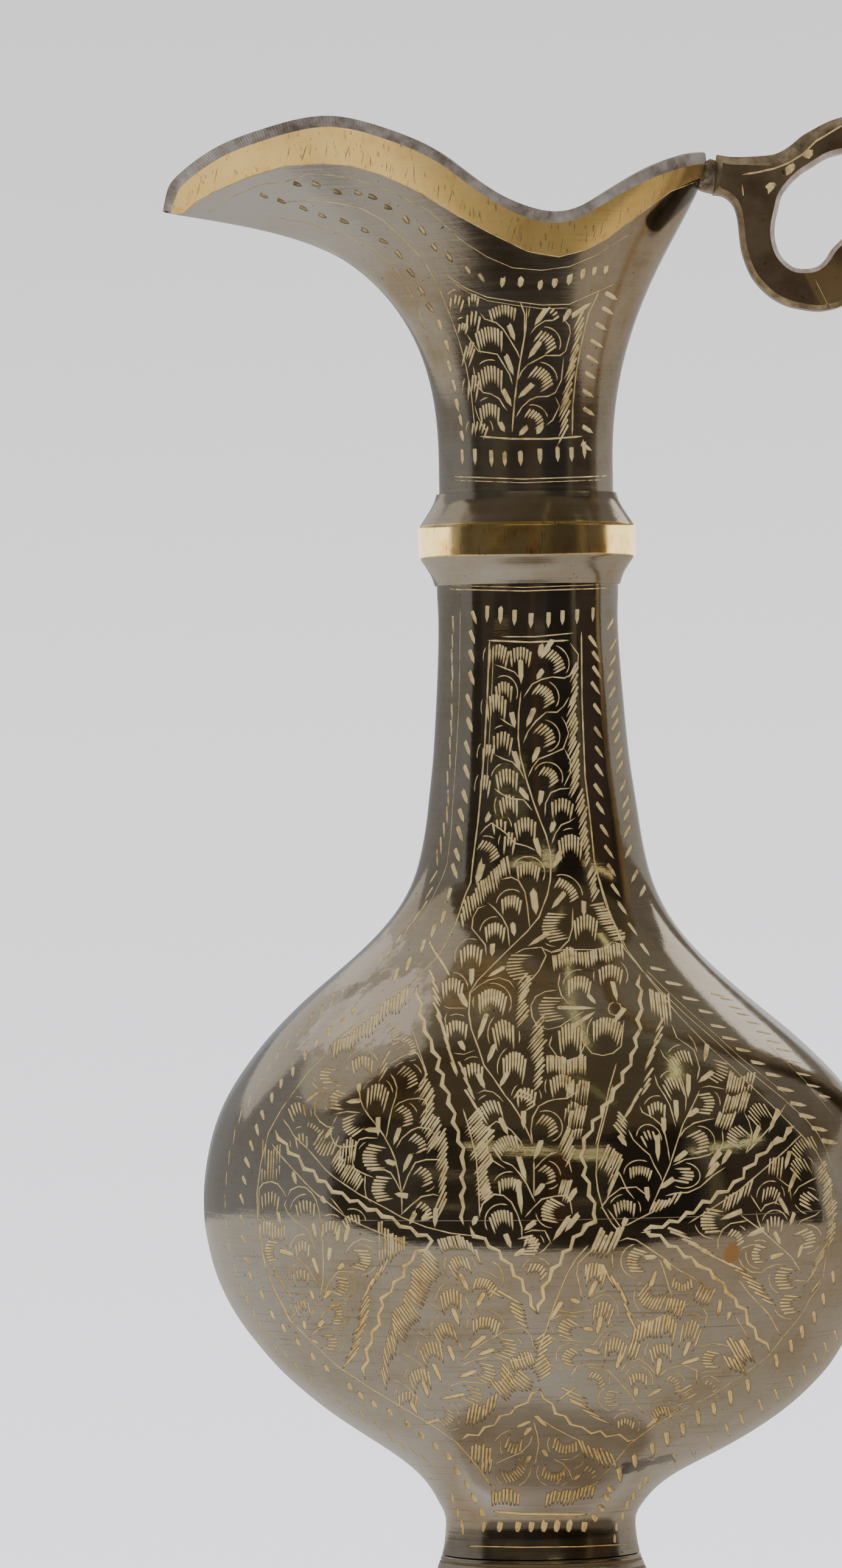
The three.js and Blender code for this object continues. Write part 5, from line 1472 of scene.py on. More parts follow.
def build_body(mats):
    surface = Body(BODY_Z0, BODY_Z1)
    pts, edges, vs = body_points(surface)
    uv, tris, depth, cut = carve(surface, strokes["body"], pts, edges)
    xyz = surface.place(uv)
    _, _, n = surface.frame(uv)
    n[np.abs(np.abs(uv[:, 0]) - surface.hi[0]) < 1e-6, 1] = 0
    n /= np.linalg.norm(n, axis=1)[:, None]
    xyz = xyz - n * depth[:, None]
    edge = np.abs(np.abs(uv[:, 0]) - surface.hi[0]) < 1e-6
    xyz[edge, 1] = 0
    # the joint between the two halves shows as a hairline
    joint = np.abs(uv[:, 1] - vs) < 4e-3
    xyz[joint] -= n[joint] * 0.05
    xyz[joint, 2] = SEAM_Z
    mid_v = uv[tris].mean(1)[:, 1]
    line_side = np.abs(mid_v - vs) < 0.08
    made = []
    for name, mine in (("belly_lower_half", mid_v < vs), ("belly_upper_half_and_neck", mid_v > vs)):
        half = Half()
        ids = half.points(xyz, depth)
        t = tris[mine]
        in_cut = cut[mine]
        half.tris(
            ids[t],
            np.where(in_cut, 1, 0),
            np.where(in_cut | line_side[mine], Half.FLAT, Half.GIVEN),
            n[t],
        )
        seam = border(t, uv, vs)
        seam_p = uv[seam, 0] / Body.SCALE
        put_ring = lambda r, z, dx=None: half.points(
            ring(r, z, COLS, float(offset(z)) if dx is None else dx)
        )
        inside = lambda z: radius(z) - WALL * np.sqrt(
            1 + min(float((radius(z + 0.5) - radius(z - 0.5))) ** 2, 4)
        )
        if name == "belly_lower_half":
            lap_r = lambda z: radius(z) - WALL / 2 - 0.15
            rows = [put_ring(lap_r(86.8), 86.8), put_ring(lap_r(SEAM_Z + LAP) + 0.1, SEAM_Z + LAP - 0.15),
                    put_ring(lap_r(SEAM_Z + LAP) - 0.1, SEAM_Z + LAP)]
            half.strip(seam, seam_p, rows[0], COLS)
            half.sheet(rows[:3])
            inner = [rows[2], put_ring(inside(SEAM_Z + LAP), SEAM_Z + LAP)]
            for z in [88, 86, 84, 82, 80, 78, 75, 72, 69, 66.5, 64, 61.5, 59.5, 57.5, 55.5, 54, 52.5, 51]:
                inner.append(put_ring(inside(z), z))
            for r, z in [(24.0, 47.4), (20.6, 45.2), (17.5, 43.2), (14.4, 41.6), (11.5, 40.4), (8.4, 39.3), (5.5, 38.6), (2.6, 38.15)]:
                inner.append(put_ring(r, z))
            half.sheet(inner)
            tip = half.points([[AX + float(offset(38.0)), 0, 38.0]])[0]
            last = inner[-1]
            half.tris([(last[i], last[i + 1], tip) for i in range(len(last) - 1)])
            # underside: the hollow stem and its spigot
            bottom = border(t, uv, surface.lo[1])
            under = [(12.4, 30.06), (12.4, 26.8), (11.0, 26.8), (11.0, 32.8), (10.4, 34.4), (6.0, 35.6), (1.2, 35.8)]
            rows = [put_ring(r, z, 0.0) for r, z in under]
            half.strip(rows[0], COLS, bottom, uv[bottom, 0] / Body.SCALE)
            half.sheet(rows[::-1])
            tip = half.points([[AX, 0, 35.8]])[0]
            half.tris([(rows[-1][i + 1], rows[-1][i], tip) for i in range(len(rows[-1]) - 1)])
        else:
            top = border(t, uv, surface.hi[1])
            rows = [put_ring(14.7, 191.6, 0.0), put_ring(14.7, 195.9, 0.0), put_ring(13.0, 195.9, 0.0), put_ring(13.0, 188.0, 0.0)]
            half.strip(top, uv[top, 0] / Body.SCALE, rows[0], COLS)
            half.sheet(rows)
            inner = [rows[-1]]
            for z in [180, 173, 166, 160, 155, 150, 147, 144]:
                inner.append(put_ring(radius(z) - 1.6, z))
            for z in [141, 138.5, 136, 133.5, 131, 128.5, 126, 123.5, 121, 118.5, 116, 113, 110, 107, 103.5, 100, 96.5]:
                inner.append(put_ring(inside(z), z))
            inner.append(put_ring(inside(93.5), 93.4))
            lap_in = lambda z: radius(z) - WALL / 2 + 0.15
            inner.append(put_ring(lap_in(90.5), 90.5))
            inner.append(put_ring(lap_in(87.2), 87.2))
            half.sheet(inner)
            half.strip(inner[-1], COLS, seam, seam_p)
        made.append(drop_loose(half, name, mats))
    return made


def drop_loose(half, name, mats, mirror=True):
    """Builds a half without the points that none of its triangles use."""
    v = np.concatenate(half.v)
    t = np.concatenate(half.t)
    used = np.unique(t)
    new = np.full(len(v), -1)
    new[used] = np.arange(len(used))
    half.v, half.d = [v[used]], [np.concatenate(half.d)[used]]
    half.t = [new[t]]
    half.n = len(used)
    return half.build(name, mats, mirror)


# ------------------------------------------------------------------------------------------
# Mouth and spout
# ------------------------------------------------------------------------------------------
def wall_at(s):
    """The mouth's wall thins towards the spout's tip."""
    t = np.clip(s / 5.0, 0, 1)
    return 0.62 + 0.38 * t * t * (3 - 2 * t)


def mouth_normal(s, v, level=False):
    e = 1e-3
    ds = mouth_at(s + e, v) - mouth_at(s - e, v)
    dv = mouth_at(s, np.minimum(v + e, 1)) - mouth_at(s, np.maximum(v - e, 0))
    n = np.cross(ds, dv)
    ends = (s < 1e-6) | (s > 14 - 1e-6)
    n[ends, 1] = 0
    if level:
        n[:, 2] = 0
    return n / np.linalg.norm(n, axis=1)[:, None]


def build_mouth(mats):
    surface = Mouth()
    coarse = np.linspace(0, 14, 127)
    fine = np.linspace(0, 14, 541)
    v_rows = np.concatenate([np.linspace(-7.8, 0, 8), np.linspace(0, 52, 40)[1:-1], [51.55]])
    pts = [(s * Mouth.U, v) for v in v_rows for s in coarse]
    pts += [(s * Mouth.U, 52.0) for s in fine]
    uv, tris, depth, cut = carve(surface, strokes["mouth"], pts, [], [GOLD_EDGE])
    xyz = surface.place(uv)
    _, _, n = surface.frame(uv)
    ends = (uv[:, 0] < 1e-6) | (uv[:, 0] > surface.hi[0] - 1e-6)
    n[ends, 1] = 0
    n /= np.linalg.norm(n, axis=1)[:, None]
    xyz = xyz - n * depth[:, None]
    xyz[ends, 1] = 0
    gold = surface.find(np.array(GOLD_EDGE, float))
    gold = gold[np.argsort(gold[:, 0])]
    middle = uv[tris].mean(1)
    above = middle[:, 1] > np.interp(middle[:, 0], gold[:, 0], gold[:, 1])
    half = Half()
    ids = half.points(xyz, depth)
    half.tris(
        ids[tris],
        np.where(cut, 1, np.where(above, 2, 0)),
        np.where(cut, Half.FLAT, Half.GIVEN),
        n[tris],
    )
    top = border(tris, uv, 52.0)
    bottom = border(tris, uv, -7.8)

    # the filed edge: a bevel with the marks of the file across it
    cs = chamfer_start(fine)
    filer = random.Random(5)
    low = np.array([(0.045 if k % 2 else 0.0) + filer.uniform(0, 0.015) for k in range(541)])
    low[0] = low[-1] = 0.0
    rows = []
    lip = 1 - 0.26 * np.exp(-((fine / 1.1) ** 2))  # the tip is filed back a little
    for f in (0.05, 0.35, 0.68, 0.96):
        v = cs + (1 - cs) * f * lip
        q = mouth_at(fine, v)
        q -= mouth_normal(fine, v) * (0.30 * wall_at(fine) * f + low * (1 if f > 0.06 else 0.4))[:, None]
        q[[0, -1], 1] = 0
        rows.append(half.points(q))
    half.strip(ids[top], uv[top, 0], rows[0], fine * Mouth.U, 3, Half.FLAT)
    half.sheet(rows, 3, Half.FLAT)
    end_v = cs + (1 - cs) * lip
    flat_n = mouth_normal(fine, end_v, True)
    rim = mouth_at(fine, end_v)
    land = []
    for inset, drop in ((0.42, -0.06), (1.72, 0.0), (1.80, 0.08)):
        q = rim - flat_n * (inset * wall_at(fine))[:, None]
        q[:, 2] -= drop
        q[[0, -1], 1] = 0
        land.append(half.points(q))
    half.sheet([rows[-1]] + land, 3, Half.AUTO)

    # inside of the spout and the neck
    inner = []
    for v in (0.985, 0.95, 0.9, 0.84, 0.78, 0.7, 0.62, 0.54, 0.46, 0.38, 0.3, 0.22, 0.14, 0.07, 0.0):
        vv = np.full_like(coarse, v)
        n_full, n_flat = mouth_normal(coarse, vv), mouth_normal(coarse, vv, True)
        t = np.clip((v - 0.9) / 0.1, 0, 1)
        m = n_full * (1 - t) + n_flat * t
        m /= np.linalg.norm(m, axis=1)[:, None]
        q = mouth_at(coarse, vv) - m * (1.8 * wall_at(coarse))[:, None]
        q[[0, -1], 1] = 0
        inner.append(half.points(q))
    a = np.radians(_from(coarse))

    def neck_ring(r, z):
        q = np.stack([AX - r * np.cos(a), -r * np.sin(a), np.full_like(a, z)], 1)
        q[[0, -1], 1] = 0
        return half.points(q)

    inner += [neck_ring(11.4, 203.0), neck_ring(11.4, 190.2)]
    half.strip(land[-1], fine, inner[0], coarse)
    half.sheet(inner)
    lower = [inner[-1], neck_ring(12.7, 190.2), neck_ring(12.7, 196.2), neck_ring(14.3, 196.2)]
    half.sheet(lower)
    half.strip(lower[-1], coarse, ids[bottom], uv[bottom, 0] / Mouth.U)
    return drop_loose(half, "mouth_and_spout", mats)


# ------------------------------------------------------------------------------------------
# Turned pieces
# ------------------------------------------------------------------------------------------
ROUND = np.radians(np.linspace(-90, 270, 217))


def turned(name, parts, mats):
    """A closed ring from (r, z, material) rows that go up the outside and down the inside."""
    half = Half()
    rows = [half.points(ring(r, z, ROUND, 0.0)) for r, z, _ in parts]
    for k in range(len(rows)):
        half.sheet([rows[k], rows[(k + 1) % len(rows)]], parts[k][2])
    return half.build(name, mats, mirror=False)


def filled(points, step):
    """Rows of an outline with extra rows on a smooth curve through them."""
    points = np.array(points, float)
    d = np.concatenate([[0], np.cumsum(np.hypot(*np.diff(points, axis=0).T))])
    q = np.linspace(0, d[-1], max(2, int(d[-1] / step)) + 1)
    return list(zip(hermite(d, points[:, 0], q), hermite(d, points[:, 1], q)))


def build_collar(mats):
    up = [(r, z) for z, r in COLLAR[::-1]]
    lower = up[:4]
    rows = [(15.05, 188.9, 0)] + [(r, z, 0) for r, z in filled(lower, 0.35)]
    rows += [(17.55, 193.1, 0), (17.78, 193.45, 1), (17.84, 193.8, 1)]
    rows += [(17.85, z, 1) for z in (195.0, 196.0, 197.0)]
    rows += [(17.85, 198.2, 1), (17.74, 198.62, 1), (17.5, 198.9, 0), (17.3, 199.2, 0)]
    rows += [(r, z, 0) for r, z in filled([(17.3, 199.2), (16.6, 200.2), (15.85, 201.4), (15.2, 202.6), (14.85, 203.7)], 0.3)[1:]]
    rows += [(14.8, 203.9, 0), (14.62, 203.9, 0), (14.6, 203.7, 0), (14.6, 196.2, 0), (15.0, 196.2, 0), (15.0, 189.0, 0)]
    return turned("neck_collar", rows, mats)


def build_foot(mats):
    rows = [(31.3, 0.0, 0)]
    z_up = np.concatenate([np.linspace(0.3, 6.2, 22), np.linspace(6.6, 29.7, 56)])
    rows += [(float(radius(z)), z, 0) for z in z_up]
    # turned lines round the foot
    marked = []
    for r, z, m in rows:
        marked.append((r, z, m))
    for zc, dr in ((29.0, 0.12), (27.7, 0.1), (11.6, 0.14), (10.4, 0.14)):
        rc = float(radius(zc))
        slope = float(radius(zc + 0.3) - radius(zc - 0.3)) / 0.6
        nx, nz = 1 / math.hypot(1, slope), -slope / math.hypot(1, slope)
        marked += [
            (float(radius(zc - 0.22)), zc - 0.22, 1),
            (rc - nx * dr, zc - nz * dr, 1),
            (float(radius(zc + 0.22)), zc + 0.22, 0),
        ]
    clean = [q for q in marked if q[2] == 1 or not any(abs(q[1] - c) < 0.32 and q[1] > 1 and abs(q[1] - c - 0.22) > 1e-6 for c in (29.0, 27.7, 11.6, 10.4))]
    clean.sort(key=lambda q: q[1])
    rows = clean + [(16.15, 29.85, 0), (15.9, 30.0, 0)]
    inside = [(12.85, 30.0), (12.8, 29.9), (12.8, 27.4), (13.6, 27.0)]
    curve = filled([(13.6, 27.0), (16.1, 25), (18.1, 21.6), (20.3, 17.8), (22.5, 14), (24.5, 10.6), (26.2, 7.6), (27.1, 4.6), (27.5, 0.6)], 1.0)[1:]
    rows += [(r, z, 0) for r, z in inside + curve] + [(27.7, 0.0, 0)]
    return turned("foot", rows, mats)


# ------------------------------------------------------------------------------------------
# Handle
# ------------------------------------------------------------------------------------------
def through(points, step, closed):
    """Evenly spaced points on a smooth curve through the given ones."""
    p = np.array(points, float)
    if closed:
        p = np.concatenate([p[-3:], p, p[:4]])
    d = np.concatenate([[0], np.cumsum(np.sqrt(np.hypot(*np.diff(p, axis=0).T)))])
    q = np.linspace(0, d[-1], len(p) * 24)
    dense = np.stack([hermite(d, p[:, 0], q), hermite(d, p[:, 1], q)], 1)
    if closed:
        dense = dense[(q >= d[3]) & (q <= d[len(p) - 4])]
    s = np.concatenate([[0], np.cumsum(np.hypot(*np.diff(dense, axis=0).T))])
    n = max(3, int(round(s[-1] / step)))
    at = np.linspace(0, s[-1], n + 1)
    out = np.stack([np.interp(at, s, dense[:, 0]), np.interp(at, s, dense[:, 1])], 1)
    return out[:-1] if closed else out


def nearest(points, loop):
    """Distance of points from a closed polyline and the place along it."""
    a, b = loop, np.roll(loop, -1, axis=0)
    ab = b - a
    l2 = (ab**2).sum(1) + 1e-12
    best = np.empty(len(points))
    where = np.empty(len(points), int)
    for k in range(0, len(points), 400):
        q = points[k : k + 400, None, :]
        t = np.clip(((q - a) * ab).sum(2) / l2, 0, 1)
        d = np.linalg.norm(q - (a + t[..., None] * ab), axis=2)
        where[k : k + 400] = d.argmin(1)
        best[k : k + 400] = d.min(1)
    return best, where


def in_loop(points, loop):
    x, z = points[:, 0][:, None], points[:, 1][:, None]
    x0, z0 = loop[:, 0], loop[:, 1]
    x1, z1 = np.roll(x0, -1), np.roll(z0, -1)
    cross = ((z0 > z) != (z1 > z)) & (x < (x1 - x0) * (z - z0) / (z1 - z0 + 1e-12) + x0)
    return cross.sum(1) % 2 == 1


def bevel_width(p, hole):
    """How far the bevel of the handle's edge reaches into its face."""
    x, z = p[:, 0], p[:, 1]
    if hole:
        return np.full(len(p), 0.75)
    outer = np.clip((z - 250.0) / 6.0, 0, 1) * (x > 31.9) + np.clip((x - np.interp(
        z, [85, 104, 120, 160, 190, 220, 240, 262], [63, 59, 59.5, 63, 67, 69, 66, 58])) / 1.5, 0, 1)
    outer = np.clip(outer, 0, 1) * np.clip((z - 95) / 6, 0, 1)
    w = 0.85 + 0.5 * outer
    return w + 1.25 * np.exp(-(((x - 44.3) / 2.9) ** 2)) * np.clip((z - 254) / 4.0, 0, 1)


def build_handle(mats):
    face_y, deep = -3.5, 0.9
    outline = through(HANDLE, 0.42, False)
    # close the straight end that faces the mouth
    n_end = 15
    end = np.linspace(outline[-1], outline[0], n_end + 1)[1:-1]
    single = lambda q: q.astype(np.float32).astype(float)
    outline = single(np.concatenate([outline, end]))
    hole = single(through(RING_HOLE, 0.36, True))
    loops = [outline, hole]
    signed = lambda q: ((q[:, 0] * np.roll(q[:, 1], -1)) - (np.roll(q[:, 0], -1) * q[:, 1])).sum()
    # seen from -Y, x to the right and z up: the outline is counter-clockwise, the hole clockwise
    if signed(outline) < 0:
        loops[0] = outline[::-1]
    if signed(hole) > 0:
        loops[1] = hole[::-1]
    lo = outline.min(0) - 3
    hi = outline.max(0) + 3
    surface = Flat(face_y, tuple(lo), tuple(hi))
    points, edges, extra = [], [], []
    filer = random.Random(8)
    for k, loop in enumerate(loops):
        base = len(points)
        points += [tuple(q) for q in loop]
        edges += [(base + i, base + (i + 1) % len(loop)) for i in range(len(loop))]
        t = np.roll(loop, -1, axis=0) - np.roll(loop, 1, axis=0)
        t /= np.linalg.norm(t, axis=1)[:, None]
        inward = np.stack([-t[:, 1], t[:, 0]], 1)
        w = bevel_width(loop, k == 1)
        w = blurred(np.concatenate([w[-40:], w, w[:40]]), 6.0)[40:-40]
        for f in (0.3, 0.66, 0.985, 1.03):
            q = loop + inward * (w * f)[:, None]
            d, _ = nearest(q, loop)
            other, _ = nearest(q, loops[1 - k])
            good = (d > w * f - 0.03) & (other > 0.4)
            extra += [tuple(v) for v in q[good]]
        if k == 0:
            outline_w = w
        else:
            hole_w = w
    gx, gz = np.meshgrid(np.arange(lo[0], hi[0], 1.5), np.arange(lo[1], hi[1], 1.5))
    grid = np.stack([gx.ravel(), gz.ravel()], 1)
    grid = grid[in_loop(grid, loops[0]) & ~in_loop(grid, loops[1])]
    d0, i0 = nearest(grid, loops[0])
    d1, i1 = nearest(grid, loops[1])
    grid = grid[(d0 > outline_w[i0] * 1.03 + 0.5) & (d1 > hole_w[i1] * 1.03 + 0.5)]
    points += extra + [tuple(q) for q in grid]
    uv, tris, cut_depth, cut = carve(surface, strokes["handle"], points, edges)
    middle = uv[tris].mean(1)
    ok = in_loop(middle, loops[0]) & ~in_loop(middle, loops[1])
    tris, cut, middle = tris[ok], cut[ok], middle[ok]
    d0, i0 = nearest(uv, loops[0])
    d1, i1 = nearest(uv, loops[1])
    f0, f1 = d0 / outline_w[i0], d1 / hole_w[i1]
    f = np.minimum(f0, f1)
    lower = np.where(f < 0.98, deep * (1 - f), 0.0)
    wobble = np.where(i0 % 2 == 0, 0.024, 0.0) * ((f0 > 0.1) & (f0 < 0.9))
    wobble += 0.02 * np.abs(np.sin(i1 * 1.7)) * ((f1 > 0.1) & (f1 < 0.9))
    flat_d = np.where(f > 0.98, cut_depth, 0)
    xyz = surface.place(uv)
    xyz[:, 1] += lower + wobble + flat_d
    half = Half()
    ids = half.points(xyz, flat_d)
    tf = f[tris]
    flat_face = (tf > 0.965).all(1)
    t0, t1 = f0[tris].mean(1), f1[tris].mean(1)
    mat = np.where(flat_face, np.where(cut, 1, 0), np.where(t1 < t0, 3, 2))
    kind = np.where(flat_face & ~cut, Half.GIVEN, Half.FLAT)
    corner = np.broadcast_to(np.array([0, -1.0, 0]), (len(tris), 3, 3)).copy()
    half.tris(ids[tris], mat, kind, corner)
    # the edges across the thickness; the rows meet the far half at y = 0
    for k, loop in enumerate(loops):
        closed = np.concatenate([loop, loop[:1]])
        y0 = face_y + deep
        a = half.points(np.stack([AX + closed[:, 0], np.full(len(closed), y0), closed[:, 1]], 1))
        b = half.points(np.stack([AX + closed[:, 0], np.full(len(closed), y0 / 2), closed[:, 1]], 1))
        c = half.points(np.stack([AX + closed[:, 0], np.zeros(len(closed)), closed[:, 1]], 1))
        for lower_row, upper_row in ((a, b), (b, c)):
            t = []
            for i in range(len(closed) - 1):
                t += [
                    (lower_row[i + 1], lower_row[i], upper_row[i]),
                    (lower_row[i + 1], upper_row[i], upper_row[i + 1]),
                ]
            half.tris(t, 3 if k else 4)
    return drop_loose(half, "handle", mats)


def lumps(x, y, z, seed):
    return (
        math.sin(x * 1.9 + seed) * math.sin(y * 1.7 + 2.1 * seed)
        + 0.6 * math.sin(z * 2.9 + 1.3 * seed) * math.sin(y * 3.3 + seed)
        + 0.4 * math.sin(x * 5.1 + z * 4.3 + seed)
    ) / 2.0


def build_braze_foot(mats):
    z0, z1 = 87.8, 103.0
    half = Half()
    nz, ny = 44, 14
    outer, under = [], []
    for i in range(nz + 1):
        z = z0 + (z1 - z0) * i / nz
        hw = 1.2 + 4.4 * math.sqrt(max(0.0, 1 - ((z - 95.4) / 7.6) ** 2))
        row_o, row_u = [], []
        for j in range(ny + 1):
            f = j / ny  # 0 on the near edge, 1 on the plane y = 0
            y = -hw * (1 - f)
            r = float(radius(z))
            x = AX + float(offset(z)) + math.sqrt(r * r - y * y)
            edge = min(1.0, 6 * f) * min(1.0, 4 * (z - z0) / 3, 4 * (z1 - z) / 3)
            lift = 0.02 + edge * (0.5 + 0.22 * lumps(x, y, z, 1.0) * (1 - f) + 0.05)
            row_o.append((x + max(0.02, min(lift, 0.78)), y, z))
            row_u.append((x + 0.01, y, z))
        outer.append(half.points(row_o))
        under.append(half.points(row_u))
    # seen from +X the near half lies to the left, so rows that go up run left to right
    half.sheet(outer)
    half.sheet([row[::-1] for row in under])
    for i in range(nz):
        o0, o1, u0, u1 = outer[i][0], outer[i + 1][0], under[i][0], under[i + 1][0]
        half.tris([(u0, o0, o1), (u0, o1, u1)])
    for row_o, row_u, top in ((outer[0], under[0], False), (outer[-1], under[-1], True)):
        for j in range(ny):
            q = [row_o[j], row_o[j + 1], row_u[j + 1], row_u[j]]
            if not top:
                q = q[::-1]
            half.tris([(q[0], q[1], q[2]), (q[0], q[2], q[3])])
    return drop_loose(half, "handle_foot_braze", mats)


def build_braze_top(mats):
    zc, hy, hz = 255.8, 4.0, 2.55
    s = np.linspace(11.6, 14, 60)
    v = np.linspace(0.72, 1.0, 40)
    ss, vv = np.meshgrid(s, v)
    wall = mouth_at(ss.ravel(), vv.ravel())

    def wall_x(y, z):
        d = (wall[:, 1] + abs(y)) ** 2 + (wall[:, 2] - z) ** 2
        return float(wall[d.argmin(), 0])

    half = Half()
    around, across = 40, 12
    rows = []
    for j in range(across + 1):
        f = j / across
        row = []
        for i in range(around + 1):
            a = -math.pi / 2 + math.pi * i / around  # from the bottom by the near side to the top
            c, d = math.cos(a), math.sin(a)
            c, d = math.copysign(abs(c) ** 0.55, c), math.copysign(abs(d) ** 0.55, d)
            swell = 1 - 0.10 * (2 * f - 1) ** 2 + 0.05 * lumps(4 * f, 3 * a, a, 2.0)
            y, z = -hy * c * swell, zc + hz * d * swell - 0.8 * max(0.0, -d) * f * f
            x0 = wall_x(y, z) - 0.05
            x1 = AX + 31.3 + (z - 252.6) * 0.7 / 6.4 + 0.02
            x = x0 + (max(x1, x0 + 0.15) - x0) * f
            row.append((x, 0.0 if i in (0, around) else y, z))
        rows.append(half.points(row))
    # rows step in +X; each row turns from the bottom by the near side to the top
    for a, b in zip(rows[:-1], rows[1:]):
        t = []
        for i in range(around):
            t += [(a[i], b[i], b[i + 1]), (a[i], b[i + 1], a[i + 1])]
        half.tris(t)
    for row, near in ((rows[0], True), (rows[-1], False)):
        z_mid = zc
        x = wall_x(0, zc) - 0.05 if near else AX + 31.3 + (zc - 252.6) * 0.7 / 6.4 + 0.02
        hub = half.points([[x, 0.0, zc]])[0]
        t = [(row[i], row[i + 1], hub) if near else (row[i + 1], row[i], hub) for i in range(around)]
        half.tris(t)
    return drop_loose(half, "handle_top_braze", mats)


# ------------------------------------------------------------------------------------------
# Materials
# ------------------------------------------------------------------------------------------
class Shade:
    """A material that is built node by node."""

    def __init__(self, name):
        self.mat = bpy.data.materials.new(name)
        self.mat.use_nodes = True
        self.t = self.mat.node_tree
        self.t.nodes.clear()
        self.out = self.t.nodes.new("ShaderNodeOutputMaterial")
        self.bsdf = self.t.nodes.new("ShaderNodeBsdfPrincipled")
        self.t.links.new(self.bsdf.outputs[0], self.out.inputs["Surface"])
        self.coord = self.t.nodes.new("ShaderNodeTexCoord").outputs["Object"]

    def feed(self, socket, value):
        if isinstance(value, bpy.types.NodeSocket):
            self.t.links.new(value, socket)
        else:
            socket.default_value = value

    def stretched(self, scale, shift=(0, 0, 0)):
        m = self.t.nodes.new("ShaderNodeMapping")
        self.t.links.new(self.coord, m.inputs["Vector"])
        m.inputs["Scale"].default_value = scale
        m.inputs["Location"].default_value = shift
        return m.outputs[0]

    def noise(self, scale, detail=3.0, rough=0.55, vector=None, distortion=0.0):
        n = self.t.nodes.new("ShaderNodeTexNoise")
        self.t.links.new(vector or self.coord, n.inputs["Vector"])
        n.inputs["Scale"].default_value = scale
        n.inputs["Detail"].default_value = detail
        n.inputs["Roughness"].default_value = rough
        n.inputs["Distortion"].default_value = distortion
        return n.outputs["Fac"]

    def math(self, op, a, b=0.0, c=None):
        n = self.t.nodes.new("ShaderNodeMath")
        n.operation = op
        self.feed(n.inputs[0], a)
        self.feed(n.inputs[1], b)
        if c is not None:
            self.feed(n.inputs[2], c)
        return n.outputs[0]

    def span(self, value, a, b, c=0.0, d=1.0):
        n = self.t.nodes.new("ShaderNodeMapRange")
        n.clamp = True
        self.feed(n.inputs["Value"], value)
        n.inputs["From Min"].default_value = a
        n.inputs["From Max"].default_value = b
        n.inputs["To Min"].default_value = c
        n.inputs["To Max"].default_value = d
        return n.outputs["Result"]

    def ramp(self, value, stops):
        n = self.t.nodes.new("ShaderNodeValToRGB")
        self.feed(n.inputs["Fac"], value)
        e = n.color_ramp.elements
        while len(e) < len(stops):
            e.new(0.5)
        for k, (at, colour) in enumerate(stops):
            e[k].position = at
            e[k].color = (*colour, 1.0)
        return n.outputs["Color"]

    def mix(self, fac, a, b, kind="MIX"):
        n = self.t.nodes.new("ShaderNodeMix")
        n.data_type = "RGBA"
        n.blend_type = kind
        self.feed(n.inputs["Factor"], fac)
        self.feed(n.inputs[6], a if isinstance(a, bpy.types.NodeSocket) else (*a, 1.0))
        self.feed(n.inputs[7], b if isinstance(b, bpy.types.NodeSocket) else (*b, 1.0))
        return n.outputs[2]

    def height(self):
        n = self.t.nodes.new("ShaderNodeSeparateXYZ")
        self.t.links.new(self.coord, n.inputs[0])
        return n.outputs["Z"]

    def spot(self, centre, reach, ragged=0.6):
        """1 within a ragged spot about a point (mm), 0 outside it."""
        n = self.t.nodes.new("ShaderNodeVectorMath")
        n.operation = "DISTANCE"
        self.t.links.new(self.coord, n.inputs[0])
        n.inputs[1].default_value = [c * MM for c in centre]
        d = self.math("DIVIDE", n.outputs["Value"], reach * MM)
        edge = self.math("MULTIPLY_ADD", self.noise(420.0, 4.0, 0.65), 2.4 * ragged, self.math("SUBTRACT", 1.0 - 1.2 * ragged, d))
        return self.span(edge, -0.08, 0.22)

    def bar(self, a, b, reach, soft):
        """1 within a round-ended bar from a to b (x and z in mm), seen from the side, 0 outside it."""
        sep = self.t.nodes.new("ShaderNodeSeparateXYZ")
        self.t.links.new(self.coord, sep.inputs[0])
        dx, dz = (b[0] - a[0]) * MM, (b[1] - a[1]) * MM
        length = math.hypot(dx, dz)
        dx, dz = dx / length, dz / length
        px = self.math("SUBTRACT", sep.outputs["X"], a[0] * MM)
        pz = self.math("SUBTRACT", sep.outputs["Z"], a[1] * MM)
        t = self.math("MULTIPLY_ADD", px, dx, self.math("MULTIPLY", pz, dz))
        t = self.math("MINIMUM", self.math("MAXIMUM", t, 0.0), length)
        ex = self.math("MULTIPLY_ADD", t, -dx, px)
        ez = self.math("MULTIPLY_ADD", t, -dz, pz)
        d = self.math("SQRT", self.math("MULTIPLY_ADD", ex, ex, self.math("MULTIPLY", ez, ez)))
        return self.span(d, (reach - soft) * MM, (reach + soft) * MM, 1.0, 0.0)

    def bump(self, value, strength, distance):
        n = self.t.nodes.new("ShaderNodeBump")
        n.inputs["Strength"].default_value = strength
        n.inputs["Distance"].default_value = distance
        self.t.links.new(value, n.inputs["Height"])
        self.t.links.new(n.outputs[0], self.bsdf.inputs["Normal"])

    def done(self, colour, metallic, roughness):
        self.feed(self.bsdf.inputs["Base Color"], colour if isinstance(colour, bpy.types.NodeSocket) else (*colour, 1.0))
        self.feed(self.bsdf.inputs["Metallic"], metallic)
        self.feed(self.bsdf.inputs["Roughness"], roughness)
        return self.mat


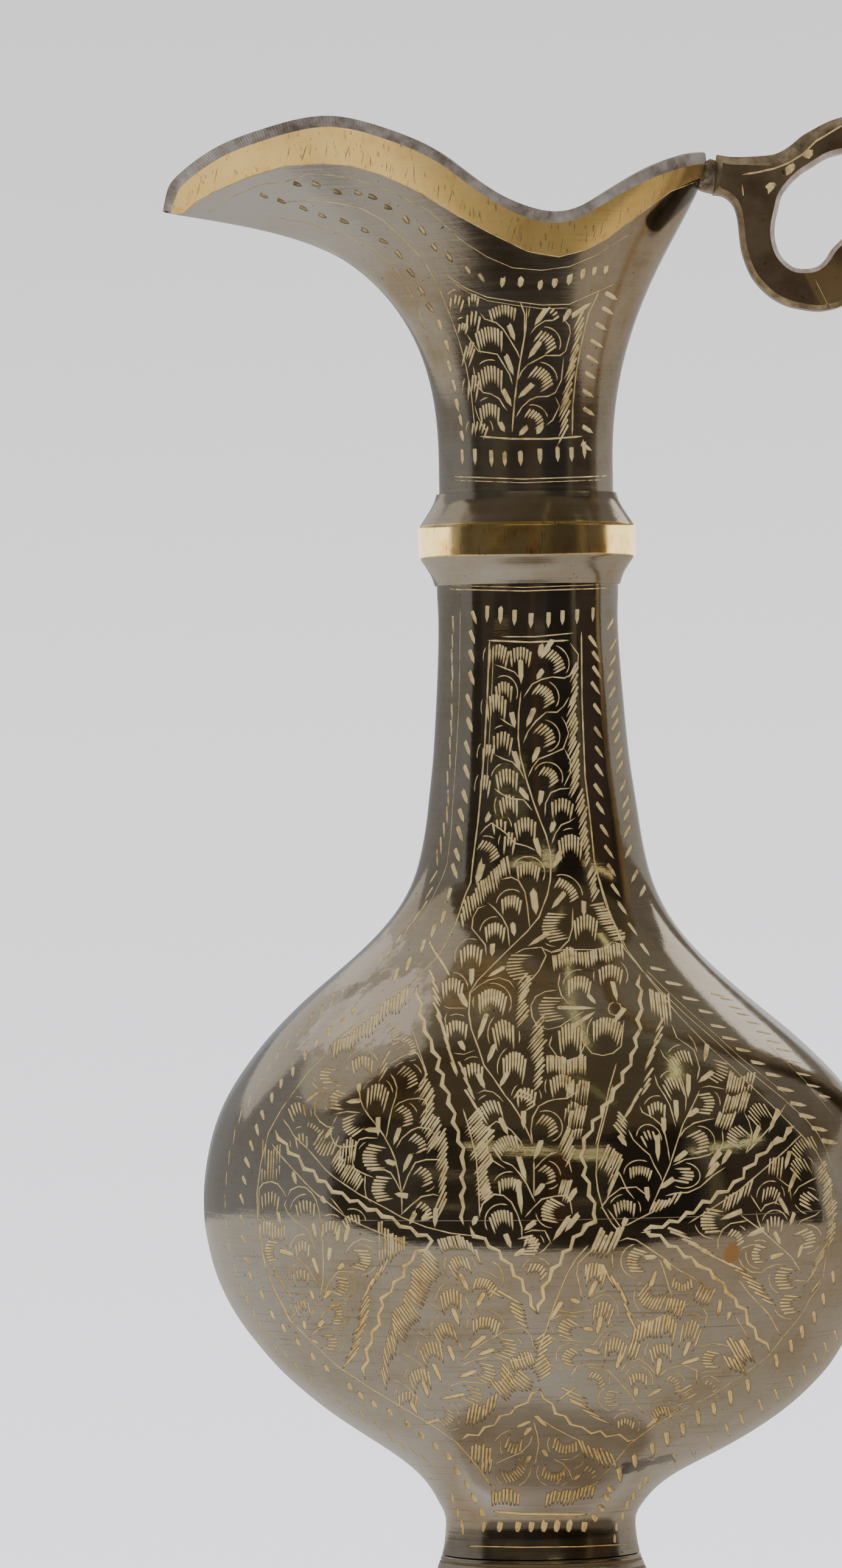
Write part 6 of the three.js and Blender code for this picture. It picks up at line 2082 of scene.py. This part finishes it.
def tin_wash(name, light=0.8, turned_marks=1.0, scuffed=0.0):
    """Thin grey tin over brass: brown where it has worn, with turning and rubbing scratches."""
    k = Shade(name)
    patches = k.noise(30.0, 3.0, 0.6, distortion=0.4)
    blotch = k.noise(150.0, 4.0, 0.6)
    fine = k.noise(850.0, 3.0, 0.6)
    rubbed = k.noise(1.0, 3.0, 0.6, k.stretched((34.0, 34.0, 2300.0)))
    hair = k.noise(1.0, 2.0, 0.5, k.stretched((70.0, 70.0, 5200.0), (3.0, 1.0, 7.0)))
    low = k.span(k.height(), 0.0795, 0.0835, 1.0, 0.25)
    worn = k.math("MULTIPLY_ADD", patches, 0.62, k.math("MULTIPLY", blotch, 0.28))
    worn = k.math("MULTIPLY_ADD", fine, 0.12, worn)
    worn = k.math("MULTIPLY_ADD", rubbed, 0.10, worn)
    l = light
    colour = k.ramp(
        worn,
        [
            (0.36, (0.36 * l, 0.265 * l, 0.155 * l)),
            (0.47, (0.49 * l, 0.405 * l, 0.29 * l)),
            (0.57, (0.57 * l, 0.505 * l, 0.41 * l)),
            (0.70, (0.63 * l, 0.59 * l, 0.52 * l)),
        ],
    )
    red = k.span(k.noise(46.0, 4.0, 0.6, k.stretched((1, 1, 1), (5.0, 2.0, 9.0))), 0.60, 0.70, 0.0, 0.45)
    colour = k.mix(red, colour, (0.50, 0.33, 0.20))
    dark_hair = k.math("MULTIPLY", k.span(hair, 0.60, 0.72, 0.0, 0.55), low)
    colour = k.mix(dark_hair, colour, (0.16, 0.13, 0.10))
    speck = k.span(k.noise(1250.0, 2.0, 0.5, k.stretched((1, 1, 1.6), (2.0, 8.0, 1.0))), 0.715, 0.745, 0.0, 0.85)
    colour = k.mix(speck, colour, (0.10, 0.075, 0.05))
    rough = k.math("MULTIPLY_ADD", rubbed, 0.16, k.math("MULTIPLY_ADD", blotch, 0.14, 0.03))
    if name == "tinned_brass":
        # a pale patch under the belly, which is a painted reflection, paler and rougher spots on the left shoulder, a
        # brown stain and a smear where it was handled
        colour = k.mix(k.math("MULTIPLY", k.bar((-13.0, 43.8), (1.5, 43.8), 5.6, 2.2), 0.8), colour, (0.70, 0.68, 0.66))
        # and a painted dark reflection across the waist of the stem
        colour = k.mix(k.math("MULTIPLY", k.bar((-14.2, 34.8), (4.2, 34.8), 1.5, 0.35), 0.72), colour, (0.07, 0.058, 0.045))
        for at, reach in (((-33.9, -12.5, 127.4), 7.0), ((-31.0, -29.0, 120.3), 9.0), ((-38.0, -24.0, 116.5), 7.0)):
            mask = k.spot(at, reach, 0.9)
            colour = k.mix(k.math("MULTIPLY", mask, 0.75), colour, (0.84, 0.74, 0.67))
            rough = k.math("MULTIPLY_ADD", mask, 0.12, rough)
        colour = k.mix(k.math("MULTIPLY", k.spot((24.0, -46.4, 81.3), 1.9, 0.5), 0.8), colour, (0.50, 0.26, 0.08))
        colour = k.mix(k.math("MULTIPLY", k.spot((9.0, -21.5, 45.3), 3.0, 0.8), 0.9), colour, (0.07, 0.055, 0.045))
        colour = k.mix(k.math("MULTIPLY", k.spot((13.0, -19.5, 47.3), 2.6, 0.8), 0.8), colour, (0.09, 0.07, 0.055))
        colour = k.mix(k.math("MULTIPLY", k.spot((-27.5, -42.0, 108.0), 4.0, 0.9), 0.5), colour, (0.20, 0.15, 0.11))
    if name == "tinned_brass_mouth":
        # a painted dark reflection beside the handle's tang, and brighter towards the tip of the spout
        colour = k.mix(k.math("MULTIPLY", k.bar((15.1, 247.6), (21.6, 254.0), 1.6, 0.2), 0.93), colour, (0.035, 0.027, 0.02))
        place = k.t.nodes.new("ShaderNodeSeparateXYZ")
        k.t.links.new(k.coord, place.inputs[0])
        colour = k.mix(k.span(place.outputs["X"], -0.028, -0.052, 0.0, 0.7), colour, (0.64, 0.635, 0.625))
    marks = 0.55 * turned_marks
    if name == "tinned_brass":
        # the upper belly and neck are burnished closer than the underside
        rough = k.math("MULTIPLY", rough, k.span(k.height(), 0.0795, 0.0835, 1.0, 0.62))
        marks = k.span(k.height(), 0.0795, 0.0835, 0.55, 0.26)
    rough = k.math("MULTIPLY_ADD", speck, 0.2, rough)
    metallic = 1.0
    if scuffed:
        below = k.span(k.height(), 0.0245, 0.0295, 1.0, 0.0)
        rough = k.math("MULTIPLY_ADD", below, scuffed, rough)
        metallic = k.math("MULTIPLY_ADD", below, -1.5 * scuffed, 1.0)
    h = k.math("MULTIPLY_ADD", rubbed, marks, k.math("MULTIPLY", fine, 0.40))
    h = k.math("MULTIPLY_ADD", blotch, 0.9, h)
    k.bump(h, 0.55, 0.00005)
    return k.done(colour, metallic, rough)


def cut_brass(name):
    """Fresh yellow brass in the graver's cuts, with painted shade along their edges that is partly old dirt."""
    k = Shade(name)
    n = k.noise(700.0, 3.0, 0.6)
    big = k.noise(60.0, 3.0, 0.6)
    colour = k.ramp(
        k.math("MULTIPLY_ADD", n, 0.5, k.math("MULTIPLY", big, 0.5)),
        [(0.36, (0.46, 0.32, 0.13)), (0.46, (0.76, 0.58, 0.27)), (0.62, (0.90, 0.74, 0.40))],
    )
    # below the seam the cuts are tinted a deeper gold and their edge shade spreads further: a painted reflection and
    # painted shade on one brass
    low = k.span(k.height(), 0.0775, 0.0825, 1.0, 0.0)
    colour = k.mix(low, colour, k.mix(1.0, colour, (1.08, 0.99, 0.80), "MULTIPLY"))
    inside = k.t.nodes.new("ShaderNodeAttribute")
    inside.attribute_name = "deep"
    # painted shade along the cuts' edges, partly old dirt: the shallower the cut, the darker; cuts under about 0.014 mm
    # deep are dark all over
    shallow = k.math("MULTIPLY_ADD", low, -0.008, k.math("MULTIPLY_ADD", n, 0.02, inside.outputs["Fac"]))
    edge_shade_and_dirt = k.span(shallow, 0.014, 0.034, 0.9, 0.0)
    colour = k.mix(edge_shade_and_dirt, colour, (0.10, 0.06, 0.03))
    k.bump(n, 0.4, 0.00003)
    return k.done(colour, 0.60, k.math("MULTIPLY_ADD", n, 0.2, 0.28))


def bare_brass(name, metallic=1.0, deeper=1.0):
    """Polished bare brass with short scratches."""
    k = Shade(name)
    n = k.noise(240.0, 4.0, 0.6)
    turn = k.noise(1.0, 3.0, 0.6, k.stretched((30.0, 30.0, 3600.0)))
    tick = k.noise(1.0, 2.0, 0.5, k.stretched((1900.0, 1900.0, 260.0), (4.0, 0.0, 0.0)))
    colour = k.ramp(n, [(0.30, (0.72, 0.46, 0.16)), (0.48, (0.93, 0.68, 0.30)), (0.68, (0.98, 0.80, 0.42))])
    if deeper < 1.0:
        colour = k.mix(0.55, colour, (0.95, 0.72, 0.34))
        colour = k.mix(1.0, colour, (1.0, deeper, deeper * deeper * 0.78), "MULTIPLY")
        place = k.t.nodes.new("ShaderNodeSeparateXYZ")
        k.t.links.new(k.coord, place.inputs[0])
        metallic = k.span(place.outputs["X"], -0.034, -0.006, 0.5, 0.84)
        # painted dark reflection: browner towards the handle's tang, carrying the dark patch beside the tang onto the
        # band
        colour = k.mix(k.span(place.outputs["X"], 0.008, 0.020, 0.0, 0.62), colour, (0.36, 0.24, 0.09))
    colour = k.mix(k.span(tick, 0.62, 0.70, 0.0, 0.6), colour, (0.30, 0.19, 0.07))
    k.bump(k.math("MULTIPLY_ADD", turn, 0.5, n), 0.4, 0.00004)
    return k.done(colour, metallic, k.math("MULTIPLY_ADD", turn, 0.14, 0.13))


def filed_edge(name, warm, light=1.0):
    """Metal left from the file, browned in the hollows of its marks."""
    k = Shade(name)
    n = k.noise(420.0, 4.0, 0.65)
    big = k.noise(48.0, 3.0, 0.6)
    mixed = k.math("MULTIPLY_ADD", n, 0.55, k.math("MULTIPLY", big, 0.45))
    if warm:
        stops = [(0.36, (0.14, 0.10, 0.06)), (0.48, (0.30, 0.23, 0.145)), (0.62, (0.57, 0.46, 0.29))]
    else:
        stops = [(0.36, (0.20, 0.16, 0.13)), (0.48, (0.40, 0.345, 0.30)), (0.62, (0.60, 0.55, 0.50))]
    stops = [(at, tuple(min(c * light, 0.9) for c in colour)) for at, colour in stops]
    k.bump(n, 0.6, 0.00006)
    return k.done(k.ramp(mixed, stops), 0.8 if warm else 0.72, k.math("MULTIPLY_ADD", n, 0.2, 0.3))


def bronze_face(name):
    k = Shade(name)
    n = k.noise(90.0, 5.0, 0.62)
    fine = k.noise(1400.0, 3.0, 0.6)
    pits = k.span(k.noise(620.0, 3.0, 0.6, k.stretched((1, 1, 1), (1.0, 6.0, 2.0))), 0.66, 0.74, 0.0, 0.8)
    colour = k.ramp(n, [(0.32, (0.15, 0.10, 0.06)), (0.50, (0.26, 0.19, 0.12)), (0.68, (0.38, 0.30, 0.20))])
    # the strap is rubbed to a golden brown below the ring
    place = k.t.nodes.new("ShaderNodeSeparateXYZ")
    k.t.links.new(k.coord, place.inputs[0])
    along = k.math("MULTIPLY_ADD", place.outputs["Z"], 0.447, k.math("MULTIPLY", place.outputs["X"], 0.894))
    beyond = k.span(along, 0.1421, 0.1426)
    rubbed = k.math("MULTIPLY", beyond, k.span(place.outputs["Z"], 0.2395, 0.2425, 0.75, 0.0))
    rubbed = k.math("MULTIPLY", rubbed, k.span(place.outputs["Z"], 0.212, 0.228, 0.25, 1.0))
    colour = k.mix(rubbed, colour, (0.50, 0.35, 0.16))
    colour = k.mix(pits, colour, (0.10, 0.07, 0.04))
    k.bump(k.math("SUBTRACT", k.math("MULTIPLY_ADD", fine, 0.3, n), k.math("MULTIPLY", pits, 0.6)), 0.6, 0.00008)
    return k.done(colour, 0.92, k.math("MULTIPLY_ADD", n, 0.22, 0.2))


def braze(name):
    k = Shade(name)
    n = k.noise(500.0, 4.0, 0.65)
    colour = k.ramp(n, [(0.34, (0.16, 0.115, 0.07)), (0.50, (0.30, 0.235, 0.16)), (0.66, (0.50, 0.43, 0.33))])
    k.bump(n, 0.8, 0.0001)
    return k.done(colour, 0.85, k.math("MULTIPLY_ADD", n, 0.25, 0.25))


tin = tin_wash("tinned_brass")
tin_mouth = tin_wash("tinned_brass_mouth", 0.85, 0.5)
tin_foot = tin_wash("tinned_brass_foot", 0.9, 1.0, 0.30)
cuts = cut_brass("cut_brass")
gold = bare_brass("bare_brass")
gold_band = bare_brass("bare_brass_band", 0.68, 0.9)
rim_edge = filed_edge("filed_rim", False)
handle_edge = filed_edge("filed_handle", True)
hole_edge = filed_edge("ring_edge", False, 1.5)
handle_face = bronze_face("handle_bronze")
solder = braze("solder")

made = {}
for ob in build_body([tin, cuts]):
    made[ob.name.split(".")[0]] = (ob, "tinned_brass")
made["mouth_and_spout"] = (build_mouth([tin_mouth, cuts, gold_band, rim_edge]), "tinned_brass")
made["neck_collar"] = (build_collar([tin_mouth, gold]), "bare_brass")
made["foot"] = (build_foot([tin_foot, cuts]), "tinned_brass")
made["handle"] = (
    build_handle([handle_face, cuts, handle_edge, hole_edge, handle_face]),
    "handle_bronze",
)
made["handle_foot_braze"] = (build_braze_foot([solder]), "solder")
made["handle_top_braze"] = (build_braze_top([solder]), "solder")
for node, (ob, slot) in made.items():
    ob.name = "seen_" + node
    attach(ob, "root")
    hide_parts(node)


# ------------------------------------------------------------------------------------------
# Floor, surroundings and light
# ------------------------------------------------------------------------------------------
def emission(name, colour, strength=1.0):
    mat = bpy.data.materials.new(name)
    mat.use_nodes = True
    t = mat.node_tree
    t.nodes.clear()
    out = t.nodes.new("ShaderNodeOutputMaterial")
    e = t.nodes.new("ShaderNodeEmission")
    e.inputs["Color"].default_value = (*colour, 1.0)
    e.inputs["Strength"].default_value = strength
    t.links.new(e.outputs[0], out.inputs["Surface"])
    return mat


def card(name, verts, faces, mat):
    """A sheet that only the polished metal sees, as the studio's walls and lamps."""
    me = bpy.data.meshes.new(name)
    me.from_pydata(verts, [], faces)
    me.materials.append(mat)
    ob = bpy.data.objects.new(name, me)
    bpy.context.scene.collection.objects.link(ob)
    ob.visible_camera = False
    ob.visible_shadow = False
    ob.visible_diffuse = False
    ob.visible_transmission = False
    return ob


def arc(name, r, az0, az1, z0, z1, mat, n=36):
    """Part of a round wall about the jug; azimuth 0 is the camera's side, 90 the handle's."""
    v, f = [], []
    for i in range(n + 1):
        a = math.radians(az0 + (az1 - az0) * i / n)
        x, y = AX * MM + r * math.sin(a), -r * math.cos(a)
        v += [(x, y, z0), (x, y, z1)]
    for i in range(n):
        f.append((2 * i, 2 * i + 1, 2 * i + 3, 2 * i + 2))
    return card(name, v, f, mat)


def dome(name, r, az0, az1, el0, el1, mat, n=36, m=12):
    """Part of a round vault about the jug's middle, from one elevation to another."""
    v, f = [], []
    for i in range(n + 1):
        a = math.radians(az0 + (az1 - az0) * i / n)
        for j in range(m + 1):
            e = math.radians(el0 + (el1 - el0) * j / m)
            v.append(
                (AX * MM + r * math.cos(e) * math.sin(a), -r * math.cos(e) * math.cos(a), 0.1 + r * math.sin(e))
            )
    for i in range(n):
        for j in range(m):
            k = i * (m + 1) + j
            f.append((k, k + 1, k + m + 2, k + m + 1))
    return card(name, v, f, mat)


world = bpy.data.worlds.new("studio")
bpy.context.scene.world = world
world.use_nodes = True
wt = world.node_tree
bg = wt.nodes["Background"]
sky = wt.nodes.new("ShaderNodeTexCoord")
split = wt.nodes.new("ShaderNodeSeparateXYZ")
wt.links.new(sky.outputs["Generated"], split.inputs[0])
rise = wt.nodes.new("ShaderNodeMapRange")
rise.inputs["From Min"].default_value = -0.08
rise.inputs["From Max"].default_value = 0.08
wt.links.new(split.outputs["Z"], rise.inputs["Value"])
fade = wt.nodes.new("ShaderNodeMix")
fade.data_type = "RGBA"
fade.inputs[6].default_value = (1.80, 1.77, 1.90, 1.0)
fade.inputs[7].default_value = (1.13, 1.13, 1.15, 1.0)
wt.links.new(rise.outputs["Result"], fade.inputs["Factor"])
wt.links.new(fade.outputs[2], bg.inputs["Color"])
bg.inputs["Strength"].default_value = 1.0

# the room as the metal mirrors it: dark on the camera's side, grey to the left, light behind
for name, az0, az1, el0, el1, colour in (
    ("front_low", -76, 106, -16, 38, (0.038, 0.031, 0.022)),
    ("front_high", -96, 116, 38, 90, (0.105, 0.084, 0.052)),
    ("left_low", -182, -76, -6, 34, (0.275, 0.272, 0.268)),
    ("left_high", -182, -96, 34, 66, (0.58, 0.54, 0.47)),
    ("left_top", -182, -96, 66, 90, (0.20, 0.17, 0.12)),
    ("left_mid", -96, -76, 34, 38, (0.15, 0.135, 0.11)),
    ("right_low", 106, 178, -6, 13, (0.43, 0.42, 0.39)),
    ("right_mid", 106, 178, 13, 38, (0.20, 0.175, 0.145)),
    ("right_high", 116, 178, 38, 90, (0.24, 0.215, 0.165)),
):
    dome(name, 1.5, az0, az1, el0, el1, emission(name, colour), 30, 8)
for name, az0, az1, el0, el1, colour in (
    ("strip_left", -62, -44, -14, 36, (0.070, 0.060, 0.046)),
    ("strip_thin", -26, -22, -14, 30, (0.062, 0.050, 0.036)),
    ("strip_brown", 2, 9, -14, 30, (0.074, 0.041, 0.026)),
    ("strip_dark", 24, 54, -15, 36, (0.016, 0.012, 0.009)),
    ("strip_right", 57, 63, -10, 36, (0.135, 0.115, 0.075)),
    ("strip_rust", 66, 92, -12, 20, (0.058, 0.040, 0.029)),
    ("line_low", -28, 29, 29.0, 30.6, (1.8, 1.7, 0.95)),
    ("line_high", 9, 88, 25.0, 26.4, (1.8, 1.7, 0.95)),
    ("line_a", -60, -6, 15.4, 16.4, (0.40, 0.36, 0.20)),
    ("line_b", 20, 54, 18.0, 19.0, (0.40, 0.36, 0.20)),
    ("line_c", -46, -24, 5.0, 6.2, (0.36, 0.31, 0.18)),
    ("line_d", 0, 20, 6.5, 7.2, (0.36, 0.31, 0.18)),
    ("glint_a", -152, -124, 77.8, 79.2, (1.7, 1.7, 0.8)),
    ("glint_b", 92, 124, 76.6, 77.6, (1.4, 1.4, 0.66)),
    ("glint_c", 91, 110, 58.6, 60.8, (1.2, 1.2, 0.56)),
    ("glint_d", 37, 40, 58, 76, (0.40, 0.40, 0.19)),
    ("window_left", -172, -134, 14, 33, (0.66, 0.62, 0.56)),
    ("strip_bright", 138, 172, 20, 36, (1.25, 1.18, 1.07)),
    ("strip_edge", -182, -164, -2, 13, (0.36, 0.38, 0.40)),
    ("strip_edge_right", 164, 178, -6, 14, (0.75, 0.75, 0.75)),
):
    dome(name, 1.44, az0, az1, el0, el1, emission(name, colour), 16, 6)
for name, az0, az1 in (("by_collar_left", -178, -66), ("by_collar_right", 69, 178)):
    arc(name, 0.031, az0, az1, 0.1905, 0.2015, emission(name, (2.3, 2.15, 1.7)))
# the table about the jug goes on as far as the metal can see, but ends before the camera; it
# is darker and browner towards the handle
table = bpy.data.materials.new("table")
table.use_nodes = True
tt = table.node_tree
tt.nodes.clear()
where_x = tt.nodes.new("ShaderNodeSeparateXYZ")
tt.links.new(tt.nodes.new("ShaderNodeTexCoord").outputs["Object"], where_x.inputs[0])
fall = tt.nodes.new("ShaderNodeMapRange")
fall.inputs["From Min"].default_value = -0.05
fall.inputs["From Max"].default_value = 0.12
tt.links.new(where_x.outputs["X"], fall.inputs["Value"])
tint = tt.nodes.new("ShaderNodeMix")
tint.data_type = "RGBA"
tint.inputs[6].default_value = (0.64, 0.605, 0.55, 1.0)
tint.inputs[7].default_value = (0.50, 0.44, 0.36, 1.0)
tt.links.new(fall.outputs["Result"], tint.inputs["Factor"])
glow = tt.nodes.new("ShaderNodeEmission")
tt.links.new(tint.outputs[2], glow.inputs["Color"])
tt.links.new(glow.outputs[0], tt.nodes.new("ShaderNodeOutputMaterial").inputs["Surface"])
card("table_round", [(-1.6, -0.33, 0.0005), (1.6, -0.33, 0.0005), (1.6, 1.6, 0.0005), (-1.6, 1.6, 0.0005)], [(0, 1, 2, 3)], table)
card(
    "dark_ground",
    [(-1.6, -1.6, -0.012), (1.6, -1.6, -0.012), (1.6, -0.33, -0.012), (-1.6, -0.33, -0.012)],
    [(0, 1, 2, 3)],
    emission("dark_ground", (0.038, 0.031, 0.022)),
)

floor_shade = Shade("floor")
grain = floor_shade.noise(14.0, 4.0, 0.6)
floor_shade.done(floor_shade.ramp(grain, [(0.3, (0.60, 0.60, 0.605)), (0.7, (0.64, 0.64, 0.645))]), 0.0, 0.8)
me = bpy.data.meshes.new("floor")
me.from_pydata([(-0.5, -0.33, 0), (0.5, -0.33, 0), (0.5, 0.31, 0), (-0.5, 0.31, 0)], [], [(0, 1, 2, 3)])
me.materials.append(floor_shade.mat)
floor = bpy.data.objects.new("floor", me)
bpy.context.scene.collection.objects.link(floor)


def lamp(name, at, to, size, power, colour=(1, 1, 1)):
    data = bpy.data.lights.new(name, "AREA")
    data.shape = "DISK"
    data.size = size
    data.energy = power
    data.color = colour
    ob = bpy.data.objects.new(name, data)
    bpy.context.scene.collection.objects.link(ob)
    ob.location = at
    ob.rotation_euler = (Vector(to) - Vector(at)).to_track_quat("-Z", "Y").to_euler()
    ob.visible_glossy = False
    return ob


lamp("key", (-0.7, -1.1, 1.3), (0, 0, 0.12), 0.7, 7.0)
lamp("fill", (1.1, -0.9, 0.9), (0, 0, 0.12), 0.9, 3.0)
